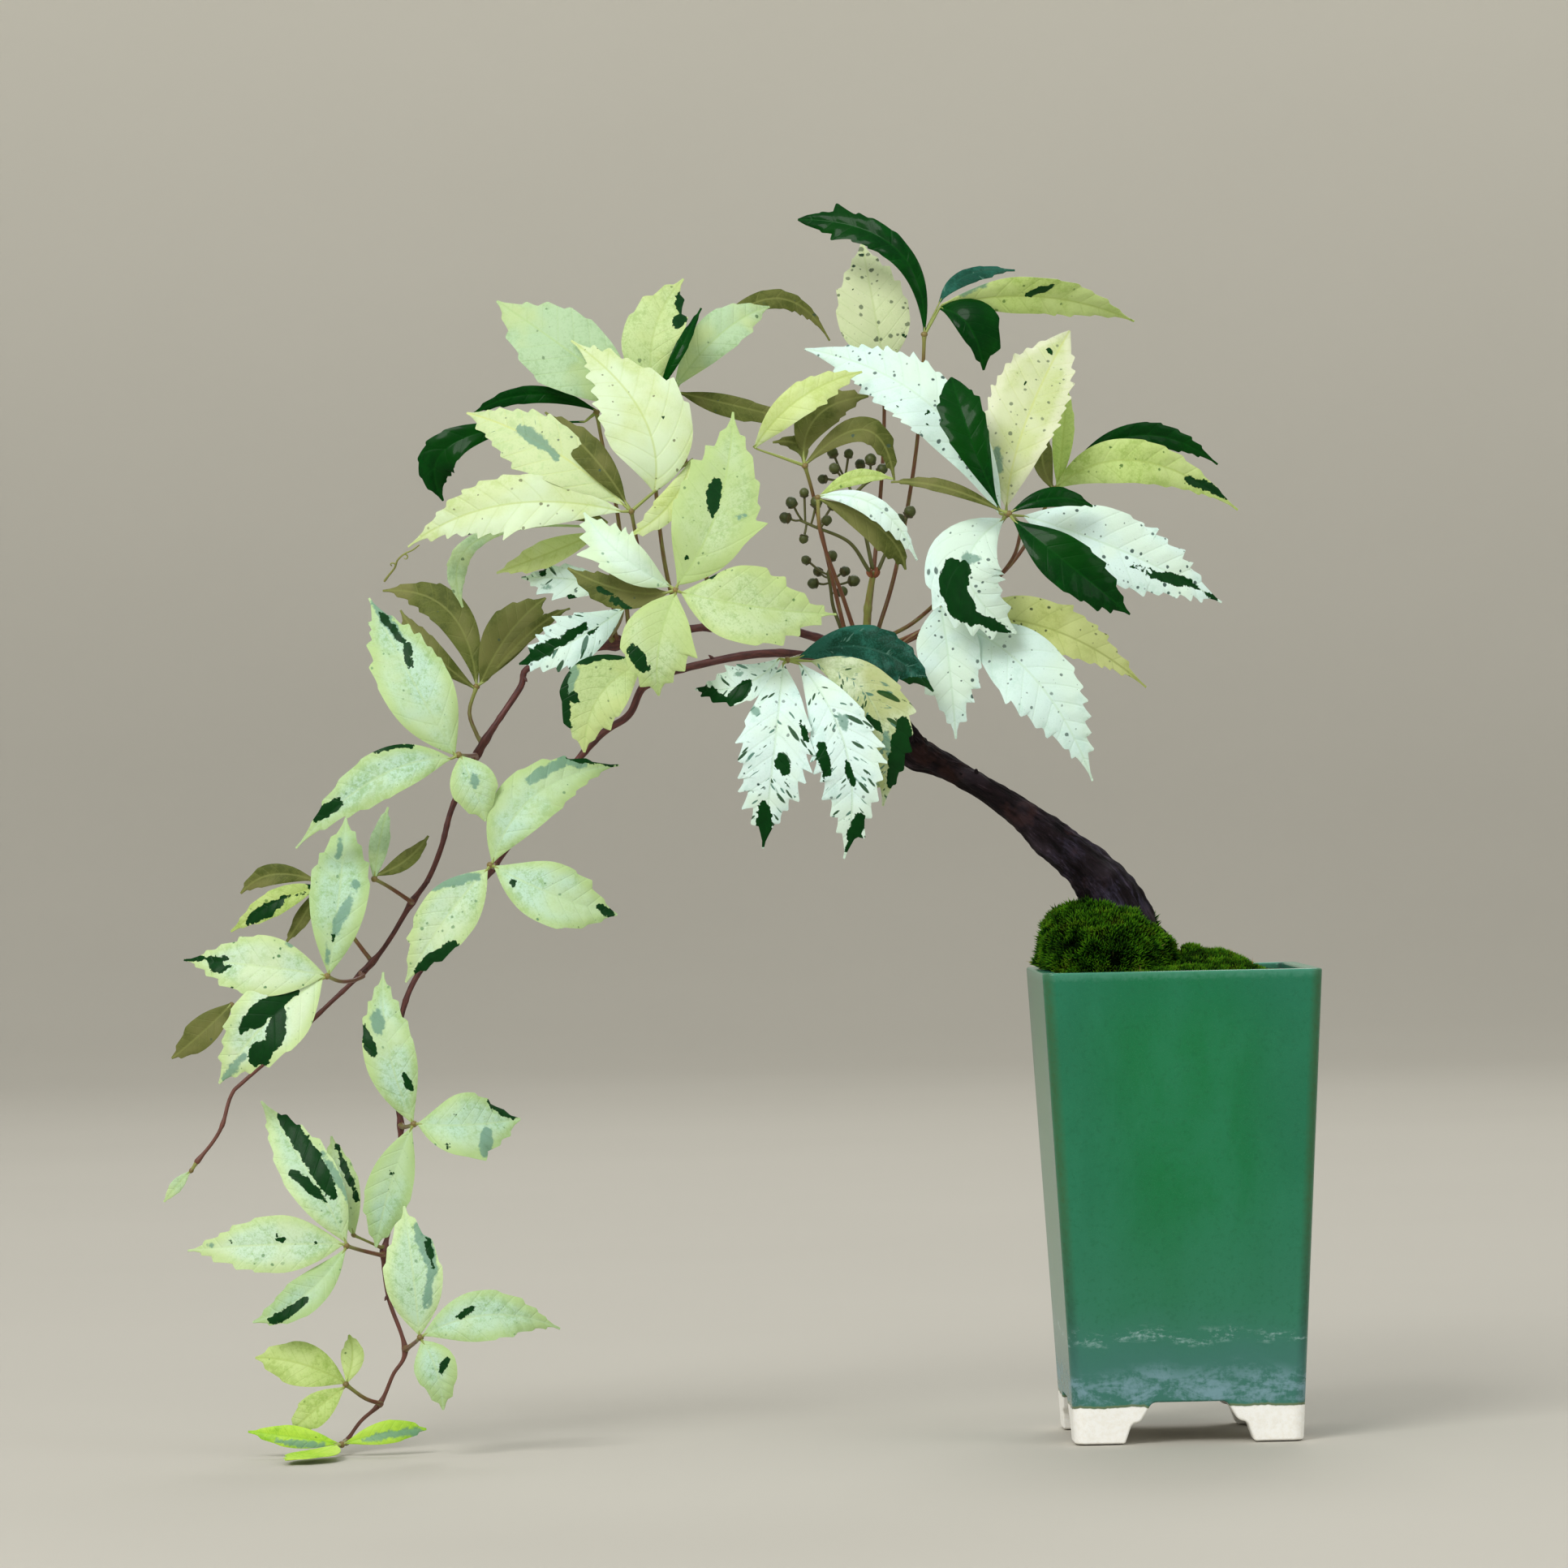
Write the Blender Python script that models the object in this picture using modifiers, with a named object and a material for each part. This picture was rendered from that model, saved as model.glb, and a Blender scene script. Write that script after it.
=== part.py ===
"""Cascade bonsai in a tall square pot.

A trained creeper grows out of a moss mound, leans over the pot's left rim and
hangs down to the surface that the pot stands on.  Working unit of the tables
is the millimetre (x right, y away from the front, z up, z = 0 under the pot's
feet, x = y = 0 on the pot's middle line); everything is multiplied by MM when
it is built.
"""
import bpy
import bmesh
import math
from mathutils import Matrix, Vector, noise

MM = 0.001
GAP = 0.3                 # clearance between neighbouring pieces

# ---------------------------------------------------------------- pot
POT_H = 110.0             # feet to rim
POT_TOP = 65.3            # outer width at the rim
POT_BOT = 53.6            # outer width at the feet
POT_WALL = 3.6
POT_CORNER = 3.0          # radius of the upright corners
FOOT_H = 9.5              # height of the arches between the feet
FOOT_T = 7.0              # thickness of the foot walls
FLOOR_T = 4.5
DRAIN_R = 6.0
ARCH = [(15.1, -2.0), (15.1, 0.0), (13.4, 4.7), (11.5, 4.9), (8.7, 9.5)]

# ---------------------------------------------------------------- fill
SOIL_TOP = 104.0
MESH_SIZE = 17.0          # drain screen
MESH_T = 0.8
WIRE_R = 0.5
MOUND_C = (-16.6, 1.0, 109.0)
MOUND_R = (18.2, 27.6, 18.0)
CARPET_TOP = 111.2

# ---------------------------------------------------------------- wood
# x, y, z, radius
TRUNK = [
    (-7.5, 0.0, 76.0, 3.6),
    (-7.2, 0.0, 91.3, 6.0),
    (-7.0, 0.0, 102.8, 8.4),
    (-7.4, 0.0, 113.4, 9.6),
    (-9.2, 0.0, 120.2, 8.7),
    (-13.1, 0.0, 126.8, 7.4),
    (-18.2, 0.0, 132.4, 6.1),
    (-26.7, -0.3, 140.1, 4.7),
    (-36.6, -0.8, 148.2, 3.3),
    (-46.1, -1.3, 154.7, 2.7),
    (-55.2, -1.8, 159.8, 3.2),
    (-59.8, -2.0, 162.0, 4.0),
    (-63.5, -2.3, 166.7, 3.8),
    (-67.3, -2.6, 173.5, 3.6),
    (-70.4, -2.9, 180.0, 3.8),
    (-72.0, -3.0, 185.0, 3.3),
]
STEM_R0 = 1.05            # stem radius at the crown
STEM_R1 = 0.42            # and at its tip

# ---------------------------------------------------------------- leaves
BLADE_T = 0.6
PETIOLE_R = 0.5
KNUCKLE = 1.3             # swelling where leaflets meet


def blade(label, look, base, mid, tip, left, right, tm=0.5, p1=0.9, p2=1.15,
          roll=0.0, fold=0.14, n=None, notch=0):
    """One leaflet: its midrib through base, mid and tip, half widths left and
    right of it, where it is widest (tm) and how its outline closes (p1, p2)."""
    return dict(label=label, look=look, base=base, mid=mid, tip=tip, left=left,
                right=right, tm=tm, p1=p1, p2=p2, roll=roll, fold=fold, n=n,
                notch=notch)


# name, leaflets, petiole from the leaflets down to the wood
LEAVES = [
    ("leaf_top", [
        blade("T1", "dark", (-55.9, -4.0, 260.5), (-62.4, -4.1, 280.9), (-84.9, 4.7, 288.7), 4.1, 3.8, tm=0.7, p1=0.9, p2=0.55, notch=1),
        blade("T3", "dark", (-52.0, -2.4, 266.7), (-45.5, -7.2, 262.0), (-42.1, -4.7, 251.8), 7.5, 3.0, tm=0.5),
        blade("T4", "yellowgreen", (-51.6, -2.2, 267.4), (-27.7, -3.5, 268.8), (-5.4, 8.3, 263.5), 5.6, 4.9, p2=0.9, roll=50),
        blade("T5", "teal", (-52.0, -2.1, 268.2), (-45.4, 4.2, 274.7), (-33.4, 10.2, 276.2), 1.7, 2.5),
    ], [(-55.9, -4.0, 260.5), (-56.1, -3.0, 255.2), (-58.1, 4.0, 232.6), (-63.3, 3.0, 205.7), (-68.4, 0.0, 189.8)]),
    ("leaf_top_cream", [
        blade("T2", "cream", (-64.9, 8.0, 253.7), (-67.0, 8.0, 266.6), (-69.4, 16.9, 283.7), 9.3, 8.5, tm=0.42),
    ], [(-64.9, 8.0, 253.7), (-65.6, 9.0, 232.9), (-68.2, 6.0, 207.8), (-70.6, 2.0, 189.9)]),
    ("leaf_white_big", [
        blade("R1a", "white", (-39.4, -13.1, 217.6), (-55.8, -12.4, 243.8), (-83.8, 4.2, 258.0), 7.8, 7.8, tm=0.5, p2=1),
        blade("R1c", "cream", (-37.8, -12.5, 219.1), (-32.9, -10.5, 238.7), (-20.8, 7.6, 261.4), 10.1, 7.5, tm=0.62, p2=0.85),
        blade("R1f", "white", (-33.7, -12.8, 216.9), (-9.8, -12.9, 207.9), (13.0, -4.9, 196.0), 9.1, 9.1, tm=0.45),
        blade("R1g", "whitepatch", (-38.7, -13.4, 216.2), (-47.7, -20.0, 203.6), (-36.3, -16.5, 189.4), 8.2, 10.4, tm=0.45, p2=0.9),
    ], [(-37.9, -13.0, 217.3), (-45.3, -6.0, 206.7), (-57.6, 3.0, 194.1), (-67.2, 1.0, 188.8)]),
    ("leaf_dark_right", [
        blade("R1b", "dark", (-39.9, -21.9, 218.2), (-46.2, -24.3, 233.9), (-50.4, -17.0, 249.5), 5.4, 5.0, tm=0.68, p1=1.5, p2=0.65),
        blade("R1d", "dark", (-36.9, -21.8, 217.8), (-27.3, -22.2, 220.6), (-18.0, -18.2, 218.7), 2.8, 2.2),
        blade("R1e", "dark", (-36.6, -22.4, 215.5), (-23.0, -28.6, 203.7), (-10.1, -23.2, 193.2), 6.3, 6.3, tm=0.45),
        blade("R1h", "olive", (-39.5, -22.0, 217.8), (-52.5, -21.7, 223.5), (-64.9, -16.4, 225.3), 1.5, 1.9),
    ], [(-37.8, -22.0, 217.2), (-34.8, -15.0, 213.6), (-38.3, -3.0, 204.1), (-54.5, 0.0, 192.4), (-66.4, -3.0, 187.2)]),
    ("leaf_arching_right", [
        blade("R2a", "yellowgreen", (-25.1, 6.0, 224.0), (-5.3, 5.4, 230.2), (19.1, 15.7, 218.5), 5.3, 5.7, roll=12),
        blade("R2b", "dark", (-21.8, 7.2, 228.2), (-3.5, 12.6, 236.6), (15.0, 21.3, 229.7), 3.2, 3.4, roll=20),
        blade("R2c", "lightgreen", (-24.5, 6.1, 224.4), (-22.7, 8.6, 237.0), (-21.1, 17.3, 250.0), 2.6, 2.6),
        blade("R2d", "olive", (-25.6, 5.9, 224.0), (-27.6, 11.9, 231.4), (-26.0, 17.4, 240.0), 2.5, 2.5),
    ], [(-25.1, 6.0, 224.0), (-35.0, 6.0, 207.2), (-51.8, 4.0, 193.0), (-65.4, 0.0, 186.5)]),
    ("leaf_white_low", [
        blade("R3a", "white", (-53.5, -5.4, 196.7), (-52.0, -12.0, 183.2), (-50.6, -10.4, 165.0), 8.2, 7.8, tm=0.42),
        blade("R3b", "white", (-47.9, -6.6, 191.4), (-31.0, -13.6, 177.6), (-18.6, -9.6, 154.5), 9.3, 8.6, tm=0.48),
        blade("R3c", "creamolive", (-49.4, -6.1, 193.3), (-26.5, -5.9, 189.9), (-4.7, 1.4, 176.4), 7.1, 5.6),
    ], [(-50.9, -6.0, 194.1), (-58.9, -3.0, 190.1), (-65.1, -2.0, 185.7)]),
    ("leaf_patched", [
        blade("C1", "patch", (-92.3, -29.9, 184.2), (-101.0, -33.3, 178.1), (-111.8, -28.3, 177.6), 4.1, 5.2),
        blade("C2", "patch", (-91.4, -30.2, 183.0), (-94.1, -39.1, 162.9), (-97.0, -34.0, 140.4), 8.3, 8.1, tm=0.54),
        blade("C3", "patch", (-87.6, -30.2, 182.9), (-77.2, -37.7, 161.6), (-78.2, -32.2, 137.6), 7.7, 7.7, tm=0.54),
        blade("C4", "patchdark", (-84.8, -30.1, 183.5), (-70.4, -32.2, 172.4), (-68.8, -28.6, 149.6), 7.7, 6.6),
        blade("C5", "teal", (-87.6, -29.9, 184.5), (-70.5, -26.3, 186.1), (-56.2, -20.8, 176.1), 5.6, 6.3),
    ], [(-90.4, -30.0, 183.9), (-84.4, -18.0, 185.4), (-76.3, -6.0, 185.4)]),
    ("leaf_mottled_big", [
        blade("A1", "mottle", (-115.6, -36.7, 201.7), (-106.1, -36.0, 218.9), (-101.7, -19.9, 242.1), 10.3, 10.3, tm=0.5),
        blade("A2", "mottle", (-114.7, -37.2, 199.8), (-97.1, -41.4, 196.0), (-79.0, -33.2, 194.2), 9.9, 9.9, tm=0.48, p2=1.3),
        blade("A3", "mottle", (-116.2, -37.2, 199.5), (-120.3, -42.5, 187.6), (-120.5, -39.8, 176.1), 8.1, 9.2),
        blade("A4", "white", (-117.5, -36.7, 201.4), (-128.6, -41.2, 208.6), (-136.9, -32.3, 218.8), 6.2, 5.1),
        blade("A5", "olive", (-118.1, -37.1, 199.9), (-128.8, -35.1, 200.7), (-140.9, -28.0, 206.2), 4.8, 3.3),
    ], [(-116.2, -37.0, 200.4), (-117.7, -22.0, 190.8), (-121.1, -5.0, 182.1)]),
    ("leaf_cream_left", [
        blade("B1", "cream", (-120.5, -23.4, 223.8), (-123.2, -23.1, 242.3), (-139.1, -11.2, 260.0), 10.4, 10.8, tm=0.45),
        blade("B2", "cream", (-128.3, -23.9, 219.3), (-155.7, -25.6, 221.3), (-178.1, -16.8, 212.2), 7.4, 7.0),
        blade("B3", "creamblue", (-127.7, -23.6, 220.9), (-145.6, -21.7, 234.9), (-163.9, -11.1, 243.5), 8.2, 6.7),
        blade("B4", "olive", (-127.3, -23.5, 221.6), (-135.1, -23.3, 232.7), (-145.5, -15.5, 243.1), 3.7, 3.7),
        blade("B5", "yellow", (-111.6, -22.3, 231.2), (-117.0, -25.2, 220.6), (-126.4, -21.8, 213.7), 3.3, 3.3),
    ], [(-125.9, -24.0, 219.3), (-123.8, -12.0, 206.4), (-122.9, 3.0, 192.2)]),
    ("leaf_dark_left", [
        blade("B6a", "dark", (-133.5, -3.9, 243.9), (-148.7, -5.2, 247.9), (-163.2, -0.2, 243.5), 2.2, 2.2, roll=20),
        blade("B6b", "dark", (-136.4, -4.2, 241.3), (-166.6, -6.7, 236.9), (-170.0, -2.2, 223.4), 4.5, 4.5, tm=0.68, p1=2),
    ], [(-133.5, -4.0, 243.5), (-131.8, -1.0, 233.7), (-128.8, 2.0, 218.4), (-126.8, 4.0, 191.9)]),
    ("leaf_yellow_mid", [
        blade("B8", "yellow", (-133.5, -13.2, 214.9), (-145.5, -15.8, 210.1), (-157.6, -11.2, 205.9), 3.2, 3.4),
        blade("B7", "olive", (-131.5, -12.8, 217.2), (-140.6, -12.4, 220.4), (-150.1, -8.1, 221.9), 2.6, 2.2),
        blade("B9", "pale", (-133.1, -13.0, 216.0), (-161.7, -11.3, 213.8), (-165.8, -7.2, 198.1), 2.4, 2.4, tm=0.75, p1=2.2),
    ], [(-132.7, -13.0, 216.0), (-130.9, -4.0, 206.8), (-130.1, 4.0, 191.2)]),
    ("leaf_pale_top", [
        blade("TL1", "pale", (-124.5, -9.1, 245.4), (-139.9, -9.2, 257.8), (-156.5, 2.8, 270.5), 10.1, 9.3),
        blade("TL2", "palepatch", (-119.9, -8.8, 248.0), (-119.6, -8.1, 262.1), (-112.4, -0.0, 274.8), 7.5, 8.2, tm=0.4, p2=1.3),
        blade("TL3", "dark", (-118.7, -8.8, 248.0), (-113.6, -10.9, 257.7), (-108.4, -4.5, 267.5), 1.5, 1.5),
    ], [(-120.1, -9.0, 246.8), (-119.9, -4.0, 225.7), (-117.9, 0.0, 206.6), (-114.7, 3.0, 194.0)]),
    ("leaf_pale_back", [
        blade("TL4", "pale", (-114.9, 4.2, 249.4), (-103.6, 3.0, 262.0), (-91.9, 11.1, 268.6), 5.7, 4.9),
        blade("TL5", "olive", (-111.9, 5.6, 254.8), (-92.2, 12.0, 270.6), (-77.5, 17.6, 260.7), 2.3, 2.7),
        blade("TL6", "olive", (-113.6, 4.1, 248.2), (-100.8, 3.3, 244.8), (-84.4, 9.5, 241.0), 2.4, 3.4),
    ], [(-114.8, 4.0, 248.2), (-111.7, 5.0, 225.9), (-108.6, 5.0, 206.6), (-106.2, 4.0, 194.6)]),
    ("leaf_folded", [
        blade("S1", "yellow", (-96.6, -11.7, 234.1), (-86.1, -17.7, 245.0), (-71.1, -11.4, 251.5), 3.7, 4.5),
        blade("S2", "olive", (-85.2, -11.6, 232.0), (-81.1, -9.2, 241.9), (-69.4, -4.9, 246.1), 4.9, 4.5),
        blade("S3", "olive", (-84.8, -11.9, 230.0), (-70.6, -11.5, 237.8), (-63.9, -10.7, 225.9), 3.4, 3.4),
        blade("S4", "olive", (-85.2, -11.9, 230.4), (-86.4, -10.8, 234.7), (-92.3, -9.8, 235.4), 1.9, 1.9),
    ], [(-84.9, -12.0, 229.7), (-83.0, -9.0, 222.9), (-79.7, -5.0, 207.7), (-75.8, -3.0, 190.1)]),
    ("leaf_crescent", [
        blade("M1", "white", (-82.2, -19.0, 222.1), (-68.8, -23.7, 219.4), (-59.4, -20.3, 206.8), 2.2, 3.3),
        blade("M2", "olive", (-81.4, -19.1, 221.3), (-67.7, -19.0, 214.2), (-61.9, -15.7, 204.8), 2.6, 4.5),
        blade("M3", "yellowgreen", (-81.4, -18.9, 222.5), (-73.1, -18.1, 226.5), (-64.5, -15.2, 226.1), 1.9, 1.9),
    ], [(-82.2, -19.0, 221.9), (-81.6, -18.0, 213.0), (-76.2, -9.0, 198.0), (-73.5, -5.0, 189.8)]),
    ("leaf_olive_left", [
        blade("L1", "olive", (-163.2, 13.1, 180.3), (-169.7, 16.9, 198.0), (-185.3, 25.1, 203.2), 4.6, 4.6),
        blade("L2", "olive", (-163.6, 13.0, 179.3), (-174.4, 13.0, 188.8), (-181.0, 19.5, 198.3), 2.8, 2.8),
        blade("L3", "olive", (-162.2, 13.0, 180.4), (-155.1, 11.0, 192.2), (-146.4, 15.5, 200.5), 5.7, 5.3),
        blade("L4", "olive", (-160.7, 12.8, 181.2), (-149.8, 7.4, 192.4), (-140.7, 11.6, 197.8), 1.7, 1.7),
    ], [(-163.2, 13.0, 179.7), (-165.1, 12.0, 172.2), (-162.5, 9.0, 166.9)]),
    ("leaf_speckled", [
        blade("K1", "white", (-129.6, -13.2, 201.9), (-140.9, -14.2, 204.0), (-151.8, -9.4, 204.7), 4.8, 3.4),
        blade("K2", "patch", (-128.1, -14.3, 196.9), (-140.2, -19.6, 189.4), (-152.7, -14.8, 184.4), 5.6, 6.3),
    ], [(-128.1, -14.0, 198.4), (-128.9, -6.0, 194.2), (-131.2, 3.0, 190.8)]),
    ("leaf_teal", [
        blade("K3", "palepatch", (-123.9, -22.0, 183.8), (-134.3, -26.1, 176.3), (-137.9, -24.6, 163.4), 7.0, 9.3, tm=0.45),
    ], [(-123.9, -22.0, 183.8), (-122.9, -12.0, 182.0), (-122.3, -5.0, 181.0)]),
    ("leaf_mottled_left", [
        blade("N1", "mottle", (-168.3, -14.0, 163.5), (-177.8, -13.3, 181.1), (-187.9, 0.3, 200.8), 8.6, 8.6, tm=0.5),
        blade("N2", "mottle", (-169.2, -14.2, 162.5), (-186.8, -19.0, 158.1), (-205.7, -14.3, 142.3), 5.9, 5.9),
        blade("N3", "mottle", (-166.8, -14.1, 163.0), (-164.0, -17.3, 156.2), (-161.3, -16.0, 147.8), 5.6, 5.6),
    ], [(-167.3, -14.0, 163.4), (-165.0, -4.0, 163.2), (-163.6, 3.0, 163.4)]),
    ("leaf_mottled_mid", [
        blade("P1", "mottle", (-159.8, -15.8, 138.2), (-149.1, -15.2, 154.0), (-129.9, -5.9, 160.3), 7.5, 6.7),
        blade("P2", "mottle", (-159.3, -16.1, 137.1), (-145.7, -20.5, 130.4), (-131.0, -15.4, 125.3), 7.8, 7.8),
        blade("P3", "mottlepatch", (-161.2, -16.3, 136.4), (-171.2, -22.0, 124.9), (-180.6, -18.9, 110.6), 7.0, 7.0),
    ], [(-160.4, -16.0, 137.5), (-160.1, -8.0, 137.0), (-159.6, -2.0, 136.8)]),
    ("leaf_small_olive", [
        blade("Q1", "pale", (-187.8, -6.0, 134.7), (-186.5, -5.9, 142.9), (-184.4, -1.0, 151.4), 2.4, 2.4),
        blade("Q2", "olive", (-187.1, -5.8, 135.6), (-180.3, -6.5, 138.9), (-175.0, -2.5, 144.5), 2.1, 2.1),
    ], [(-187.8, -6.0, 134.7), (-183.5, 0.0, 132.0), (-180.0, 3.0, 129.4)]),
    ("leaf_mottled_far", [
        blade("U1", "mottle", (-198.7, -11.9, 112.7), (-195.9, -11.2, 131.3), (-194.4, 0.2, 149.1), 7.1, 7.1),
        blade("U2", "mottlepatch", (-199.7, -11.9, 112.4), (-215.5, -13.5, 115.0), (-232.8, -5.4, 116.5), 7.5, 7.5),
        blade("U3", "mottlepatch2", (-200.3, -12.1, 111.6), (-213.7, -16.7, 101.4), (-224.8, -12.0, 87.6), 9.3, 8.9),
    ], [(-199.1, -12.0, 112.2), (-195.2, -4.0, 110.5), (-191.2, 3.0, 111.6)]),
    ("leaf_olive_back", [
        blade("V1", "olive", (-202.4, 11.4, 134.4), (-212.6, 12.0, 135.9), (-220.2, 16.4, 131.6), 2.7, 2.7),
        blade("V2", "yellowgreen", (-201.6, 11.1, 133.0), (-211.6, 8.7, 129.4), (-222.6, 14.5, 122.6), 3.2, 3.2),
        blade("V3", "olive", (-201.6, 11.0, 132.2), (-205.2, 10.8, 126.1), (-209.7, 13.8, 119.6), 1.9, 1.9),
    ], [(-201.2, 11.0, 133.0), (-194.1, 9.0, 121.7), (-189.2, 8.0, 115.1)]),
    ("leaf_olive_far", [
        blade("W1", "olive", (-222.8, 16.0, 105.5), (-229.8, 15.1, 98.8), (-237.5, 19.6, 92.6), 3.8, 3.8),
    ], [(-222.8, 16.0, 105.2), (-218.1, 13.0, 98.0), (-213.8, 8.0, 93.3)]),
    ("leaf_cascade_a", [
        blade("X1", "mottle", (-179.8, -12.0, 77.6), (-185.2, -13.3, 95.8), (-186.1, -6.7, 112.7), 6.3, 6.3),
        blade("X2", "mottle", (-178.5, -12.0, 77.2), (-167.1, -14.2, 76.8), (-154.6, -7.2, 77.6), 7.8, 8.2),
        blade("X3", "mottle", (-180.1, -12.1, 76.2), (-185.5, -12.1, 62.1), (-189.0, -9.4, 48.3), 5.6, 5.6),
    ], [(-179.5, -12.0, 77.2), (-180.8, -6.0, 76.4), (-182.2, -1.0, 76.0)]),
    ("leaf_cascade_b", [
        blade("Y1", "stripe", (-196.0, -10.8, 49.9), (-203.8, -11.1, 65.6), (-215.6, 0.3, 82.7), 6.5, 6.5),
        blade("Y3", "mottlepatch", (-196.7, -10.9, 49.3), (-215.0, -14.1, 49.7), (-233.1, -6.8, 48.3), 7.1, 7.1),
        blade("Y4", "mottle", (-196.2, -11.2, 48.0), (-205.9, -15.7, 37.7), (-218.0, -11.2, 31.5), 4.5, 4.5),
    ], [(-195.8, -11.0, 48.9), (-191.7, -4.0, 47.1), (-188.2, -1.0, 46.0)]),
    ("leaf_cascade_back", [
        blade("Y2", "mottlepatch", (-194.4, 0.0, 50.7), (-196.9, 0.2, 62.2), (-199.5, 7.0, 73.8), 4.1, 4.1),
    ], [(-194.4, 0.0, 50.7), (-190.6, 0.0, 48.9), (-188.0, 1.0, 47.6)]),
    ("leaf_cascade_c", [
        blade("Z1", "stripe", (-178.9, -21.9, 28.5), (-180.1, -22.9, 43.1), (-182.0, -17.7, 58.3), 7.0, 7.0),
        blade("Z2", "mottle", (-177.9, -21.9, 28.4), (-162.1, -24.2, 33.0), (-146.2, -15.6, 28.8), 6.1, 6.3),
        blade("Z3", "mottle", (-178.3, -22.1, 27.1), (-175.0, -24.4, 20.1), (-173.7, -22.7, 11.0), 5.2, 5.2),
    ], [(-178.7, -22.0, 27.9), (-180.5, -9.0, 25.6), (-182.2, -2.0, 24.0)]),
    ("leaf_yellow_low", [
        blade("AA1", "yellowgreen", (-196.9, -7.9, 16.6), (-207.2, -8.9, 21.4), (-217.9, -4.1, 22.6), 5.6, 5.4),
        blade("AA2", "yellowgreen", (-196.5, -7.9, 16.7), (-195.1, -5.7, 22.5), (-195.9, -2.5, 27.4), 2.8, 2.8),
        blade("AA3", "yellowgreen", (-197.3, -8.1, 15.4), (-204.0, -10.6, 10.5), (-209.8, -8.2, 5.4), 3.9, 3.9),
    ], [(-196.7, -8.0, 16.2), (-192.7, -5.0, 12.8), (-189.0, -2.0, 11.1)]),
    ("leaf_lime_low", [
        blade("BB1", "lime", (-198.7, -12.0, 2.7), (-209.0, -11.9, 4.4), (-219.7, -9.0, 5.7), 2.6, 2.8),
        blade("BB2", "lime", (-199.1, -13.0, 2.4), (-204.2, -25.0, 1.3), (-210.1, -33.0, 1.1), 5.9, 5.9, fold=0.04, n=(0, -0.02, 1)),
        blade("BB3", "lime", (-196.8, -12.0, 2.8), (-186.9, -12.7, 5.1), (-178.0, -10.1, 5.5), 3.0, 2.8),
    ], [(-197.8, -12.0, 2.5), (-197.5, -9.0, 2.4), (-197.2, -6.0, 2.5)]),
    ("leaf_tip_bud", [
        blade("TB", "pale", (-233.0, 5.0, 66.2), (-236.1, 5.0, 63.0), (-239.2, 5.0, 59.2), 1.5, 1.5),
    ], [(-232.6, 5.0, 66.5), (-232.2, 5.0, 67.1)]),
]
UPPER_STEM = [(-76.8, 0.0, 187.9), (-95.1, 2.0, 192.5), (-114.3, 4.0, 192.1), (-133.6, 6.0, 188.6), (-150.0, 8.0, 184.0), (-153.0, 8.0, 178.7), (-162.1, 7.0, 165.7), (-168.9, 7.0, 152.0), (-171.9, 6.0, 142.5), (-175.5, 6.0, 134.5), (-179.7, 6.0, 128.6), (-188.0, 6.0, 115.5), (-202.2, 6.0, 102.7), (-219.2, 6.0, 87.9), (-222.7, 6.0, 84.1), (-224.9, 5.0, 77.3), (-227.3, 5.0, 73.2), (-231.4, 5.0, 68.4)]
LOWER_STEM = [(-77.1, -4.0, 183.8), (-91.6, -4.0, 185.8), (-106.9, -4.0, 184.3), (-122.3, -3.0, 180.2), (-127.2, -2.0, 172.3), (-134.8, -1.0, 166.7), (-149.6, 0.0, 149.8), (-159.7, 1.0, 136.9), (-171.3, 2.0, 121.4), (-180.5, 2.0, 107.4), (-184.2, 2.0, 87.2), (-183.1, 2.0, 76.2), (-184.2, 2.0, 64.2), (-185.2, 2.0, 54.8), (-187.3, 2.0, 45.8), (-186.7, 1.0, 35.5), (-182.9, 0.0, 23.3), (-185.7, 0.0, 17.4), (-188.7, 0.0, 11.0), (-193.5, -2.0, 7.0), (-197.1, -5.0, 2.6)]

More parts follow.
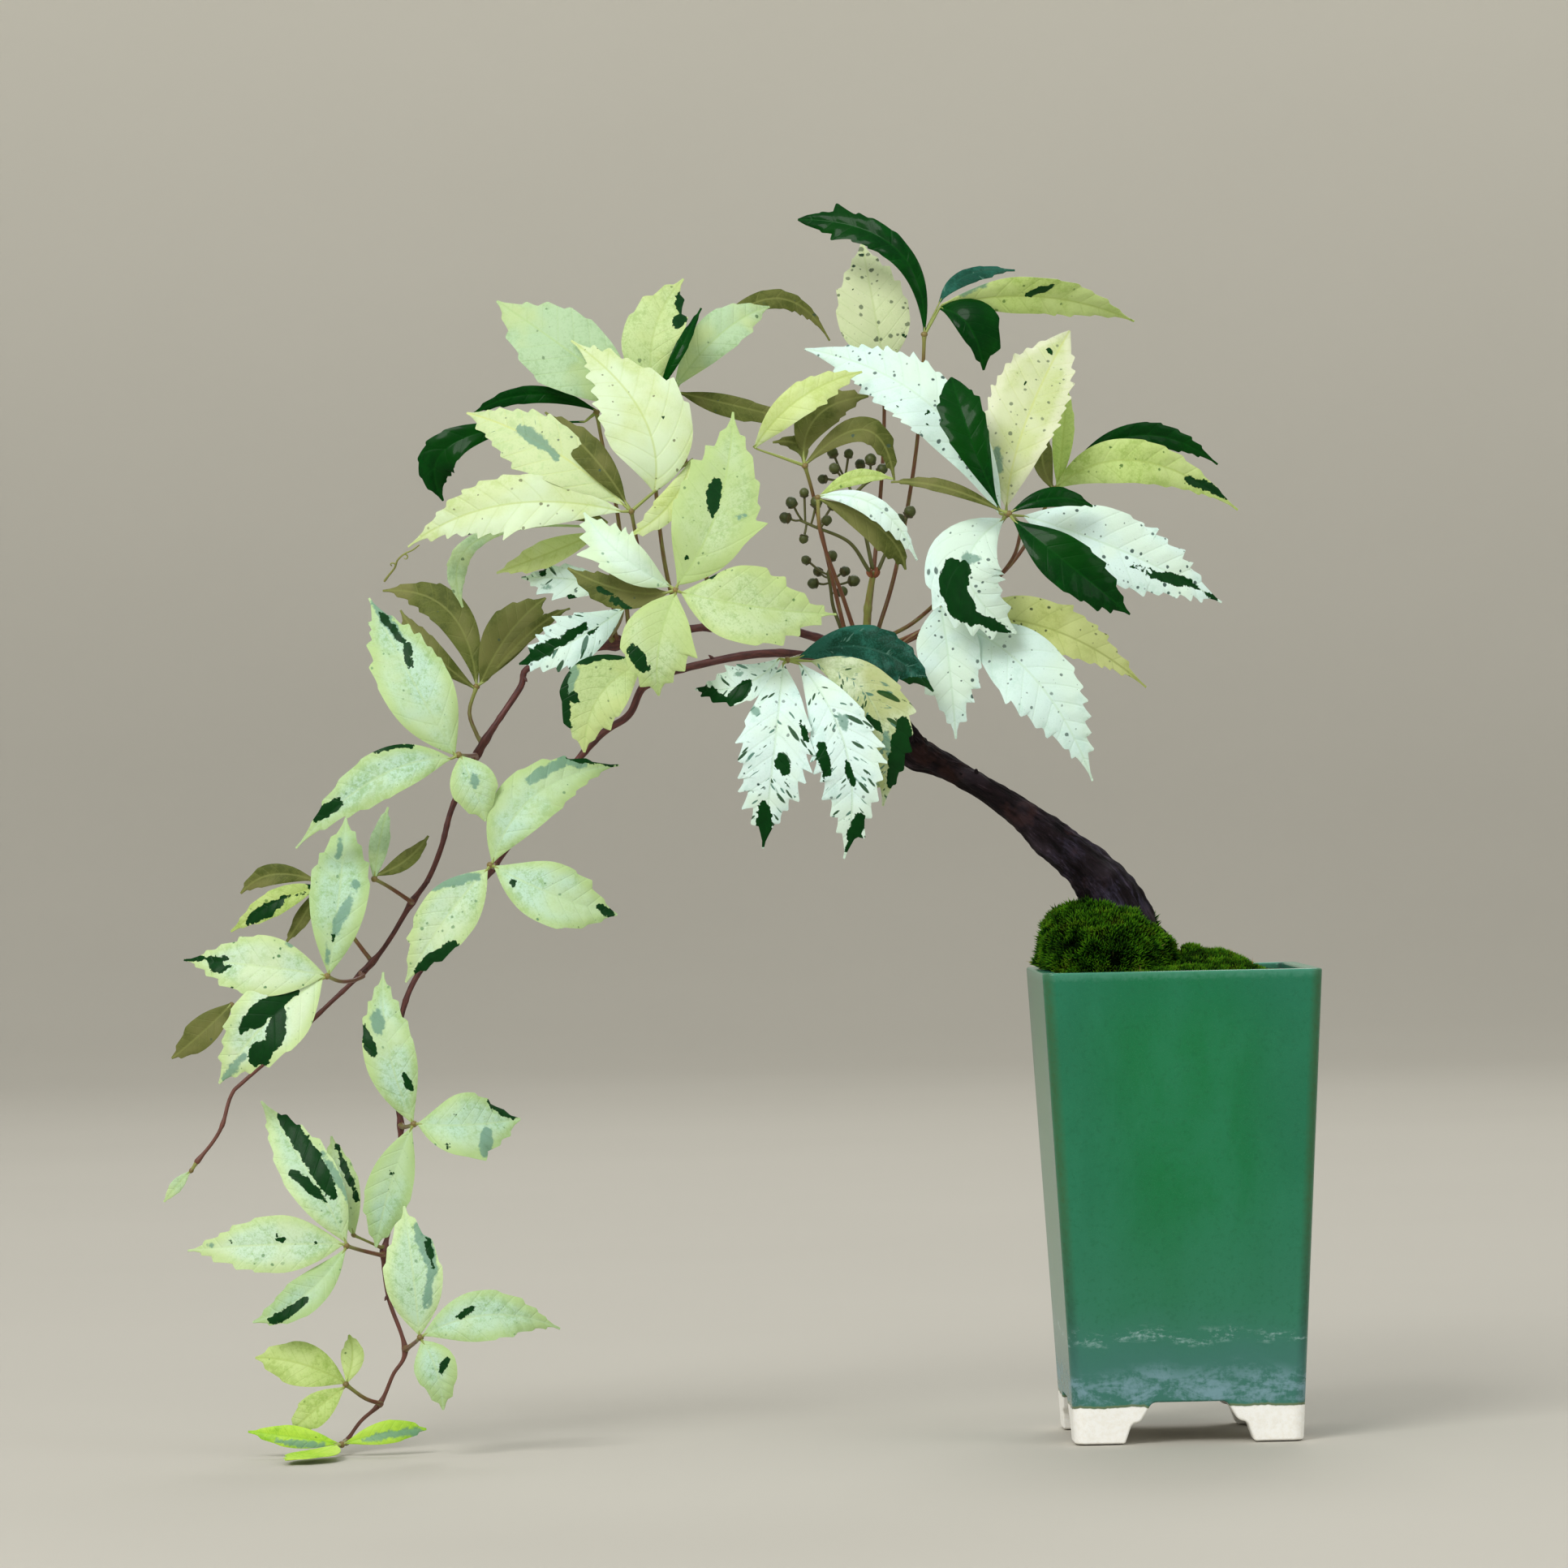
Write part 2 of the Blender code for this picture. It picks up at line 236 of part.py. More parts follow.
# flower buds: branch paths and bud centres
BUDS = [
    ("flower_buds_top", [
        [(-69.3, -6.4, 205.7), (-71.2, -6.0, 215.2), (-73.9, -6.0, 223.6), (-75.5, -6.0, 227.1)],
        [(-73.5, -6.0, 222.7), (-70.6, -7.0, 225.4), (-68.4, -8.0, 226.5)],
    ], [
        ((-78.1, -6.0, 232.9), (-75.5, -6.0, 227.1)),
        ((-74.4, -8.0, 232.5), (-75.4, -6.0, 226.9)),
        ((-71.6, -4.0, 230.2), (-71.2, -6.8, 225.1)),
        ((-69.3, -9.0, 231.0), (-69.5, -7.5, 226.0)),
        ((-66.6, -8.0, 228.7), (-68.4, -8.0, 226.5)),
        ((-77.9, -9.0, 229.1), (-75.4, -6.0, 226.7)),
        ((-80.5, -5.0, 226.8), (-75.4, -6.0, 226.7)),
    ]),
    ("flower_buds_left", [
        [(-70.3, -8.4, 205.1), (-74.9, -12.0, 211.6), (-82.9, -13.0, 215.3), (-86.3, -13.0, 216.9)],
    ], [
        ((-85.2, -13.0, 223.3), (-85.1, -13.0, 216.5)),
        ((-88.3, -15.0, 221.0), (-85.7, -13.0, 216.7)),
        ((-78.6, -12.0, 220.2), (-82.5, -13.0, 215.1)),
        ((-89.7, -12.0, 217.6), (-86.3, -13.0, 216.9)),
        ((-80.1, -15.0, 216.7), (-82.1, -13.0, 214.9)),
        ((-85.6, -14.0, 212.5), (-84.8, -13.0, 216.1)),
        ((-82.4, -14.0, 221.0), (-83.8, -13.0, 215.7)),
    ]),
    ("flower_buds_low", [
        [(-76.7, 1.0, 191.7), (-78.4, 1.0, 196.7), (-79.0, 1.0, 201.3), (-79.6, 1.0, 204.8)],
    ], [
        ((-78.5, 1.0, 208.8), (-79.6, 1.0, 204.8)),
        ((-84.6, 2.0, 208.0), (-79.6, 1.0, 204.4)),
        ((-75.4, 3.0, 205.2), (-79.2, 1.0, 203.3)),
        ((-73.5, 0.0, 202.8), (-78.8, 1.0, 202.1)),
        ((-83.1, 0.0, 202.4), (-79.2, 1.0, 202.5)),
        ((-76.3, -1.0, 200.3), (-78.7, 1.0, 200.2)),
        ((-81.8, 4.0, 205.3), (-79.4, 1.0, 203.7)),
    ]),
    ("flower_buds_right", [
        [(-67.7, -6.0, 205.5), (-65.5, -5.0, 210.1), (-62.9, -4.0, 213.9)],
    ], [
        ((-60.1, -4.0, 218.7), (-62.9, -4.0, 213.9)),
        ((-62.7, -6.0, 216.9), (-63.1, -4.0, 213.5)),
    ]),
]
BUD_R = 1.25
STALK_R = 0.42
CROWN_SHOOT = [(-71.0, -3.0, 189.4), (-70.3, -4.5, 197.6), (-69.1, -6.0, 204.2)]
TENDRIL = [(-184.4, 9.0, 205.1), (-183.4, 7.0, 206.3), (-181.9, 5.0, 208.0), (-181.1, 3.0, 209.8), (-179.3, 2.0, 211.3), (-177.6, 2.0, 212.0), (-176.0, 3.0, 213.2)]

COLOURS = {
    "white": (0.80, 0.86, 0.76), "cream": (0.80, 0.83, 0.58),
    "mottle": (0.55, 0.72, 0.46), "dark": (0.02, 0.10, 0.02),
    "olive": (0.13, 0.17, 0.03), "yellow": (0.72, 0.76, 0.38),
    "lime": (0.40, 0.66, 0.16), "pale": (0.58, 0.74, 0.47),
}


# ---------------------------------------------------------------- helpers
def clear_scene():
    for ob in list(bpy.data.objects):
        bpy.data.objects.remove(ob, do_unlink=True)


def collection(name):
    col = bpy.data.collections.new(name)
    bpy.context.scene.collection.children.link(col)
    return col


def material(name, colour, rough=0.5, metal=0.0):
    mat = bpy.data.materials.new(name)
    mat.use_nodes = True
    bsdf = mat.node_tree.nodes["Principled BSDF"]
    bsdf.inputs["Base Color"].default_value = (*colour, 1.0)
    bsdf.inputs["Roughness"].default_value = rough
    bsdf.inputs["Metallic"].default_value = metal
    mat.diffuse_color = (*colour, 1.0)
    return mat


def from_bmesh(name, bm, col):
    bmesh.ops.recalc_face_normals(bm, faces=bm.faces)
    me = bpy.data.meshes.new(name)
    bm.to_mesh(me)
    bm.free()
    ob = bpy.data.objects.new(name, me)
    col.objects.link(ob)
    return ob


def bake(ob):
    """Replace the object's mesh by its evaluated one and drop its modifiers."""
    bpy.context.view_layer.update()
    deps = bpy.context.evaluated_depsgraph_get()
    me = bpy.data.meshes.new_from_object(ob.evaluated_get(deps))
    ob.modifiers.clear()
    ob.data = me
    return ob


def boolean(ob, other, op, remove=True, solver="EXACT"):
    mod = ob.modifiers.new(op.lower(), "BOOLEAN")
    mod.operation = op
    mod.solver = solver
    mod.object = other
    bake(ob)
    if remove:
        bpy.data.objects.remove(other, do_unlink=True)
    return ob


def solid_facts(me):
    """Volume of a mesh, whether it is closed, and how many bodies it has."""
    bm = bmesh.new()
    bm.from_mesh(me)
    left, bodies = set(bm.verts), 0
    while left:
        bodies += 1
        stack = [left.pop()]
        while stack:
            for e in stack.pop().link_edges:
                for w in e.verts:
                    if w in left:
                        left.discard(w)
                        stack.append(w)
    facts = bm.calc_volume(), closed(bm), bodies
    bm.free()
    return facts


def grow_on(ob, other):
    """Union of two closed bodies.  The exact solver can lose thin blades that
    cross at a leaf's hub, and then the manifold solver makes the join."""
    before = ob.data
    va, vb = solid_facts(before)[0], solid_facts(other.data)[0]
    for solver in ("EXACT", "MANIFOLD"):
        ob.data = before
        boolean(ob, other, "UNION", remove=False, solver=solver)
        v, whole, bodies = solid_facts(ob.data)
        if whole and bodies == 1 and max(va, vb) * 0.99 <= v <= (va + vb) * 1.01:
            break
    else:
        print("join failed:", ob.name, other.name, v, whole, bodies)
    bpy.data.objects.remove(other, do_unlink=True)
    return ob


def closed(bm):
    return all(len(e.link_faces) == 2 for e in bm.edges)


def tidy(ob):
    """Merge slivers that a cut or join left, as far as the body stays closed."""
    for dist in (0.00004, 0.00002, 0.0001, 0.00001, 0.000004, 0.000002, 0.0):
        for way in ("BEAUTY", "EAR_CLIP"):
            bm = bmesh.new()
            bm.from_mesh(ob.data)
            if dist:
                bmesh.ops.remove_doubles(bm, verts=bm.verts, dist=dist)
                bmesh.ops.dissolve_degenerate(bm, edges=bm.edges, dist=dist)
            bmesh.ops.triangulate(bm, faces=bm.faces, ngon_method=way)
            good = closed(bm)
            if good:
                bm.to_mesh(ob.data)
            bm.free()
            if good:
                return ob
    print("left as it is:", ob.name)
    return ob


def keep_largest(ob):
    """Drop crumbs that a cut left beside the main body."""
    bm = bmesh.new()
    bm.from_mesh(ob.data)
    left, parts = set(bm.verts), []
    while left:
        stack, seen = [left.pop()], []
        while stack:
            v = stack.pop()
            seen.append(v)
            for e in v.link_edges:
                w = e.other_vert(v)
                if w in left:
                    left.discard(w)
                    stack.append(w)
        parts.append(seen)
    parts.sort(key=len)
    for p in parts[:-1]:
        bmesh.ops.delete(bm, geom=p, context="VERTS")
    bm.to_mesh(ob.data)
    bm.free()
    return ob


def finish(ob, mat, smooth=None):
    ob.data.materials.clear()
    ob.data.materials.append(mat)
    if smooth is not None:
        ob.data.shade_smooth()
        ob.data.set_sharp_from_angle(angle=math.radians(smooth))
    return ob


def frustum(name, col, w0, z0, w1, z1, corner=0.0, seg=3):
    """Square box, w0 wide at z0 and w1 wide at z1, with rounded uprights."""
    bm = bmesh.new()
    bmesh.ops.create_cube(bm, size=1.0)
    for v in bm.verts:
        w, z = (w1, z1) if v.co.z > 0 else (w0, z0)
        v.co = Vector((v.co.x * w, v.co.y * w, z)) * MM
    if corner:
        ups = [e for e in bm.edges if abs(e.verts[0].co.z - e.verts[1].co.z) > 1e-6]
        bmesh.ops.bevel(bm, geom=ups, offset=corner * MM, segments=seg,
                        profile=0.5, affect="EDGES")
    return from_bmesh(name, bm, col)


def smooth_path(points, step):
    """Points every `step` on a Catmull-Rom curve through the given ones."""
    pts = [Vector(p) for p in points]
    ext = [pts[0] * 2 - pts[1]] + pts + [pts[-1] * 2 - pts[-2]]
    dense = []
    for i in range(1, len(ext) - 2):
        a, b, c, d = ext[i - 1:i + 3]
        for k in range(12):
            t = k / 12.0
            dense.append(0.5 * ((2 * b) + (c - a) * t + (2 * a - 5 * b + 4 * c - d) * t * t
                                + (3 * b - a - 3 * c + d) * t ** 3))
    dense.append(pts[-1].copy())
    run = [0.0]
    for p, q in zip(dense, dense[1:]):
        run.append(run[-1] + (Vector(q[:3]) - Vector(p[:3])).length)
    count = max(2, int(round(run[-1] / step)) + 1)
    out, j = [], 0
    for i in range(count):
        s = run[-1] * i / (count - 1)
        while j < len(run) - 2 and run[j + 1] < s:
            j += 1
        f = (s - run[j]) / max(1e-9, run[j + 1] - run[j])
        out.append(dense[j].lerp(dense[j + 1], min(1.0, f)))
    return out


def tube(name, col, points, radius, res=1):
    """A curve with a round bevel and filled caps, made a mesh with its caps
    welded.  radius is one number or one per point."""
    cu = bpy.data.curves.new(name, "CURVE")
    cu.dimensions = "3D"
    cu.bevel_depth = 1.0 * MM
    cu.bevel_resolution = res
    cu.use_fill_caps = True
    sp = cu.splines.new("POLY")
    sp.points.add(len(points) - 1)
    for i, p in enumerate(points):
        sp.points[i].co = (p[0] * MM, p[1] * MM, p[2] * MM, 1.0)
        sp.points[i].radius = radius[i] if isinstance(radius, (list, tuple)) else radius
    tmp = bpy.data.objects.new(name + "_path", cu)
    col.objects.link(tmp)
    bpy.context.view_layer.update()
    deps = bpy.context.evaluated_depsgraph_get()
    me = bpy.data.meshes.new_from_object(tmp.evaluated_get(deps))
    me.name = name
    bpy.data.objects.remove(tmp, do_unlink=True)
    bm = bmesh.new()
    bm.from_mesh(me)
    bmesh.ops.remove_doubles(bm, verts=bm.verts, dist=0.00001)
    bmesh.ops.recalc_face_normals(bm, faces=bm.faces)
    bm.to_mesh(me)
    bm.free()
    ob = bpy.data.objects.new(name, me)
    col.objects.link(ob)
    return ob


def ball(name, col, centre, radius, sub=1, squash=1.0):
    bm = bmesh.new()
    bmesh.ops.create_icosphere(bm, subdivisions=sub, radius=radius * MM)
    for v in bm.verts:
        v.co.z *= squash
        v.co += Vector(centre) * MM
    return from_bmesh(name, bm, col)


# ---------------------------------------------------------------- leaf shape
def outline(t, tm, p1, p2):
    if t < tm:
        return math.sin(math.pi / 2 * t / tm) ** p1
    return max(0.0, math.cos(math.pi / 2 * (t - tm) / (1 - tm))) ** p2


def blade_point(b, t, s):
    """Point of a leaflet: t runs from base to tip, s from -1 (left margin)
    through the midrib to +1 (right margin).  Millimetres."""
    p0, pm, p2 = Vector(b["base"]), Vector(b["mid"]), Vector(b["tip"])
    c = pm * 2 - (p0 + p2) * 0.5
    p = p0 * (1 - t) ** 2 + c * 2 * t * (1 - t) + p2 * t * t
    d = ((c - p0) * 2 * (1 - t) + (p2 - c) * 2 * t).normalized()
    face = Vector(b["n"]) if b["n"] else Vector((0.0, -1.0, 0.28))
    side = d.cross(face).normalized()
    up = side.cross(d).normalized()
    if b["roll"]:
        a = math.radians(b["roll"])
        if d.x > 0:
            a = -a
        side, up = side * math.cos(a) + up * math.sin(a), up * math.cos(a) - side * math.sin(a)
    w = outline(t, b["tm"], b["p1"], b["p2"]) * (b["right"] if s > 0 else b["left"])
    w = max(w, 0.3)
    return p + side * (s * w) + up * (b["fold"] * abs(s) * w)


def leaf_blade(name, col, b, hub):
    """A leaflet with its short stalk: rows of three points from the hub
    through the base to the tip, given a thickness."""
    length = (Vector(b["tip"]) - Vector(b["base"])).length
    n = 5 if length > 15.0 else 4
    base = blade_point(b, 0.0, 0.0)
    away = hub - base
    far = away.length > 0.5
    bm = bmesh.new()
    bmesh.ops.create_grid(bm, x_segments=2, y_segments=n + (1 if far else 0), size=1.0)
    for v in bm.verts:
        s = v.co.x
        row = round((0.5 + 0.5 * v.co.y) * (n + (1 if far else 0)))
        if row == 0:
            start = away + away.normalized() * 0.3
            v.co = (blade_point(b, 0.0, s) + start) * MM
        else:
            v.co = blade_point(b, (row - (1 if far else 0)) / n, s) * MM
    me = bpy.data.meshes.new(name)
    bm.to_mesh(me)
    bm.free()
    ob = bpy.data.objects.new(name, me)
    col.objects.link(ob)
    mod = ob.modifiers.new("thickness", "SOLIDIFY")
    mod.thickness = BLADE_T * MM
    mod.offset = 0.0
    mod.use_rim = True
    bake(ob)
    bm = bmesh.new()
    bm.from_mesh(ob.data)
    bmesh.ops.recalc_face_normals(bm, faces=bm.faces)
    bm.to_mesh(ob.data)
    bm.free()
    return ob


def compound_leaf(name, col, blades, petiole):
    """Petiole and leaflets, grown as one from the hub at its upper end."""
    leaf = tube(name, col, smooth_path(petiole, 10.0), PETIOLE_R, 0)
    hub = Vector(petiole[0])
    bm = bmesh.new()
    bmesh.ops.create_cube(bm, size=KNUCKLE * MM)
    bmesh.ops.rotate(bm, verts=bm.verts, cent=(0, 0, 0),
                     matrix=Matrix.Rotation(0.6, 3, Vector((0.3, 0.8, 0.52)).normalized()))
    bmesh.ops.translate(bm, verts=bm.verts, vec=hub * MM)
    grow_on(leaf, from_bmesh(name + "_knuckle", bm, col))
    for b in blades:
        grow_on(leaf, leaf_blade(name + "_blade", col, b, hub))
    return tidy(keep_largest(leaf))


# ---------------------------------------------------------------- pot and fill
def build_pot(col, cut):
    pot = frustum("pot", col, POT_BOT, 0.0, POT_TOP, POT_H, POT_CORNER, 3)
    slope = (POT_TOP - POT_BOT) / POT_H
    z0 = FOOT_H + FLOOR_T
    inner = frustum("pot_inside", cut, POT_BOT + slope * z0 - 2 * POT_WALL, z0,
                    POT_TOP - 2 * POT_WALL + slope * 5, POT_H + 5.0, 1.5, 2)
    boolean(pot, inner, "DIFFERENCE")
    w = POT_BOT - 2 * FOOT_T
    under = frustum("pot_under", cut, w, -5.0, w, FOOT_H)
    boolean(pot, under, "DIFFERENCE")
    for turn in (0.0, math.pi / 2):
        cu = bpy.data.curves.new("arch", "CURVE")
        cu.dimensions = "2D"
        cu.fill_mode = "BOTH"
        cu.extrude = POT_TOP * MM
        sp = cu.splines.new("POLY")
        pts = ARCH + [(-x, z) for x, z in reversed(ARCH)]
        sp.points.add(len(pts) - 1)
        for i, (x, z) in enumerate(pts):
            sp.points[i].co = (x * MM, z * MM, 0.0, 1.0)
        sp.use_cyclic_u = True
        tmp = bpy.data.objects.new("arch_outline", cu)
        cut.objects.link(tmp)
        tmp.rotation_euler = (math.pi / 2, 0.0, turn)
        bpy.context.view_layer.update()
        deps = bpy.context.evaluated_depsgraph_get()
        me = bpy.data.meshes.new_from_object(tmp.evaluated_get(deps))
        arch = bpy.data.objects.new("arch", me)
        arch.matrix_world = tmp.matrix_world.copy()
        cut.objects.link(arch)
        bpy.data.objects.remove(tmp, do_unlink=True)
        bm = bmesh.new()
        bm.from_mesh(me)
        bmesh.ops.remove_doubles(bm, verts=bm.verts, dist=0.00001)
        bmesh.ops.recalc_face_normals(bm, faces=bm.faces)
        bm.to_mesh(me)
        bm.free()
        boolean(pot, arch, "DIFFERENCE")
    bm = bmesh.new()
    bmesh.ops.create_cone(bm, cap_ends=True, segments=16, radius1=DRAIN_R * MM,
                          radius2=DRAIN_R * MM, depth=30 * MM)
    drain = from_bmesh("drain_hole", bm, cut)
    boolean(pot, drain, "DIFFERENCE")
    return tidy(pot)


def cavity_width(z):
    slope = (POT_TOP - POT_BOT) / POT_H
    return POT_BOT + slope * z - 2 * POT_WALL


def build_soil(col):
    z0, z1 = FOOT_H + FLOOR_T + 3 * GAP + MESH_T + 2 * WIRE_R, SOIL_TOP
    return frustum("soil", col, cavity_width(z0) - 2 * GAP, z0,
                   cavity_width(z1) - 2 * GAP, z1, 1.5, 2)


def build_screen(col, cut):
    z = FOOT_H + FLOOR_T + GAP + MESH_T / 2
    bm = bmesh.new()
    bmesh.ops.create_cube(bm, size=1.0)
    for v in bm.verts:
        v.co = Vector((v.co.x * MESH_SIZE, v.co.y * MESH_SIZE, v.co.z * MESH_T + z)) * MM
    screen = from_bmesh("drain_mesh", bm, col)
    for ix in (-1, 0, 1):
        for iy in (-1, 0, 1):
            bm = bmesh.new()
            bmesh.ops.create_cube(bm, size=1.0)
            for v in bm.verts:
                v.co = Vector((v.co.x * 3.2 + ix * 4.6, v.co.y * 3.2 + iy * 4.6,
                               v.co.z * 4 + z)) * MM
            boolean(screen, from_bmesh("screen_hole", bm, cut), "DIFFERENCE")
    return tidy(screen)


def build_clip(col):
    """Wire staple that holds the drain screen: over the screen, down through
    two of its openings and the drain hole, and bent out under the floor."""
    top = FOOT_H + FLOOR_T + GAP + MESH_T + GAP + WIRE_R
    low = FOOT_H - GAP - WIRE_R
    half = [(4.0, top), (4.6, top - 0.7), (4.6, low + 1.0), (5.2, low), (11.0, low)]
    pts = [(-x, 0.0, z) for x, z in reversed(half)] + [(x, 0.0, z) for x, z in half]
    return tube("mesh_clip", col, pts, WIRE_R)


def dome(name, col, grow):
    """Moss cushion: a lumpy half ellipsoid."""
    bm = bmesh.new()
    bmesh.ops.create_icosphere(bm, subdivisions=3, radius=1.0)
    for v in bm.verts:
        n = v.co.normalized()
        lump = 1.0 + 0.07 * noise.noise(n * 2.2 + Vector((3.1, 0.4, 1.7)))
        v.co = (Vector(MOUND_C) + Vector((n.x * (MOUND_R[0] * lump + grow),
                                          n.y * (MOUND_R[1] * lump + grow),
                                          n.z * (MOUND_R[2] * lump + grow)))) * MM
    return from_bmesh(name, bm, col)


def slab(name, col, w, z0, z1):
    return frustum(name, col, w, z0, w, z1)


def build_moss(col, cut):
    mound = dome("moss_mound", col, 0.0)
    boolean(mound, slab("below", cut, 120.0, 60.0, SOIL_TOP + GAP), "DIFFERENCE")
    rim = slab("rim_room", cut, 120.0, 80.0, POT_H + GAP)
    w = cavity_width(POT_H) - 2 * GAP
    boolean(rim, frustum("rim_hole", cut, cavity_width(SOIL_TOP) - 2 * GAP - 0.1, 70.0,
                         w, POT_H + 10), "DIFFERENCE")
    boolean(mound, rim, "DIFFERENCE")
    carpet = frustum("moss_carpet", col, cavity_width(SOIL_TOP) - 1.5, SOIL_TOP + GAP,
                     cavity_width(POT_H) - 1.5, CARPET_TOP)
    bm = bmesh.new()
    bm.from_mesh(carpet.data)
    top = [f for f in bm.faces if f.normal.z > 0.9]
    edges = list({e for f in top for e in f.edges})
    bmesh.ops.subdivide_edges(bm, edges=edges, cuts=7, use_grid_fill=True)
    zt = CARPET_TOP * MM - 1e-6
    for v in bm.verts:
        if v.co.z > zt:
            p = v.co / MM
            edge = min(1.0, (cavity_width(POT_H) / 2 - GAP - max(abs(p.x), abs(p.y))) / 6.0)
            v.co.z += MM * (edge * (1.4 + 1.8 * noise.noise(p * 0.11 + Vector((5.0, 2.0, 0.0)))))
    bm.to_mesh(carpet.data)
    bm.free()
    grown = dome("mound_room", cut, 0.45)
    boolean(carpet, grown, "DIFFERENCE")
    return mound, carpet


def trunk_solid(name, col, grow, res=2, step=6.0):
    path = smooth_path(TRUNK, step)
    if grow:
        foot = path[0].copy()
        foot.z -= 2 * grow
        path.insert(0, foot)
    return tube(name, col, [p[:3] for p in path], [p[3] + grow for p in path], res)


def bud_cluster(name, col, branches, buds):
    ob = None
    for run in branches:
        t = tube(name, col, run, STALK_R, 0)
        if ob is None:
            ob = t
        else:
            grow_on(ob, t)
    for c, anchor in buds:
        c, anchor = Vector(c), Vector(anchor)
        d = (c - anchor).normalized()
        run = [anchor - d * 0.1, c - d * BUD_R * 0.9, c - d * BUD_R * 0.35,
               c + d * BUD_R * 0.45, c + d * BUD_R]
        bud = tube(name + "_bud", col, run, [0.3, 0.32, BUD_R * 0.95, BUD_R * 0.9, BUD_R * 0.35], 1)
        grow_on(ob, bud)
    return tidy(ob)


def main():
    clear_scene()
    parts = collection("cascade_bonsai")
    cut = collection("cutters")

    pot = build_pot(parts, cut)
    finish(pot, material("pot_glaze", (0.05, 0.16, 0.09), 0.15), 35)
    soil = build_soil(parts)
    room = trunk_solid("trunk_room", cut, GAP)
    boolean(soil, room, "DIFFERENCE")
    finish(tidy(soil), material("soil", (0.08, 0.05, 0.03), 0.95))
    finish(build_screen(parts, cut), material("drain_mesh", (0.03, 0.03, 0.03), 0.6))
    finish(build_clip(parts), material("clip_wire", (0.25, 0.25, 0.25), 0.35, 1.0), 60)
    mound, carpet = build_moss(parts, cut)
    boolean(mound, trunk_solid("trunk_room", cut, GAP), "DIFFERENCE")
    boolean(carpet, trunk_solid("trunk_room", cut, GAP), "DIFFERENCE")
    for ob in (mound, carpet):
        tidy(ob)
        keep_largest(ob)
        finish(ob, material(ob.name, (0.06, 0.16, 0.02), 0.95))

    trunk = trunk_solid("trunk", parts, 0.0)
    finish(trunk, material("bark", (0.035, 0.02, 0.02), 0.7), 40)

    stem_mat = material("stem", (0.16, 0.04, 0.04), 0.5)
    for name, route in (("stem_upper", UPPER_STEM), ("stem_lower", LOWER_STEM)):
        path = smooth_path(route, 7.0)
        n = len(path) - 1
        radii = [STEM_R0 + (STEM_R1 - STEM_R0) * (i / n) ** 0.8 for i in range(n + 1)]
        finish(tube(name, parts, path, radii), stem_mat.copy(), 60)
    finish(tube("crown_shoot", parts, smooth_path(CROWN_SHOOT, 6.0), 0.95),
           material("green_stem", (0.12, 0.15, 0.03), 0.5), 60)
    finish(tube("tendril", parts, smooth_path(TENDRIL, 2.5), 0.3),
           material("tendril", (0.3, 0.3, 0.12), 0.5), 60)

    for name, branches, buds in BUDS:
        finish(bud_cluster(name, parts, branches, buds),
               material(name, (0.10, 0.13, 0.03), 0.5))

    for name, blades, petiole in LEAVES:
        leaf = compound_leaf(name, parts, blades, petiole)
        look = COLOURS.get(blades[0]["look"], COLOURS["pale"])
        finish(leaf, material(name, look, 0.35))

    # the part's origin is under the middle of the whole plant and pot
    bpy.context.view_layer.update()
    lo = Vector((1e9, 1e9, 1e9))
    hi = -lo
    for ob in parts.objects:
        for v in ob.data.vertices:
            for k in range(3):
                lo[k] = min(lo[k], v.co[k])
                hi[k] = max(hi[k], v.co[k])
    shift = Vector((-(lo.x + hi.x) / 2, -(lo.y + hi.y) / 2, -lo.z))
    base = bpy.data.objects.new("bonsai_origin", None)
    parts.objects.link(base)
    for ob in parts.objects:
        if ob is not base:
            ob.parent = base
    base.location = shift


main()
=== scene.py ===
"""Cascade bonsai in a tall square pot: the finished looks, built around the
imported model.

Tables are in millimetres in the pot's own frame (x right, y away from the
front, z up, x = y = 0 on the pot's middle line, z = 0 under its feet).  The
pot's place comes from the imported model.
"""

import math
import random

import bmesh
import bpy
import numpy as np
from mathutils import Matrix, Vector, noise


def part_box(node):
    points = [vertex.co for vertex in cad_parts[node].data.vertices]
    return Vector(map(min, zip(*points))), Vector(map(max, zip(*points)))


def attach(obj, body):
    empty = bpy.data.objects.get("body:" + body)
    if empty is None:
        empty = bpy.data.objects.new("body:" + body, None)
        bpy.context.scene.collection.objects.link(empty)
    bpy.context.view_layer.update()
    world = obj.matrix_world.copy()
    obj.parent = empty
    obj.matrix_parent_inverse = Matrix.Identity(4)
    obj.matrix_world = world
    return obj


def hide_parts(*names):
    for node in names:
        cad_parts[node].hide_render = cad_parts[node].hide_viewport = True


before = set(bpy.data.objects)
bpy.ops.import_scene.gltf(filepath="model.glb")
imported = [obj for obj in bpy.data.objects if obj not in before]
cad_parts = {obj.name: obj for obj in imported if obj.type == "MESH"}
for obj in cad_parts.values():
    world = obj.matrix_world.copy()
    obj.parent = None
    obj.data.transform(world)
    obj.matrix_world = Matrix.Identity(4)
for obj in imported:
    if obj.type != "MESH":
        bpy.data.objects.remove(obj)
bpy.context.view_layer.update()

MM = 0.001
_lo, _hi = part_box("pot")
POT_AT = Vector(((_lo.x + _hi.x) / 2, (_lo.y + _hi.y) / 2, _lo.z))
POT_NP = np.array(POT_AT) / MM


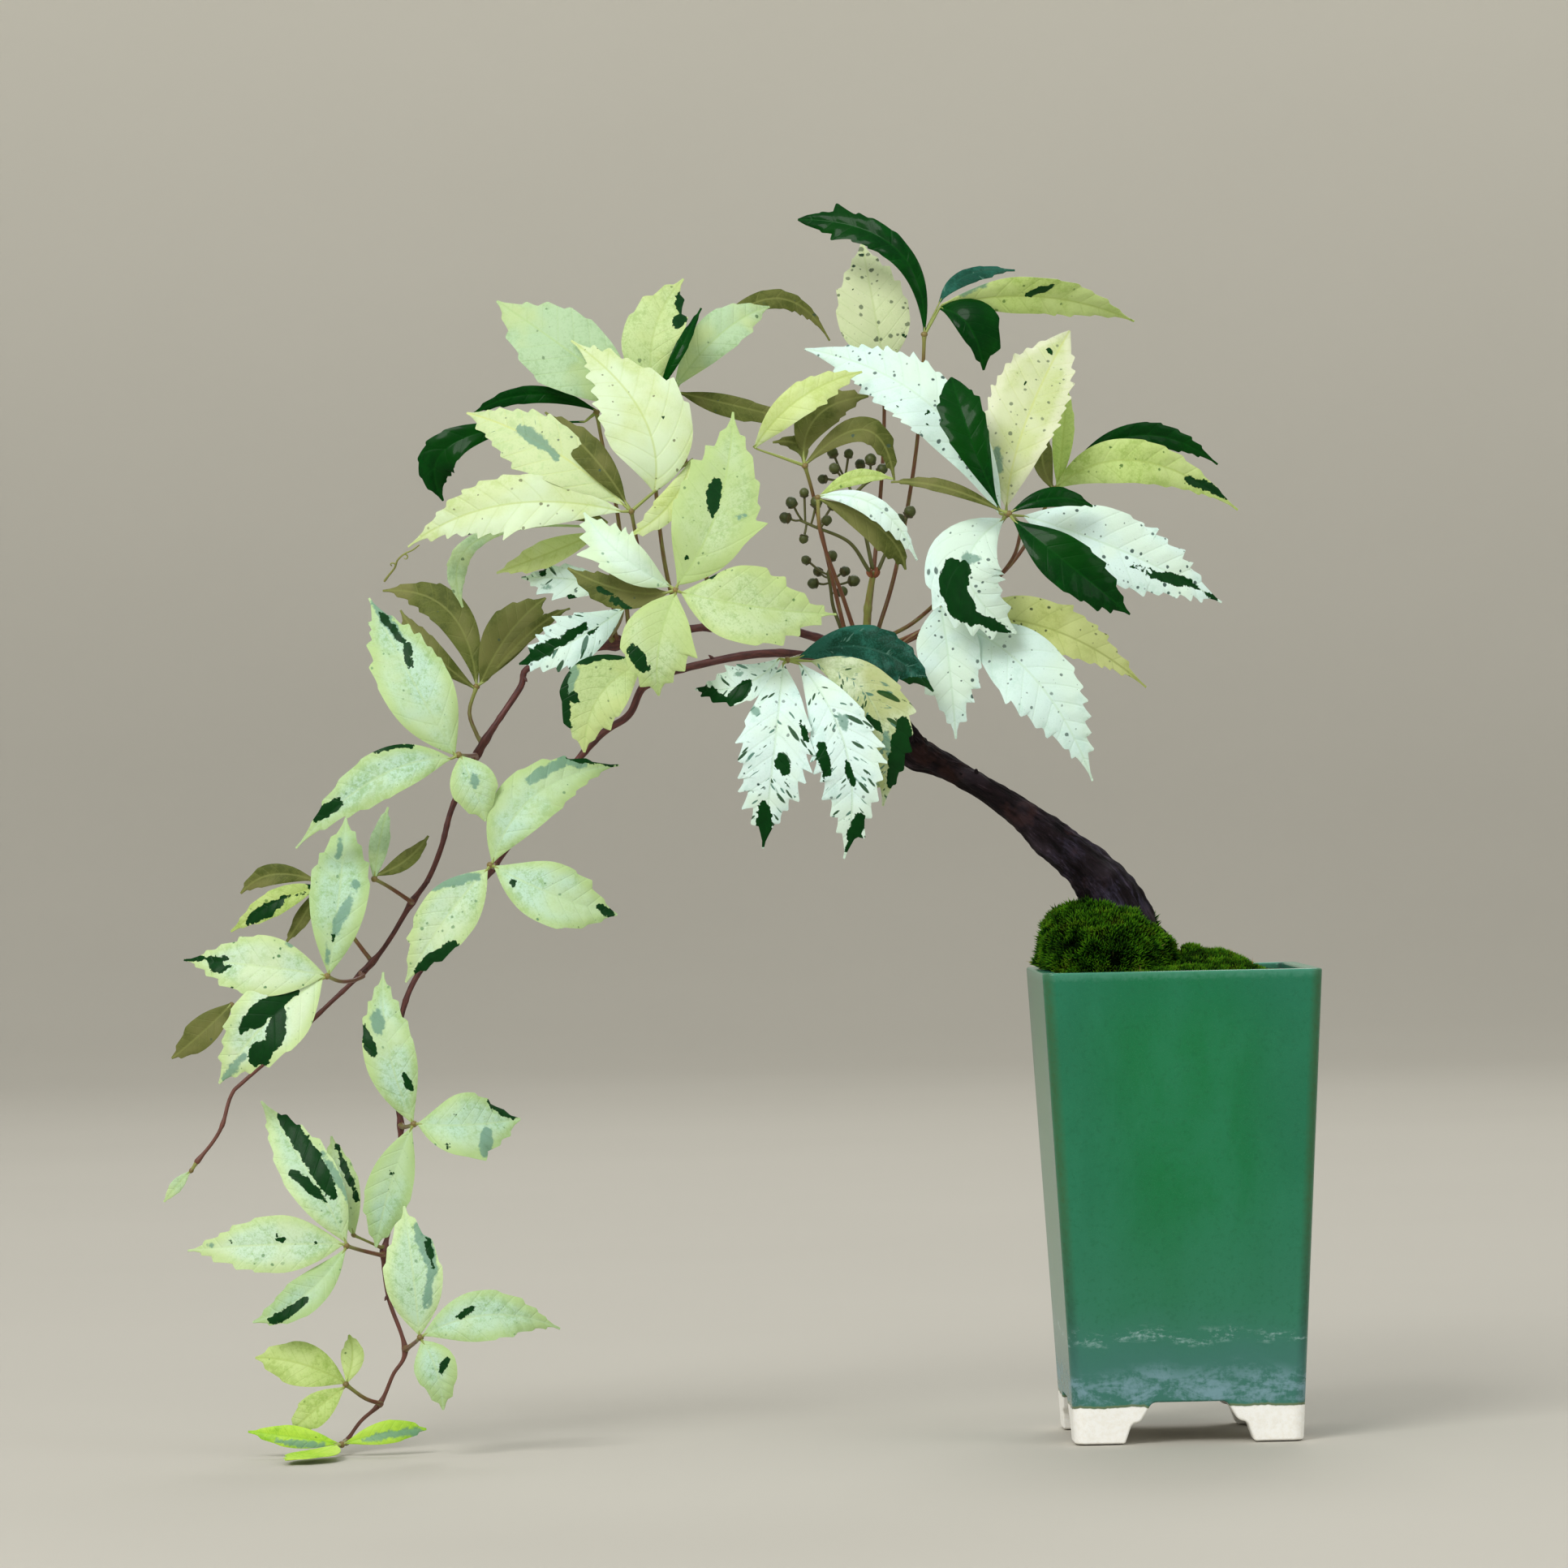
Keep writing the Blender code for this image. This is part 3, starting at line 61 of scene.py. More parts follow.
# ================================================================ design tables
POT_H = (_hi.z - _lo.z) / MM
POT_TOP = 65.3
POT_BOT = 53.6
POT_WALL = 3.6
POT_CORNER = 3.0
FOOT_H = 9.5
FOOT_T = 7.0
FLOOR_T = 4.5
DRAIN_R = 6.0
ARCH = [(15.1, -2.0), (15.1, 0.0), (13.4, 4.7), (11.5, 4.9), (8.7, 9.5)]
SOIL_TOP = 104.0
MOUND_C = (-16.6, 1.0, 109.0)
MOUND_R = (18.2, 27.6, 18.0)
CARPET_TOP = 111.2
STEM_R0 = 1.05
STEM_R1 = 0.42
BUD_R = 1.25

# x, y, z, radius
TRUNK = [
    (-7.5, 0.0, 76.0, 3.6),
    (-7.2, 0.0, 91.3, 6.0),
    (-7.0, 0.0, 102.8, 8.4),
    (-7.4, 0.0, 113.4, 9.6),
    (-9.2, 0.0, 120.2, 8.7),
    (-13.1, 0.0, 126.8, 7.4),
    (-18.2, 0.0, 132.4, 6.1),
    (-26.7, -0.3, 140.1, 4.7),
    (-36.6, -0.8, 148.2, 3.3),
    (-46.1, -1.3, 154.7, 2.7),
    (-55.2, -1.8, 159.8, 3.2),
    (-59.8, -2.0, 162.0, 4.0),
    (-63.5, -2.3, 166.7, 3.8),
    (-67.3, -2.6, 173.5, 3.6),
    (-70.4, -2.9, 180.0, 3.8),
    (-72.0, -3.0, 185.0, 3.3),
]


def blade(label, look, base, mid, tip, left, right, tm=0.5, p1=0.9, p2=1.15,
          roll=0.0, fold=0.14, n=None, notch=0):
    """One leaflet: its midrib through base, mid and tip, half widths left and
    right of it, where it is widest (tm) and how its outline closes (p1, p2)."""
    return dict(label=label, look=look, base=base, mid=mid, tip=tip, left=left,
                right=right, tm=tm, p1=p1, p2=p2, roll=roll, fold=fold, n=n,
                notch=notch)


# name, leaflets, petiole from the leaflets down to the wood
LEAVES = [
    ("leaf_top", [
        blade("T1", "dark", (-55.9, -4.0, 260.5), (-62.4, -4.1, 280.9), (-84.9, 4.7, 288.7), 4.1, 3.8, tm=0.7, p1=0.9, p2=0.55, notch=1),
        blade("T3", "dark", (-52.0, -2.4, 266.7), (-45.5, -7.2, 262.0), (-42.1, -4.7, 251.8), 7.5, 3.0, tm=0.5),
        blade("T4", "yellowgreen", (-51.6, -2.2, 267.4), (-27.7, -3.5, 268.8), (-5.4, 8.3, 263.5), 5.6, 4.9, p2=0.9, roll=50),
        blade("T5", "teal", (-52.0, -2.1, 268.2), (-45.4, 4.2, 274.7), (-33.4, 10.2, 276.2), 1.7, 2.5),
    ], [(-55.9, -4.0, 260.5), (-56.1, -3.0, 255.2), (-58.1, 4.0, 232.6), (-63.3, 3.0, 205.7), (-68.4, 0.0, 189.8)]),
    ("leaf_top_cream", [
        blade("T2", "cream", (-64.9, 8.0, 253.7), (-67.0, 8.0, 266.6), (-69.4, 16.9, 283.7), 9.3, 8.5, tm=0.42),
    ], [(-64.9, 8.0, 253.7), (-65.6, 9.0, 232.9), (-68.2, 6.0, 207.8), (-70.6, 2.0, 189.9)]),
    ("leaf_white_big", [
        blade("R1a", "white", (-39.4, -13.1, 217.6), (-55.8, -12.4, 243.8), (-83.8, 4.2, 258.0), 7.8, 7.8, tm=0.5, p2=1),
        blade("R1c", "cream", (-37.8, -12.5, 219.1), (-32.9, -10.5, 238.7), (-20.8, 7.6, 261.4), 10.1, 7.5, tm=0.62, p2=0.85),
        blade("R1f", "white", (-33.7, -12.8, 216.9), (-9.8, -12.9, 207.9), (13.0, -4.9, 196.0), 9.1, 9.1, tm=0.45),
        blade("R1g", "whitepatch", (-38.7, -13.4, 216.2), (-47.7, -20.0, 203.6), (-36.3, -16.5, 189.4), 8.2, 10.4, tm=0.45, p2=0.9),
    ], [(-37.9, -13.0, 217.3), (-45.3, -6.0, 206.7), (-57.6, 3.0, 194.1), (-67.2, 1.0, 188.8)]),
    ("leaf_dark_right", [
        blade("R1b", "dark", (-39.9, -21.9, 218.2), (-46.2, -24.3, 233.9), (-50.4, -17.0, 249.5), 5.4, 5.0, tm=0.68, p1=1.5, p2=0.65),
        blade("R1d", "dark", (-36.9, -21.8, 217.8), (-27.3, -22.2, 220.6), (-18.0, -18.2, 218.7), 2.8, 2.2),
        blade("R1e", "dark", (-36.6, -22.4, 215.5), (-23.0, -28.6, 203.7), (-10.1, -23.2, 193.2), 6.3, 6.3, tm=0.45),
        blade("R1h", "olive", (-39.5, -22.0, 217.8), (-52.5, -21.7, 223.5), (-64.9, -16.4, 225.3), 1.5, 1.9),
    ], [(-37.8, -22.0, 217.2), (-34.8, -15.0, 213.6), (-38.3, -3.0, 204.1), (-54.5, 0.0, 192.4), (-66.4, -3.0, 187.2)]),
    ("leaf_arching_right", [
        blade("R2a", "yellowgreen", (-25.1, 6.0, 224.0), (-5.3, 5.4, 230.2), (19.1, 15.7, 218.5), 5.3, 5.7, roll=12),
        blade("R2b", "dark", (-21.8, 7.2, 228.2), (-3.5, 12.6, 236.6), (15.0, 21.3, 229.7), 3.2, 3.4, roll=20),
        blade("R2c", "lightgreen", (-24.5, 6.1, 224.4), (-22.7, 8.6, 237.0), (-21.1, 17.3, 250.0), 2.6, 2.6),
        blade("R2d", "olive", (-25.6, 5.9, 224.0), (-27.6, 11.9, 231.4), (-26.0, 17.4, 240.0), 2.5, 2.5),
    ], [(-25.1, 6.0, 224.0), (-35.0, 6.0, 207.2), (-51.8, 4.0, 193.0), (-65.4, 0.0, 186.5)]),
    ("leaf_white_low", [
        blade("R3a", "white", (-53.5, -5.4, 196.7), (-52.0, -12.0, 183.2), (-50.6, -10.4, 165.0), 8.2, 7.8, tm=0.42),
        blade("R3b", "white", (-47.9, -6.6, 191.4), (-31.0, -13.6, 177.6), (-18.6, -9.6, 154.5), 9.3, 8.6, tm=0.48),
        blade("R3c", "creamolive", (-49.4, -6.1, 193.3), (-26.5, -5.9, 189.9), (-4.7, 1.4, 176.4), 7.1, 5.6),
    ], [(-50.9, -6.0, 194.1), (-58.9, -3.0, 190.1), (-65.1, -2.0, 185.7)]),
    ("leaf_patched", [
        blade("C1", "patch", (-92.3, -29.9, 184.2), (-101.0, -33.3, 178.1), (-111.8, -28.3, 177.6), 4.1, 5.2),
        blade("C2", "patch", (-91.4, -30.2, 183.0), (-94.1, -39.1, 162.9), (-97.0, -34.0, 140.4), 8.3, 8.1, tm=0.54),
        blade("C3", "patch", (-87.6, -30.2, 182.9), (-77.2, -37.7, 161.6), (-78.2, -32.2, 137.6), 7.7, 7.7, tm=0.54),
        blade("C4", "patchdark", (-84.8, -30.1, 183.5), (-70.4, -32.2, 172.4), (-68.8, -28.6, 149.6), 7.7, 6.6),
        blade("C5", "teal", (-87.6, -29.9, 184.5), (-70.5, -26.3, 186.1), (-56.2, -20.8, 176.1), 5.6, 6.3),
    ], [(-90.4, -30.0, 183.9), (-84.4, -18.0, 185.4), (-76.3, -6.0, 185.4)]),
    ("leaf_mottled_big", [
        blade("A1", "mottle", (-115.6, -36.7, 201.7), (-106.1, -36.0, 218.9), (-101.7, -19.9, 242.1), 10.3, 10.3, tm=0.5),
        blade("A2", "mottle", (-114.7, -37.2, 199.8), (-97.1, -41.4, 196.0), (-79.0, -33.2, 194.2), 9.9, 9.9, tm=0.48, p2=1.3),
        blade("A3", "mottle", (-116.2, -37.2, 199.5), (-120.3, -42.5, 187.6), (-120.5, -39.8, 176.1), 8.1, 9.2),
        blade("A4", "white", (-117.5, -36.7, 201.4), (-128.6, -41.2, 208.6), (-136.9, -32.3, 218.8), 6.2, 5.1),
        blade("A5", "olive", (-118.1, -37.1, 199.9), (-128.8, -35.1, 200.7), (-140.9, -28.0, 206.2), 4.8, 3.3),
    ], [(-116.2, -37.0, 200.4), (-117.7, -22.0, 190.8), (-121.1, -5.0, 182.1)]),
    ("leaf_cream_left", [
        blade("B1", "cream", (-120.5, -23.4, 223.8), (-123.2, -23.1, 242.3), (-139.1, -11.2, 260.0), 10.4, 10.8, tm=0.45),
        blade("B2", "cream", (-128.3, -23.9, 219.3), (-155.7, -25.6, 221.3), (-178.1, -16.8, 212.2), 7.4, 7.0),
        blade("B3", "creamblue", (-127.7, -23.6, 220.9), (-145.6, -21.7, 234.9), (-163.9, -11.1, 243.5), 8.2, 6.7),
        blade("B4", "olive", (-127.3, -23.5, 221.6), (-135.1, -23.3, 232.7), (-145.5, -15.5, 243.1), 3.7, 3.7),
        blade("B5", "yellow", (-111.6, -22.3, 231.2), (-117.0, -25.2, 220.6), (-126.4, -21.8, 213.7), 3.3, 3.3),
    ], [(-125.9, -24.0, 219.3), (-123.8, -12.0, 206.4), (-122.9, 3.0, 192.2)]),
    ("leaf_dark_left", [
        blade("B6a", "dark", (-133.5, -3.9, 243.9), (-148.7, -5.2, 247.9), (-163.2, -0.2, 243.5), 2.2, 2.2, roll=20),
        blade("B6b", "dark", (-136.4, -4.2, 241.3), (-166.6, -6.7, 236.9), (-170.0, -2.2, 223.4), 4.5, 4.5, tm=0.68, p1=2),
    ], [(-133.5, -4.0, 243.5), (-131.8, -1.0, 233.7), (-128.8, 2.0, 218.4), (-126.8, 4.0, 191.9)]),
    ("leaf_yellow_mid", [
        blade("B8", "yellow", (-133.5, -13.2, 214.9), (-145.5, -15.8, 210.1), (-157.6, -11.2, 205.9), 3.2, 3.4),
        blade("B7", "olive", (-131.5, -12.8, 217.2), (-140.6, -12.4, 220.4), (-150.1, -8.1, 221.9), 2.6, 2.2),
        blade("B9", "pale", (-133.1, -13.0, 216.0), (-161.7, -11.3, 213.8), (-165.8, -7.2, 198.1), 2.4, 2.4, tm=0.75, p1=2.2),
    ], [(-132.7, -13.0, 216.0), (-130.9, -4.0, 206.8), (-130.1, 4.0, 191.2)]),
    ("leaf_pale_top", [
        blade("TL1", "pale", (-124.5, -9.1, 245.4), (-139.9, -9.2, 257.8), (-156.5, 2.8, 270.5), 10.1, 9.3),
        blade("TL2", "palepatch", (-119.9, -8.8, 248.0), (-119.6, -8.1, 262.1), (-112.4, -0.0, 274.8), 7.5, 8.2, tm=0.4, p2=1.3),
        blade("TL3", "dark", (-118.7, -8.8, 248.0), (-113.6, -10.9, 257.7), (-108.4, -4.5, 267.5), 1.5, 1.5),
    ], [(-120.1, -9.0, 246.8), (-119.9, -4.0, 225.7), (-117.9, 0.0, 206.6), (-114.7, 3.0, 194.0)]),
    ("leaf_pale_back", [
        blade("TL4", "pale", (-114.9, 4.2, 249.4), (-103.6, 3.0, 262.0), (-91.9, 11.1, 268.6), 5.7, 4.9),
        blade("TL5", "olive", (-111.9, 5.6, 254.8), (-92.2, 12.0, 270.6), (-77.5, 17.6, 260.7), 2.3, 2.7),
        blade("TL6", "olive", (-113.6, 4.1, 248.2), (-100.8, 3.3, 244.8), (-84.4, 9.5, 241.0), 2.4, 3.4),
    ], [(-114.8, 4.0, 248.2), (-111.7, 5.0, 225.9), (-108.6, 5.0, 206.6), (-106.2, 4.0, 194.6)]),
    ("leaf_folded", [
        blade("S1", "yellow", (-96.6, -11.7, 234.1), (-86.1, -17.7, 245.0), (-71.1, -11.4, 251.5), 3.7, 4.5),
        blade("S2", "olive", (-85.2, -11.6, 232.0), (-81.1, -9.2, 241.9), (-69.4, -4.9, 246.1), 4.9, 4.5),
        blade("S3", "olive", (-84.8, -11.9, 230.0), (-70.6, -11.5, 237.8), (-63.9, -10.7, 225.9), 3.4, 3.4),
        blade("S4", "olive", (-85.2, -11.9, 230.4), (-86.4, -10.8, 234.7), (-92.3, -9.8, 235.4), 1.9, 1.9),
    ], [(-84.9, -12.0, 229.7), (-83.0, -9.0, 222.9), (-79.7, -5.0, 207.7), (-75.8, -3.0, 190.1)]),
    ("leaf_crescent", [
        blade("M1", "white", (-82.2, -19.0, 222.1), (-68.8, -23.7, 219.4), (-59.4, -20.3, 206.8), 2.2, 3.3),
        blade("M2", "olive", (-81.4, -19.1, 221.3), (-67.7, -19.0, 214.2), (-61.9, -15.7, 204.8), 2.6, 4.5),
        blade("M3", "yellowgreen", (-81.4, -18.9, 222.5), (-73.1, -18.1, 226.5), (-64.5, -15.2, 226.1), 1.9, 1.9),
    ], [(-82.2, -19.0, 221.9), (-81.6, -18.0, 213.0), (-76.2, -9.0, 198.0), (-73.5, -5.0, 189.8)]),
    ("leaf_olive_left", [
        blade("L1", "olive", (-163.2, 13.1, 180.3), (-169.7, 16.9, 198.0), (-185.3, 25.1, 203.2), 4.6, 4.6),
        blade("L2", "olive", (-163.6, 13.0, 179.3), (-174.4, 13.0, 188.8), (-181.0, 19.5, 198.3), 2.8, 2.8),
        blade("L3", "olive", (-162.2, 13.0, 180.4), (-155.1, 11.0, 192.2), (-146.4, 15.5, 200.5), 5.7, 5.3),
        blade("L4", "olive", (-160.7, 12.8, 181.2), (-149.8, 7.4, 192.4), (-140.7, 11.6, 197.8), 1.7, 1.7),
    ], [(-163.2, 13.0, 179.7), (-165.1, 12.0, 172.2), (-162.5, 9.0, 166.9)]),
    ("leaf_speckled", [
        blade("K1", "white", (-129.6, -13.2, 201.9), (-140.9, -14.2, 204.0), (-151.8, -9.4, 204.7), 4.8, 3.4),
        blade("K2", "patch", (-128.1, -14.3, 196.9), (-140.2, -19.6, 189.4), (-152.7, -14.8, 184.4), 5.6, 6.3),
    ], [(-128.1, -14.0, 198.4), (-128.9, -6.0, 194.2), (-131.2, 3.0, 190.8)]),
    ("leaf_teal", [
        blade("K3", "palepatch", (-123.9, -22.0, 183.8), (-134.3, -26.1, 176.3), (-137.9, -24.6, 163.4), 7.0, 9.3, tm=0.45),
    ], [(-123.9, -22.0, 183.8), (-122.9, -12.0, 182.0), (-122.3, -5.0, 181.0)]),
    ("leaf_mottled_left", [
        blade("N1", "mottle", (-168.3, -14.0, 163.5), (-177.8, -13.3, 181.1), (-187.9, 0.3, 200.8), 8.6, 8.6, tm=0.5),
        blade("N2", "mottle", (-169.2, -14.2, 162.5), (-186.8, -19.0, 158.1), (-205.7, -14.3, 142.3), 5.9, 5.9),
        blade("N3", "mottle", (-166.8, -14.1, 163.0), (-164.0, -17.3, 156.2), (-161.3, -16.0, 147.8), 5.6, 5.6),
    ], [(-167.3, -14.0, 163.4), (-165.0, -4.0, 163.2), (-163.6, 3.0, 163.4)]),
    ("leaf_mottled_mid", [
        blade("P1", "mottle", (-159.8, -15.8, 138.2), (-149.1, -15.2, 154.0), (-129.9, -5.9, 160.3), 7.5, 6.7),
        blade("P2", "mottle", (-159.3, -16.1, 137.1), (-145.7, -20.5, 130.4), (-131.0, -15.4, 125.3), 7.8, 7.8),
        blade("P3", "mottlepatch", (-161.2, -16.3, 136.4), (-171.2, -22.0, 124.9), (-180.6, -18.9, 110.6), 7.0, 7.0),
    ], [(-160.4, -16.0, 137.5), (-160.1, -8.0, 137.0), (-159.6, -2.0, 136.8)]),
    ("leaf_small_olive", [
        blade("Q1", "pale", (-187.8, -6.0, 134.7), (-186.5, -5.9, 142.9), (-184.4, -1.0, 151.4), 2.4, 2.4),
        blade("Q2", "olive", (-187.1, -5.8, 135.6), (-180.3, -6.5, 138.9), (-175.0, -2.5, 144.5), 2.1, 2.1),
    ], [(-187.8, -6.0, 134.7), (-183.5, 0.0, 132.0), (-180.0, 3.0, 129.4)]),
    ("leaf_mottled_far", [
        blade("U1", "mottle", (-198.7, -11.9, 112.7), (-195.9, -11.2, 131.3), (-194.4, 0.2, 149.1), 7.1, 7.1),
        blade("U2", "mottlepatch", (-199.7, -11.9, 112.4), (-215.5, -13.5, 115.0), (-232.8, -5.4, 116.5), 7.5, 7.5),
        blade("U3", "mottlepatch2", (-200.3, -12.1, 111.6), (-213.7, -16.7, 101.4), (-224.8, -12.0, 87.6), 9.3, 8.9),
    ], [(-199.1, -12.0, 112.2), (-195.2, -4.0, 110.5), (-191.2, 3.0, 111.6)]),
    ("leaf_olive_back", [
        blade("V1", "olive", (-202.4, 11.4, 134.4), (-212.6, 12.0, 135.9), (-220.2, 16.4, 131.6), 2.7, 2.7),
        blade("V2", "yellowgreen", (-201.6, 11.1, 133.0), (-211.6, 8.7, 129.4), (-222.6, 14.5, 122.6), 3.2, 3.2),
        blade("V3", "olive", (-201.6, 11.0, 132.2), (-205.2, 10.8, 126.1), (-209.7, 13.8, 119.6), 1.9, 1.9),
    ], [(-201.2, 11.0, 133.0), (-194.1, 9.0, 121.7), (-189.2, 8.0, 115.1)]),
    ("leaf_olive_far", [
        blade("W1", "olive", (-222.8, 16.0, 105.5), (-229.8, 15.1, 98.8), (-237.5, 19.6, 92.6), 3.8, 3.8),
    ], [(-222.8, 16.0, 105.2), (-218.1, 13.0, 98.0), (-213.8, 8.0, 93.3)]),
    ("leaf_cascade_a", [
        blade("X1", "mottle", (-179.8, -12.0, 77.6), (-185.2, -13.3, 95.8), (-186.1, -6.7, 112.7), 6.3, 6.3),
        blade("X2", "mottle", (-178.5, -12.0, 77.2), (-167.1, -14.2, 76.8), (-154.6, -7.2, 77.6), 7.8, 8.2),
        blade("X3", "mottle", (-180.1, -12.1, 76.2), (-185.5, -12.1, 62.1), (-189.0, -9.4, 48.3), 5.6, 5.6),
    ], [(-179.5, -12.0, 77.2), (-180.8, -6.0, 76.4), (-182.2, -1.0, 76.0)]),
    ("leaf_cascade_b", [
        blade("Y1", "stripe", (-196.0, -10.8, 49.9), (-203.8, -11.1, 65.6), (-215.6, 0.3, 82.7), 6.5, 6.5),
        blade("Y3", "mottlepatch", (-196.7, -10.9, 49.3), (-215.0, -14.1, 49.7), (-233.1, -6.8, 48.3), 7.1, 7.1),
        blade("Y4", "mottle", (-196.2, -11.2, 48.0), (-205.9, -15.7, 37.7), (-218.0, -11.2, 31.5), 4.5, 4.5),
    ], [(-195.8, -11.0, 48.9), (-191.7, -4.0, 47.1), (-188.2, -1.0, 46.0)]),
    ("leaf_cascade_back", [
        blade("Y2", "mottlepatch", (-194.4, 0.0, 50.7), (-196.9, 0.2, 62.2), (-199.5, 7.0, 73.8), 4.1, 4.1),
    ], [(-194.4, 0.0, 50.7), (-190.6, 0.0, 48.9), (-188.0, 1.0, 47.6)]),
    ("leaf_cascade_c", [
        blade("Z1", "stripe", (-178.9, -21.9, 28.5), (-180.1, -22.9, 43.1), (-182.0, -17.7, 58.3), 7.0, 7.0),
        blade("Z2", "mottle", (-177.9, -21.9, 28.4), (-162.1, -24.2, 33.0), (-146.2, -15.6, 28.8), 6.1, 6.3),
        blade("Z3", "mottle", (-178.3, -22.1, 27.1), (-175.0, -24.4, 20.1), (-173.7, -22.7, 11.0), 5.2, 5.2),
    ], [(-178.7, -22.0, 27.9), (-180.5, -9.0, 25.6), (-182.2, -2.0, 24.0)]),
    ("leaf_yellow_low", [
        blade("AA1", "yellowgreen", (-196.9, -7.9, 16.6), (-207.2, -8.9, 21.4), (-217.9, -4.1, 22.6), 5.6, 5.4),
        blade("AA2", "yellowgreen", (-196.5, -7.9, 16.7), (-195.1, -5.7, 22.5), (-195.9, -2.5, 27.4), 2.8, 2.8),
        blade("AA3", "yellowgreen", (-197.3, -8.1, 15.4), (-204.0, -10.6, 10.5), (-209.8, -8.2, 5.4), 3.9, 3.9),
    ], [(-196.7, -8.0, 16.2), (-192.7, -5.0, 12.8), (-189.0, -2.0, 11.1)]),
    ("leaf_lime_low", [
        blade("BB1", "lime", (-198.7, -12.0, 2.7), (-209.0, -11.9, 4.4), (-219.7, -9.0, 5.7), 2.6, 2.8),
        blade("BB2", "lime", (-199.1, -13.0, 2.4), (-204.2, -25.0, 1.3), (-210.1, -33.0, 1.1), 5.9, 5.9, fold=0.04, n=(0, -0.02, 1)),
        blade("BB3", "lime", (-196.8, -12.0, 2.8), (-186.9, -12.7, 5.1), (-178.0, -10.1, 5.5), 3.0, 2.8),
    ], [(-197.8, -12.0, 2.5), (-197.5, -9.0, 2.4), (-197.2, -6.0, 2.5)]),
    ("leaf_tip_bud", [
        blade("TB", "pale", (-233.0, 5.0, 66.2), (-236.1, 5.0, 63.0), (-239.2, 5.0, 59.2), 1.5, 1.5),
    ], [(-232.6, 5.0, 66.5), (-232.2, 5.0, 67.1)]),
]
UPPER_STEM = [(-76.8, 0.0, 187.9), (-95.1, 2.0, 192.5), (-114.3, 4.0, 192.1), (-133.6, 6.0, 188.6), (-150.0, 8.0, 184.0), (-153.0, 8.0, 178.7), (-162.1, 7.0, 165.7), (-168.9, 7.0, 152.0), (-171.9, 6.0, 142.5), (-175.5, 6.0, 134.5), (-179.7, 6.0, 128.6), (-188.0, 6.0, 115.5), (-202.2, 6.0, 102.7), (-219.2, 6.0, 87.9), (-222.7, 6.0, 84.1), (-224.9, 5.0, 77.3), (-227.3, 5.0, 73.2), (-231.4, 5.0, 68.4)]
LOWER_STEM = [(-77.1, -4.0, 183.8), (-91.6, -4.0, 185.8), (-106.9, -4.0, 184.3), (-122.3, -3.0, 180.2), (-127.2, -2.0, 172.3), (-134.8, -1.0, 166.7), (-149.6, 0.0, 149.8), (-159.7, 1.0, 136.9), (-171.3, 2.0, 121.4), (-180.5, 2.0, 107.4), (-184.2, 2.0, 87.2), (-183.1, 2.0, 76.2), (-184.2, 2.0, 64.2), (-185.2, 2.0, 54.8), (-187.3, 2.0, 45.8), (-186.7, 1.0, 35.5), (-182.9, 0.0, 23.3), (-185.7, 0.0, 17.4), (-188.7, 0.0, 11.0), (-193.5, -2.0, 7.0), (-197.1, -5.0, 2.6)]

# flower buds: branch paths and bud centres
BUDS = [
    ("flower_buds_top", [
        [(-69.3, -6.4, 205.7), (-71.2, -6.0, 215.2), (-73.9, -6.0, 223.6), (-75.5, -6.0, 227.1)],
        [(-73.5, -6.0, 222.7), (-70.6, -7.0, 225.4), (-68.4, -8.0, 226.5)],
    ], [
        ((-78.1, -6.0, 232.9), (-75.5, -6.0, 227.1)),
        ((-74.4, -8.0, 232.5), (-75.4, -6.0, 226.9)),
        ((-71.6, -4.0, 230.2), (-71.2, -6.8, 225.1)),
        ((-69.3, -9.0, 231.0), (-69.5, -7.5, 226.0)),
        ((-66.6, -8.0, 228.7), (-68.4, -8.0, 226.5)),
        ((-77.9, -9.0, 229.1), (-75.4, -6.0, 226.7)),
        ((-80.5, -5.0, 226.8), (-75.4, -6.0, 226.7)),
    ]),
    ("flower_buds_left", [
        [(-70.3, -8.4, 205.1), (-74.9, -12.0, 211.6), (-82.9, -13.0, 215.3), (-86.3, -13.0, 216.9)],
    ], [
        ((-85.2, -13.0, 223.3), (-85.1, -13.0, 216.5)),
        ((-88.3, -15.0, 221.0), (-85.7, -13.0, 216.7)),
        ((-78.6, -12.0, 220.2), (-82.5, -13.0, 215.1)),
        ((-89.7, -12.0, 217.6), (-86.3, -13.0, 216.9)),
        ((-80.1, -15.0, 216.7), (-82.1, -13.0, 214.9)),
        ((-85.6, -14.0, 212.5), (-84.8, -13.0, 216.1)),
        ((-82.4, -14.0, 221.0), (-83.8, -13.0, 215.7)),
    ]),
    ("flower_buds_low", [
        [(-76.7, 1.0, 191.7), (-78.4, 1.0, 196.7), (-79.0, 1.0, 201.3), (-79.6, 1.0, 204.8)],
    ], [
        ((-78.5, 1.0, 208.8), (-79.6, 1.0, 204.8)),
        ((-84.6, 2.0, 208.0), (-79.6, 1.0, 204.4)),
        ((-75.4, 3.0, 205.2), (-79.2, 1.0, 203.3)),
        ((-73.5, 0.0, 202.8), (-78.8, 1.0, 202.1)),
        ((-83.1, 0.0, 202.4), (-79.2, 1.0, 202.5)),
        ((-76.3, -1.0, 200.3), (-78.7, 1.0, 200.2)),
        ((-81.8, 4.0, 205.3), (-79.4, 1.0, 203.7)),
    ]),
    ("flower_buds_right", [
        [(-67.7, -6.0, 205.5), (-65.5, -5.0, 210.1), (-62.9, -4.0, 213.9)],
    ], [
        ((-60.1, -4.0, 218.7), (-62.9, -4.0, 213.9)),
        ((-62.7, -6.0, 216.9), (-63.1, -4.0, 213.5)),
    ]),
]
CROWN_SHOOT = [(-71.0, -3.0, 189.4), (-70.3, -4.5, 197.6), (-69.1, -6.0, 204.2)]
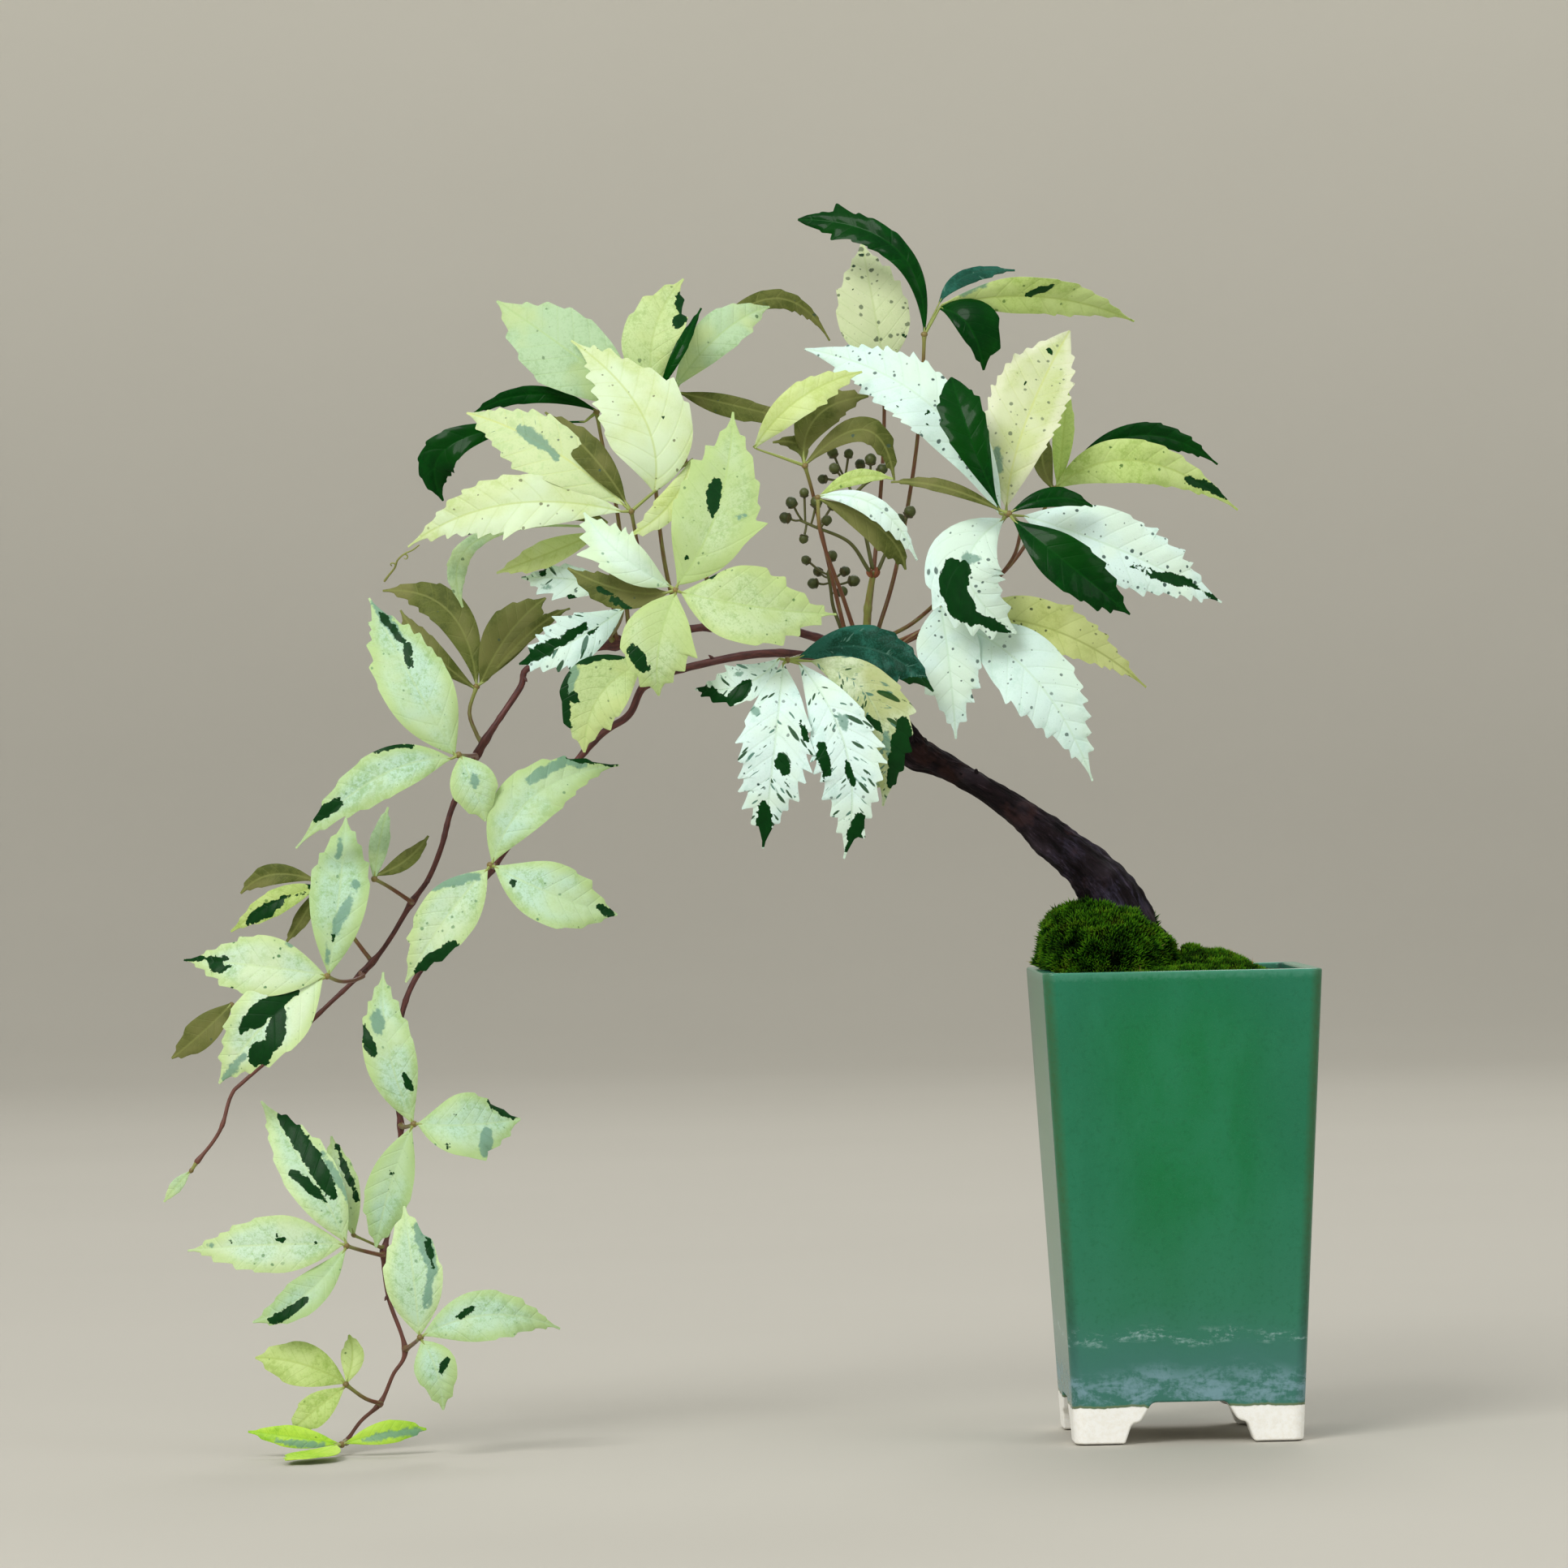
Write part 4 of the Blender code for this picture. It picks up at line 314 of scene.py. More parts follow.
TENDRIL = [(-184.4, 9.0, 205.1), (-183.4, 7.0, 206.3), (-181.9, 5.0, 208.0), (-181.1, 3.0, 209.8), (-179.3, 2.0, 211.3), (-177.6, 2.0, 212.0), (-176.0, 3.0, 213.2)]


# coloured marks on the leaflets: strokes from (t, s) to (t, s), t from base to
# tip and s from -1 at the left margin to 1 at the right, width in mm, and d for
# dark green or g for grey green
MARKS = {
    "A1": [(0.65, -0.25, 0.47, -0.1, 3.2, "d"), (0.17, -0.3, 0.15, -0.2, 0.9, "d"), (0.47, 0.45, 0.5, 0.65, 1.1, "g")],
    "A2": [(0.1, -1.05, 0.17, -1.05, 1.5, "d"), (0.17, -1.05, 0.23, -1.05, 0.8, "d")],
    "A3": [(0.57, 0.7, 0.72, 0.45, 3.2, "d")],
    "A5": [(0.68, -0.3, 0.57, -0.4, 1.5, "d"), (0.57, -0.4, 0.35, -1.05, 1.3, "d")],
    "K1": [(0.8, 0.8, 0.75, 0.3, 1.3, "d"), (0.73, -0.65, 0.68, -0.65, 1.5, "g"), (0.95, -0.1, 0.93, -0.6, 0.8, "d"), (0.47, -0.9, 0.37, -1.05, 0.9, "d")],
    "K2": [(0.98, 1.05, 0.6, 0.2, 3.2, "d"), (0.6, 0.2, 0.33, 0.3, 2.1, "d"), (0.33, -0.05, 0.25, -0.1, 0.8, "d"), (0.35, -1.05, 0.33, -1.05, 0.9, "d")],
    "K3": [(0.45, 1.05, 0.58, 0.85, 4.9, "g"), (0.5, 1.05, 0.82, 1.05, 3, "d"), (0.43, 1.05, 0.1, 0.95, 1.9, "d"), (0.57, 0.65, 0.65, 0.45, 1.5, "d")],
    "R1f": [(0.53, 0.3, 0.65, 0.3, 1.5, "d"), (0.65, 0.35, 0.82, -0.05, 2.6, "d"), (0.82, 0, 0.98, 0.35, 0.9, "d")],
    "R1g": [(0.47, 0.1, 0.58, 0.55, 6.4, "d"), (0.6, 0.5, 0.77, 0.65, 6, "d"), (0.77, 0.5, 0.97, 0.55, 2.4, "d"), (0.4, 0.1, 0.35, -0.25, 2.8, "g")],
    "R1c": [(0.33, -0.6, 0.2, -0.55, 2.1, "g"), (0.88, -0.5, 0.87, -0.2, 0.9, "d"), (0.7, -0.4, 0.68, -0.3, 0.8, "d")],
    "R1a": [(0.48, -0.2, 0.47, -0.3, 0.9, "d"), (0.45, -0.5, 0.43, -0.55, 0.9, "d"), (0.43, -0.95, 0.43, -0.95, 0.9, "d"), (0.58, -0.7, 0.57, -0.75, 0.9, "d"), (0.25, -0.55, 0.23, -0.6, 0.9, "d")],
    "T2": [(0.83, -0.35, 0.82, -0.3, 0.9, "d"), (0.75, 0.55, 0.73, 0.55, 1.1, "d"), (0.68, -1.05, 0.68, -1.05, 1.1, "d"), (0.7, -0.65, 0.68, -0.6, 1.3, "d"), (0.58, -1.05, 0.57, -0.95, 0.9, "d"), (0.28, 0.8, 0.25, 0.9, 0.9, "d"), (0.15, 0.65, 0.13, 0.75, 0.8, "d")],
    "T4": [(0.42, -0.1, 0.53, -0.7, 1.7, "d"), (0.1, -1.05, 0.23, -1.05, 1.5, "g")],
    "R2a": [(0.75, 0.2, 0.93, -1.05, 2.1, "d")],
    "TL2": [(0.88, 1.05, 0.73, 1.05, 3.4, "d"), (0.73, 1.05, 0.58, 0.7, 3, "d")],
    "C1": [(0.95, 1.05, 0.65, -1.05, 3, "d"), (0.68, -1, 0.43, 0, 3.4, "d"), (0.55, 0.55, 0.43, 0.55, 0.9, "g")],
    "C2": [(0.52, -0.2, 0.6, -0.4, 3.2, "d"), (0.78, 0.25, 0.97, -0.75, 3.4, "d"), (0.27, 0.95, 0.32, 0.6, 1.5, "g"), (0.33, -0.75, 0.43, -0.85, 1.5, "d")],
    "C3": [(0.4, 0.7, 0.6, 0.85, 2.6, "d"), (0.8, -0.55, 0.95, -0.9, 3.2, "d"), (0.3, -0.25, 0.38, -0.2, 1.7, "g"), (0.53, 0.05, 0.65, -0.05, 1.5, "d")],
    "C4": [(0.63, -0.7, 0.9, -1.05, 5.1, "d"), (0.52, 0.45, 0.65, 0.05, 1.5, "d"), (0.65, -0.05, 0.77, -0.15, 1.5, "g")],
    "C5": [(0.83, 1.05, 1, 1.05, 3.9, "d")],
    "X1": [(0.63, -1, 0.45, -0.55, 2.1, "d"), (0.73, -0.45, 0.58, -0.25, 2.6, "g"), (0.3, 0.35, 0.18, 0.65, 1.5, "d")],
    "X2": [(0.77, -1.05, 0.97, -1.05, 2.6, "d"), (0.4, -0.35, 0.42, -0.25, 1.3, "d"), (0.32, 0.7, 0.33, 0.8, 1.3, "d"), (0.68, 0.3, 0.62, 0.95, 2.6, "g")],
    "X3": [(0.35, 0.25, 0.38, 0.1, 1.3, "d")],
    "Y1": [(0.88, 1.05, 0.33, 0.4, 3.9, "d"), (0.58, -0.6, 0.32, 0, 2.4, "d"), (0.58, 0.8, 0.25, 1, 1.5, "g")],
    "Y3": [(0.42, 0.3, 0.37, 0.15, 1.5, "d"), (0.2, 0.15, 0.17, 0.05, 1.3, "d"), (0.72, 0.35, 0.7, 0.3, 1.1, "d"), (0.87, 0.65, 0.83, 0.3, 0.9, "g")],
    "Y4": [(0.85, -0.65, 0.52, -0.2, 2.4, "d")],
    "Z1": [(0.83, 1.05, 0.53, 0.7, 3.2, "g"), (0.75, 1.05, 0.53, 0.7, 1.3, "d"), (0.52, 0.65, 0.23, 0.4, 1.9, "g")],
    "Z2": [(0.27, -0.15, 0.38, -0.35, 1.9, "d")],
    "Z3": [(0.52, -0.15, 0.38, -0.7, 1.5, "d")],
    "U1": [(0.47, 0.35, 0.25, -0.05, 2.4, "g"), (0.2, -0.3, 0.07, -0.45, 0.9, "g"), (0.25, 0, 0.2, -0.15, 1.3, "d"), (0.85, -0.35, 0.72, -0.2, 1.1, "g"), (0.58, 0.55, 0.53, 0.45, 1.7, "g")],
    "U2": [(1, 0.05, 0.85, 0.3, 1.1, "d"), (0.82, 0.15, 0.73, -0.4, 3.6, "d"), (0.75, 0.25, 0.7, 0.2, 1.5, "d"), (0.7, -0.2, 0.65, -0.1, 1.1, "d"), (0.3, 0.95, 0.27, 0.9, 1.1, "g"), (0.65, -1.05, 0.63, -1.05, 1.5, "d")],
    "U3": [(0.2, 0.3, 0.62, 0.4, 4.7, "d"), (0.37, -0.05, 0.57, -0.65, 4.1, "d"), (0.58, -0.55, 0.72, -0.65, 5.3, "d"), (0.75, -0.25, 0.97, -0.65, 1.5, "g")],
    "N1": [(0.97, 1.05, 0.72, 0.4, 2.4, "g"), (0.9, 0.4, 0.68, 0.4, 1.5, "d"), (0.7, 0.45, 0.57, 0.15, 2.1, "d")],
    "N2": [(0.85, 1.05, 0.72, 0, 3, "d"), (0.43, 1, 0.23, 0.9, 1.5, "d")],
    "N3": [(0.38, -0.2, 0.52, -0.1, 2.3, "g")],
    "P1": [(0.77, -1.05, 0.98, -1.05, 2.3, "d"), (0.52, -0.5, 0.72, -0.75, 2.6, "g"), (0.72, -0.95, 0.83, -0.55, 2.3, "g")],
    "P2": [(0.18, 0.25, 0.22, 0.4, 1.5, "d"), (0.85, -0.25, 0.98, 1, 1.9, "d"), (0.7, 0.9, 0.73, 1, 1.1, "d")],
    "P3": [(0.9, -1, 0.6, -0.9, 3.8, "d"), (0.38, 1.05, 0.08, 0.2, 2.4, "g")],
    "V2": [(0.47, -0.2, 0.82, -0.4, 3, "d"), (0.4, 0.1, 0.22, -0.4, 0.9, "d"), (0.12, 1.05, 0, 1.05, 2.4, "d")],
    "BB3": [(0.23, 0.3, 0.92, 1.05, 1.7, "g")],
    "BB1": [(0.68, -0.7, 0.15, -0.85, 1.5, "g")],
    "B3": [(0.67, 0.1, 0.48, 0, 3.2, "g"), (0.52, 0.05, 0.4, -0.15, 1.7, "g")],
    "B1": [(0.43, 0.35, 0.42, 0.35, 0.8, "d")],
    "B2": [(0.7, -0.9, 0.68, -1.05, 0.8, "d"), (0.22, -1.05, 0.2, -1.05, 0.8, "d")],
    "Y2": [(0.15, -0.8, 0.8, -0.8, 1.6, "d"), (0.3, 0.85, 0.9, 0.8, 1.4, "d")],
}


# ================================================================ small helpers
def rgb(r, g, b):
    """0-255 screen colour as linear RGBA."""
    out = []
    for c in (r, g, b):
        c /= 255.0
        out.append(c / 12.92 if c <= 0.04045 else ((c + 0.055) / 1.055) ** 2.4)
    return (*out, 1.0)


def unit(v):
    n = np.linalg.norm(v, axis=-1, keepdims=True)
    return v / np.maximum(n, 1e-9)


def smooth_path(points, step):
    """Evenly spaced points on a Catmull-Rom curve through the given ones."""
    pts = [np.array(p, float) for p in points]
    ext = [pts[0] * 2 - pts[1]] + pts + [pts[-1] * 2 - pts[-2]]
    dense = []
    for i in range(1, len(ext) - 2):
        a, b, c, d = ext[i - 1:i + 3]
        for k in range(16):
            t = k / 16.0
            dense.append(0.5 * ((2 * b) + (c - a) * t + (2 * a - 5 * b + 4 * c - d) * t * t
                                + (3 * b - a - 3 * c + d) * t ** 3))
    dense.append(pts[-1])
    dense = np.array(dense)
    run = np.concatenate([[0], np.cumsum(np.linalg.norm(np.diff(dense[:, :3], axis=0), axis=1))])
    n = max(2, int(round(run[-1] / step)) + 1)
    s = np.linspace(0, run[-1], n)
    return np.stack([np.interp(s, run, dense[:, k]) for k in range(dense.shape[1])], axis=1)


ATTRS = {"leaf_xy": 3, "vein_uv": 3, "marks": 3, "tint": 3, "along": 3}


class Shape:
    """Gathers closed meshes in pot millimetres and makes one object of them."""

    def __init__(self):
        self.v, self.f, self.m, self.n = [], [], [], 0
        self.a = {k: [] for k in ATTRS}

    def add(self, verts, faces, mat=0, **attrs):
        verts = np.asarray(verts, float).reshape(-1, 3)
        k = len(verts)
        self.v.append(verts)
        self.f += [tuple(i + self.n for i in f) for f in faces]
        self.m += [mat] * len(faces) if isinstance(mat, int) else list(mat)
        for name in ATTRS:
            val = attrs.get(name)
            if val is None:
                val = np.zeros((k, 3))
            val = np.asarray(val, float)
            if val.ndim == 1:
                val = np.tile(val, (k, 1))
            self.a[name].append(val)
        self.n += k

    def make(self, name, mats, node, smooth=60.0):
        co = np.concatenate(self.v)
        me = bpy.data.meshes.new(name)
        me.from_pydata(((co + POT_NP) * MM).tolist(), [], self.f)
        me.polygons.foreach_set("material_index", np.array(self.m, np.int32))
        for key in ATTRS:
            val = np.concatenate(self.a[key]).astype(np.float32)
            if not np.any(val):
                continue
            layer = me.attributes.new(key, "FLOAT_VECTOR", "POINT")
            layer.data.foreach_set("vector", val.ravel())
        for m in mats:
            me.materials.append(m)
        me.update()
        me.shade_smooth()
        me.set_sharp_from_angle(angle=math.radians(smooth))
        ob = bpy.data.objects.new(name, me)
        bpy.context.scene.collection.objects.link(ob)
        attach(ob, "root")
        if node:
            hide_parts(node)
        return ob


def frames(path):
    """Tangent and two cross directions along a path, without twist."""
    p = path[:, :3]
    tan = unit(np.gradient(p, axis=0))
    ref = np.array([0.0, 1.0, 0.0]) if abs(tan[0][1]) < 0.9 else np.array([1.0, 0.0, 0.0])
    a = unit(np.cross(tan[0], ref))
    us = []
    for t in tan:
        a = unit(a - t * np.dot(a, t))
        us.append(a)
    us = np.array(us)
    return tan, us, np.cross(tan, us)


def sweep(path, radii, sides=10, wobble=None):
    """Closed round tube.  wobble(i, angle) scales the radius.  Gives vertices,
    faces, and per vertex the distance along and around in millimetres."""
    path = np.asarray(path, float)
    tan, u, w = frames(path)
    n = len(path)
    radii = np.broadcast_to(np.asarray(radii, float), (n,))
    ang = np.linspace(0, 2 * math.pi, sides, endpoint=False)
    run = np.concatenate([[0], np.cumsum(np.linalg.norm(np.diff(path[:, :3], axis=0), axis=1))])
    verts, info = [], []
    for i in range(n):
        r = radii[i] * np.ones(sides)
        if wobble:
            r = r * np.array([wobble(run[i], a) for a in ang])
        ring = path[i, :3] + (np.cos(ang) * r)[:, None] * u[i] + (np.sin(ang) * r)[:, None] * w[i]
        verts.append(ring)
        info += [(run[i], math.cos(a) * radii[i], math.sin(a) * radii[i]) for a in ang]
    verts = np.concatenate(verts)
    faces = []
    for i in range(n - 1):
        for k in range(sides):
            k2 = (k + 1) % sides
            faces.append((i * sides + k, i * sides + k2, (i + 1) * sides + k2, (i + 1) * sides + k))
    c0, c1 = len(verts), len(verts) + 1
    verts = np.concatenate([verts, [path[0, :3]], [path[-1, :3]]])
    info += [(0.0, 0.0, 0.0), (run[-1], 0.0, 0.0)]
    for k in range(sides):
        k2 = (k + 1) % sides
        faces.append((c0, k2, k))
        faces.append((c1, (n - 1) * sides + k, (n - 1) * sides + k2))
    return verts, faces, np.array(info)


def rounded_ends(path, radii, start=True, end=True):
    """Adds closing rings so that a tube's end is a small dome."""
    path, radii = np.asarray(path, float)[:, :3], np.asarray(radii, float)
    p, r = [path], [radii]
    if start:
        d = unit(path[0] - path[1]) * radii[0]
        p.insert(0, np.array([path[0] + d * 0.95, path[0] + d * 0.6]))
        r.insert(0, np.array([radii[0] * 0.35, radii[0] * 0.8]))
    if end:
        d = unit(path[-1] - path[-2]) * radii[-1]
        p.append(np.array([path[-1] + d * 0.6, path[-1] + d * 0.95]))
        r.append(np.array([radii[-1] * 0.8, radii[-1] * 0.35]))
    return np.concatenate(p), np.concatenate(r)


# ================================================================ materials
class Nodes:
    """Writes a material's node tree almost like formulas."""

    def __init__(self, name, rough=0.5, **sockets):
        self.mat = bpy.data.materials.new(name)
        self.mat.use_nodes = True
        self.t = self.mat.node_tree
        self.t.nodes.clear()
        self.out = self.t.nodes.new("ShaderNodeOutputMaterial")
        self.bsdf = self.t.nodes.new("ShaderNodeBsdfPrincipled")
        self.t.links.new(self.bsdf.outputs[0], self.out.inputs[0])
        self.bsdf.inputs["Roughness"].default_value = rough
        for k, v in sockets.items():
            self.bsdf.inputs[k.replace("_", " ")].default_value = v
        self._at = {}

    def put(self, sock, value):
        if isinstance(value, bpy.types.NodeSocket):
            self.t.links.new(value, sock)
        elif isinstance(value, (tuple, list)) and len(value) == 3 and sock.type == "RGBA":
            sock.default_value = (*value, 1.0)
        else:
            sock.default_value = value

    def attr(self, name):
        if name not in self._at:
            n = self.t.nodes.new("ShaderNodeAttribute")
            n.attribute_name = name
            s = self.t.nodes.new("ShaderNodeSeparateXYZ")
            self.t.links.new(n.outputs["Vector"], s.inputs[0])
            self._at[name] = (n.outputs["Vector"], s.outputs[0], s.outputs[1], s.outputs[2])
        return self._at[name]

    def mm(self):
        """Object coordinates in millimetres in the pot's frame: vector, x, y, z."""
        if "mm" not in self._at:
            tc = self.t.nodes.new("ShaderNodeTexCoord")
            v = self.vec("SUBTRACT", tc.outputs["Object"], tuple(POT_AT))
            v = self.vec("SCALE", v, None, scale=1000.0)
            s = self.t.nodes.new("ShaderNodeSeparateXYZ")
            self.t.links.new(v, s.inputs[0])
            self._at["mm"] = (v, s.outputs[0], s.outputs[1], s.outputs[2])
        return self._at["mm"]

    def vec(self, op, a, b=None, scale=None):
        n = self.t.nodes.new("ShaderNodeVectorMath")
        n.operation = op
        self.put(n.inputs[0], a)
        if b is not None:
            self.put(n.inputs[1], b)
        if scale is not None:
            self.put(n.inputs["Scale"], scale)
        return n.outputs[0]

    def xyz(self, x, y, z):
        n = self.t.nodes.new("ShaderNodeCombineXYZ")
        for s, v in zip(n.inputs, (x, y, z)):
            self.put(s, v)
        return n.outputs[0]

    def math(self, op, a, b=None, c=None, clamp=False):
        n = self.t.nodes.new("ShaderNodeMath")
        n.operation = op
        n.use_clamp = clamp
        for s, v in zip(n.inputs, (a, b, c)):
            if v is not None:
                self.put(s, v)
        return n.outputs[0]

    def add(self, a, b):
        return self.math("ADD", a, b)

    def mul(self, a, b):
        return self.math("MULTIPLY", a, b)

    def step(self, x, lo, hi):
        """Smooth 0-1 ramp between lo and hi; lo above hi turns it round."""
        n = self.t.nodes.new("ShaderNodeMapRange")
        n.interpolation_type = "SMOOTHSTEP"
        self.put(n.inputs["Value"], x)
        if lo <= hi:
            n.inputs["From Min"].default_value, n.inputs["From Max"].default_value = lo, hi
        else:
            n.inputs["From Min"].default_value, n.inputs["From Max"].default_value = hi, lo
            n.inputs["To Min"].default_value, n.inputs["To Max"].default_value = 1.0, 0.0
        return n.outputs[0]

    def noise(self, vec, scale, detail=3.0, rough=0.55, distort=0.0, colour=False):
        n = self.t.nodes.new("ShaderNodeTexNoise")
        self.put(n.inputs["Vector"], vec)
        n.inputs["Scale"].default_value = scale
        n.inputs["Detail"].default_value = detail
        n.inputs["Roughness"].default_value = rough
        n.inputs["Distortion"].default_value = distort
        return n.outputs["Color"] if colour else n.outputs["Fac"]

    def cells(self, vec, scale, rand=1.0):
        n = self.t.nodes.new("ShaderNodeTexVoronoi")
        self.put(n.inputs["Vector"], vec)
        n.inputs["Scale"].default_value = scale
        n.inputs["Randomness"].default_value = rand
        return n.outputs["Distance"], n.outputs["Color"]

    def mix(self, fac, a, b, how="MIX"):
        n = self.t.nodes.new("ShaderNodeMix")
        n.data_type = "RGBA"
        n.blend_type = how
        n.clamp_factor = True
        self.put(n.inputs[0], fac)
        self.put(n.inputs[6], a)
        self.put(n.inputs[7], b)
        return n.outputs[2]

    def split(self, colour):
        n = self.t.nodes.new("ShaderNodeSeparateColor")
        self.t.links.new(colour, n.inputs[0])
        return n.outputs[0], n.outputs[1], n.outputs[2]

    def bump(self, height, strength=0.4, dist=0.0002, prior=None):
        n = self.t.nodes.new("ShaderNodeBump")
        n.inputs["Strength"].default_value = strength
        n.inputs["Distance"].default_value = dist
        self.put(n.inputs["Height"], height)
        if prior is not None:
            self.t.links.new(prior, n.inputs["Normal"])
        return n.outputs[0]

    def done(self, colour, rough=None, normal=None):
        self.put(self.bsdf.inputs["Base Color"], colour)
        if rough is not None:
            self.put(self.bsdf.inputs["Roughness"], rough)
        if normal is not None:
            self.put(self.bsdf.inputs["Normal"], normal)
        return self.mat


DARK = rgb(0, 44, 10)
DARK2 = rgb(4, 66, 16)
GREY = rgb(84, 128, 112)


def leaf_material(name, ground, second, mottle=0.5, mottle_scale=0.9, speck=0.0, dash=0.0,
                  grey_patch=0.0, warm=None, vein=None, margin=None, rough=0.42, under=False,
                  coat=0.0, speck_col=(60, 84, 78), speck_size=1.0, sheen=0.14, soft=0.08):
    """Skin of a leaflet.  ground and second are its two greens, mottle how much
    of the second shows, margin the tint along its edge, speck the share of fine
    dots and dash the share of long blotches that follow the side veins."""
    n = Nodes(name, rough)
    n.bsdf.inputs["Specular IOR Level"].default_value = sheen
    if coat:
        n.bsdf.inputs["Coat Weight"].default_value = coat
        n.bsdf.inputs["Coat Roughness"].default_value = 0.09
    n.bsdf.inputs["Subsurface Weight"].default_value = soft
    n.bsdf.inputs["Subsurface Radius"].default_value = (0.6, 0.9, 0.5)
    n.bsdf.inputs["Subsurface Scale"].default_value = 0.0006
    co, x, y, _ = n.attr("leaf_xy")
    uv, across, _, _ = n.attr("vein_uv")
    _, dark, grey, edge = n.attr("marks")
    _, t1, t2, t3 = n.attr("tint")

    broad = n.noise(co, 0.11, 2.0, 0.5)
    fine = n.noise(co, mottle_scale, 5.0, 0.74, 0.15)
    near = n.step(edge, 3.6, 0.0)
    spread = n.add(n.add(fine, n.mul(near, 0.06)), n.mul(n.math("SUBTRACT", broad, 0.5), 0.35))
    lim = 0.60 - 0.18 * mottle
    amount = n.mul(n.step(spread, lim, lim + 0.20), min(1.0, 0.40 + 0.6 * mottle))
    col = n.mix(amount, ground, second)
    stipple = n.step(n.add(n.noise(co, 2.3, 3.0, 0.62), n.mul(n.math("SUBTRACT", broad, 0.5), 0.25)), 0.52, 0.60)
    col = n.mix(n.mul(stipple, 0.55 * mottle), col, second)
    if warm is not None:
        col = n.mix(n.mul(n.step(n.noise(co, 0.07, 2.0), 0.42, 0.62), 0.75), col, warm)
    if margin is not None:
        rim = n.mul(n.step(n.add(edge, n.mul(n.math("SUBTRACT", fine, 0.5), 3.0)), 3.4, 0.2), 0.7)
        col = n.mix(rim, col, margin)
    # light and shade from leaf to leaf
    col = n.mix(n.mul(t1, 0.25), col, second)
    if vein is not None:
        half = n.math("ABSOLUTE", n.math("SUBTRACT", n.math("FRACT", across), 0.5))
        side = n.mul(n.step(half, 0.06, 0.0), 0.40)
        mid = n.step(n.math("ABSOLUTE", y), 0.42, 0.08)
        col = n.mix(n.mul(n.math("MAXIMUM", side, mid), 0.6), col, vein)
    if grey_patch:
        g = n.noise(n.vec("ADD", uv, (31.0, 7.0, 3.0)), 1.1, 2.5, 0.55, 0.5)
        lim = 0.74 - 0.22 * grey_patch
        col = n.mix(n.mul(n.step(g, lim, lim + 0.05), 0.85), col, GREY)
    if dash:
        # dashes lie along the side veins, each with its own size and tone
        bent = n.vec("ADD", uv, n.xyz(n.mul(fine, 0.55), n.mul(broad, 0.6), 0.0))
        for k, (sc, share) in enumerate(((0.78, dash), (1.7, dash * 0.4))):
            d, cell = n.cells(n.vec("ADD", bent, (k * 17.0, k * 5.0, 0.0)), sc)
            r, g, b = n.split(cell)
            size = n.add(0.15, n.mul(g, 0.28))
            on = n.mul(n.step(n.math("SUBTRACT", d, size), 0.05, -0.02), n.step(r, 1.0 - share, 1.0 - share + 0.01))
            tone = n.mix(n.step(b, 0.42, 0.52), GREY, DARK2)
            col = n.mix(n.mul(on, 0.94), col, tone)
    if speck:
        d, cell = n.cells(n.vec("ADD", co, n.xyz(n.mul(fine, 1.1), n.mul(broad, 1.2), 0.0)), 0.50)
        r, g, b = n.split(cell)
        size = n.mul(n.add(0.09, n.mul(n.mul(g, g), 0.15)), speck_size)
        dot = n.mul(n.step(n.math("SUBTRACT", d, size), 0.05, -0.05), n.step(r, 1.0 - speck, 1.0 - speck + 0.02))
        col = n.mix(n.mul(dot, n.add(0.62, n.mul(b, 0.38))), col, rgb(*speck_col))
        d, cell = n.cells(n.vec("ADD", co, (41.0, 13.0, 0.0)), 1.5)
        r, g, b = n.split(cell)
        dot = n.mul(n.step(n.math("SUBTRACT", d, n.mul(g, 0.22)), 0.06, -0.06), n.step(r, 1.0 - speck * 0.6, 1.0 - speck * 0.6 + 0.02))
        col = n.mix(n.mul(dot, n.mul(b, 0.45)), col, rgb(*speck_col))
    # listed marks, with ragged borders
    rag = n.add(n.mul(n.math("SUBTRACT", n.noise(co, 0.38, 3.0, 0.6), 0.5), 2.8),
                n.mul(n.math("SUBTRACT", n.noise(co, 1.3, 3.0, 0.6), 0.5), 0.9))
    col = n.mix(n.mul(n.step(n.add(grey, rag), 0.40, -0.25), 0.8), col, n.mix(fine, GREY, rgb(120, 164, 146)))
    mark = n.step(n.add(dark, rag), 0.08, -0.07)
    col = n.mix(mark, col, n.mix(n.noise(co, 0.5, 3.0), DARK, DARK2))
    # relief: side veins, fine cell grain
    half = n.math("ABSOLUTE", n.math("SUBTRACT", n.math("FRACT", across), 0.5))
    vein_h = n.step(half, 0.10, 0.0)
    grain = n.noise(co, 2.6, 3.0, 0.6)
    if under:
        h = n.add(n.mul(vein_h, 0.9), n.mul(grain, 0.5))
    else:
        h = n.add(n.mul(vein_h, -0.8), n.mul(grain, 0.45))
    nor = n.bump(h, 0.35, 0.00022)
    rg = n.add(rough - 0.05, n.mul(grain, 0.14))
    return n.done(col, rg, nor)


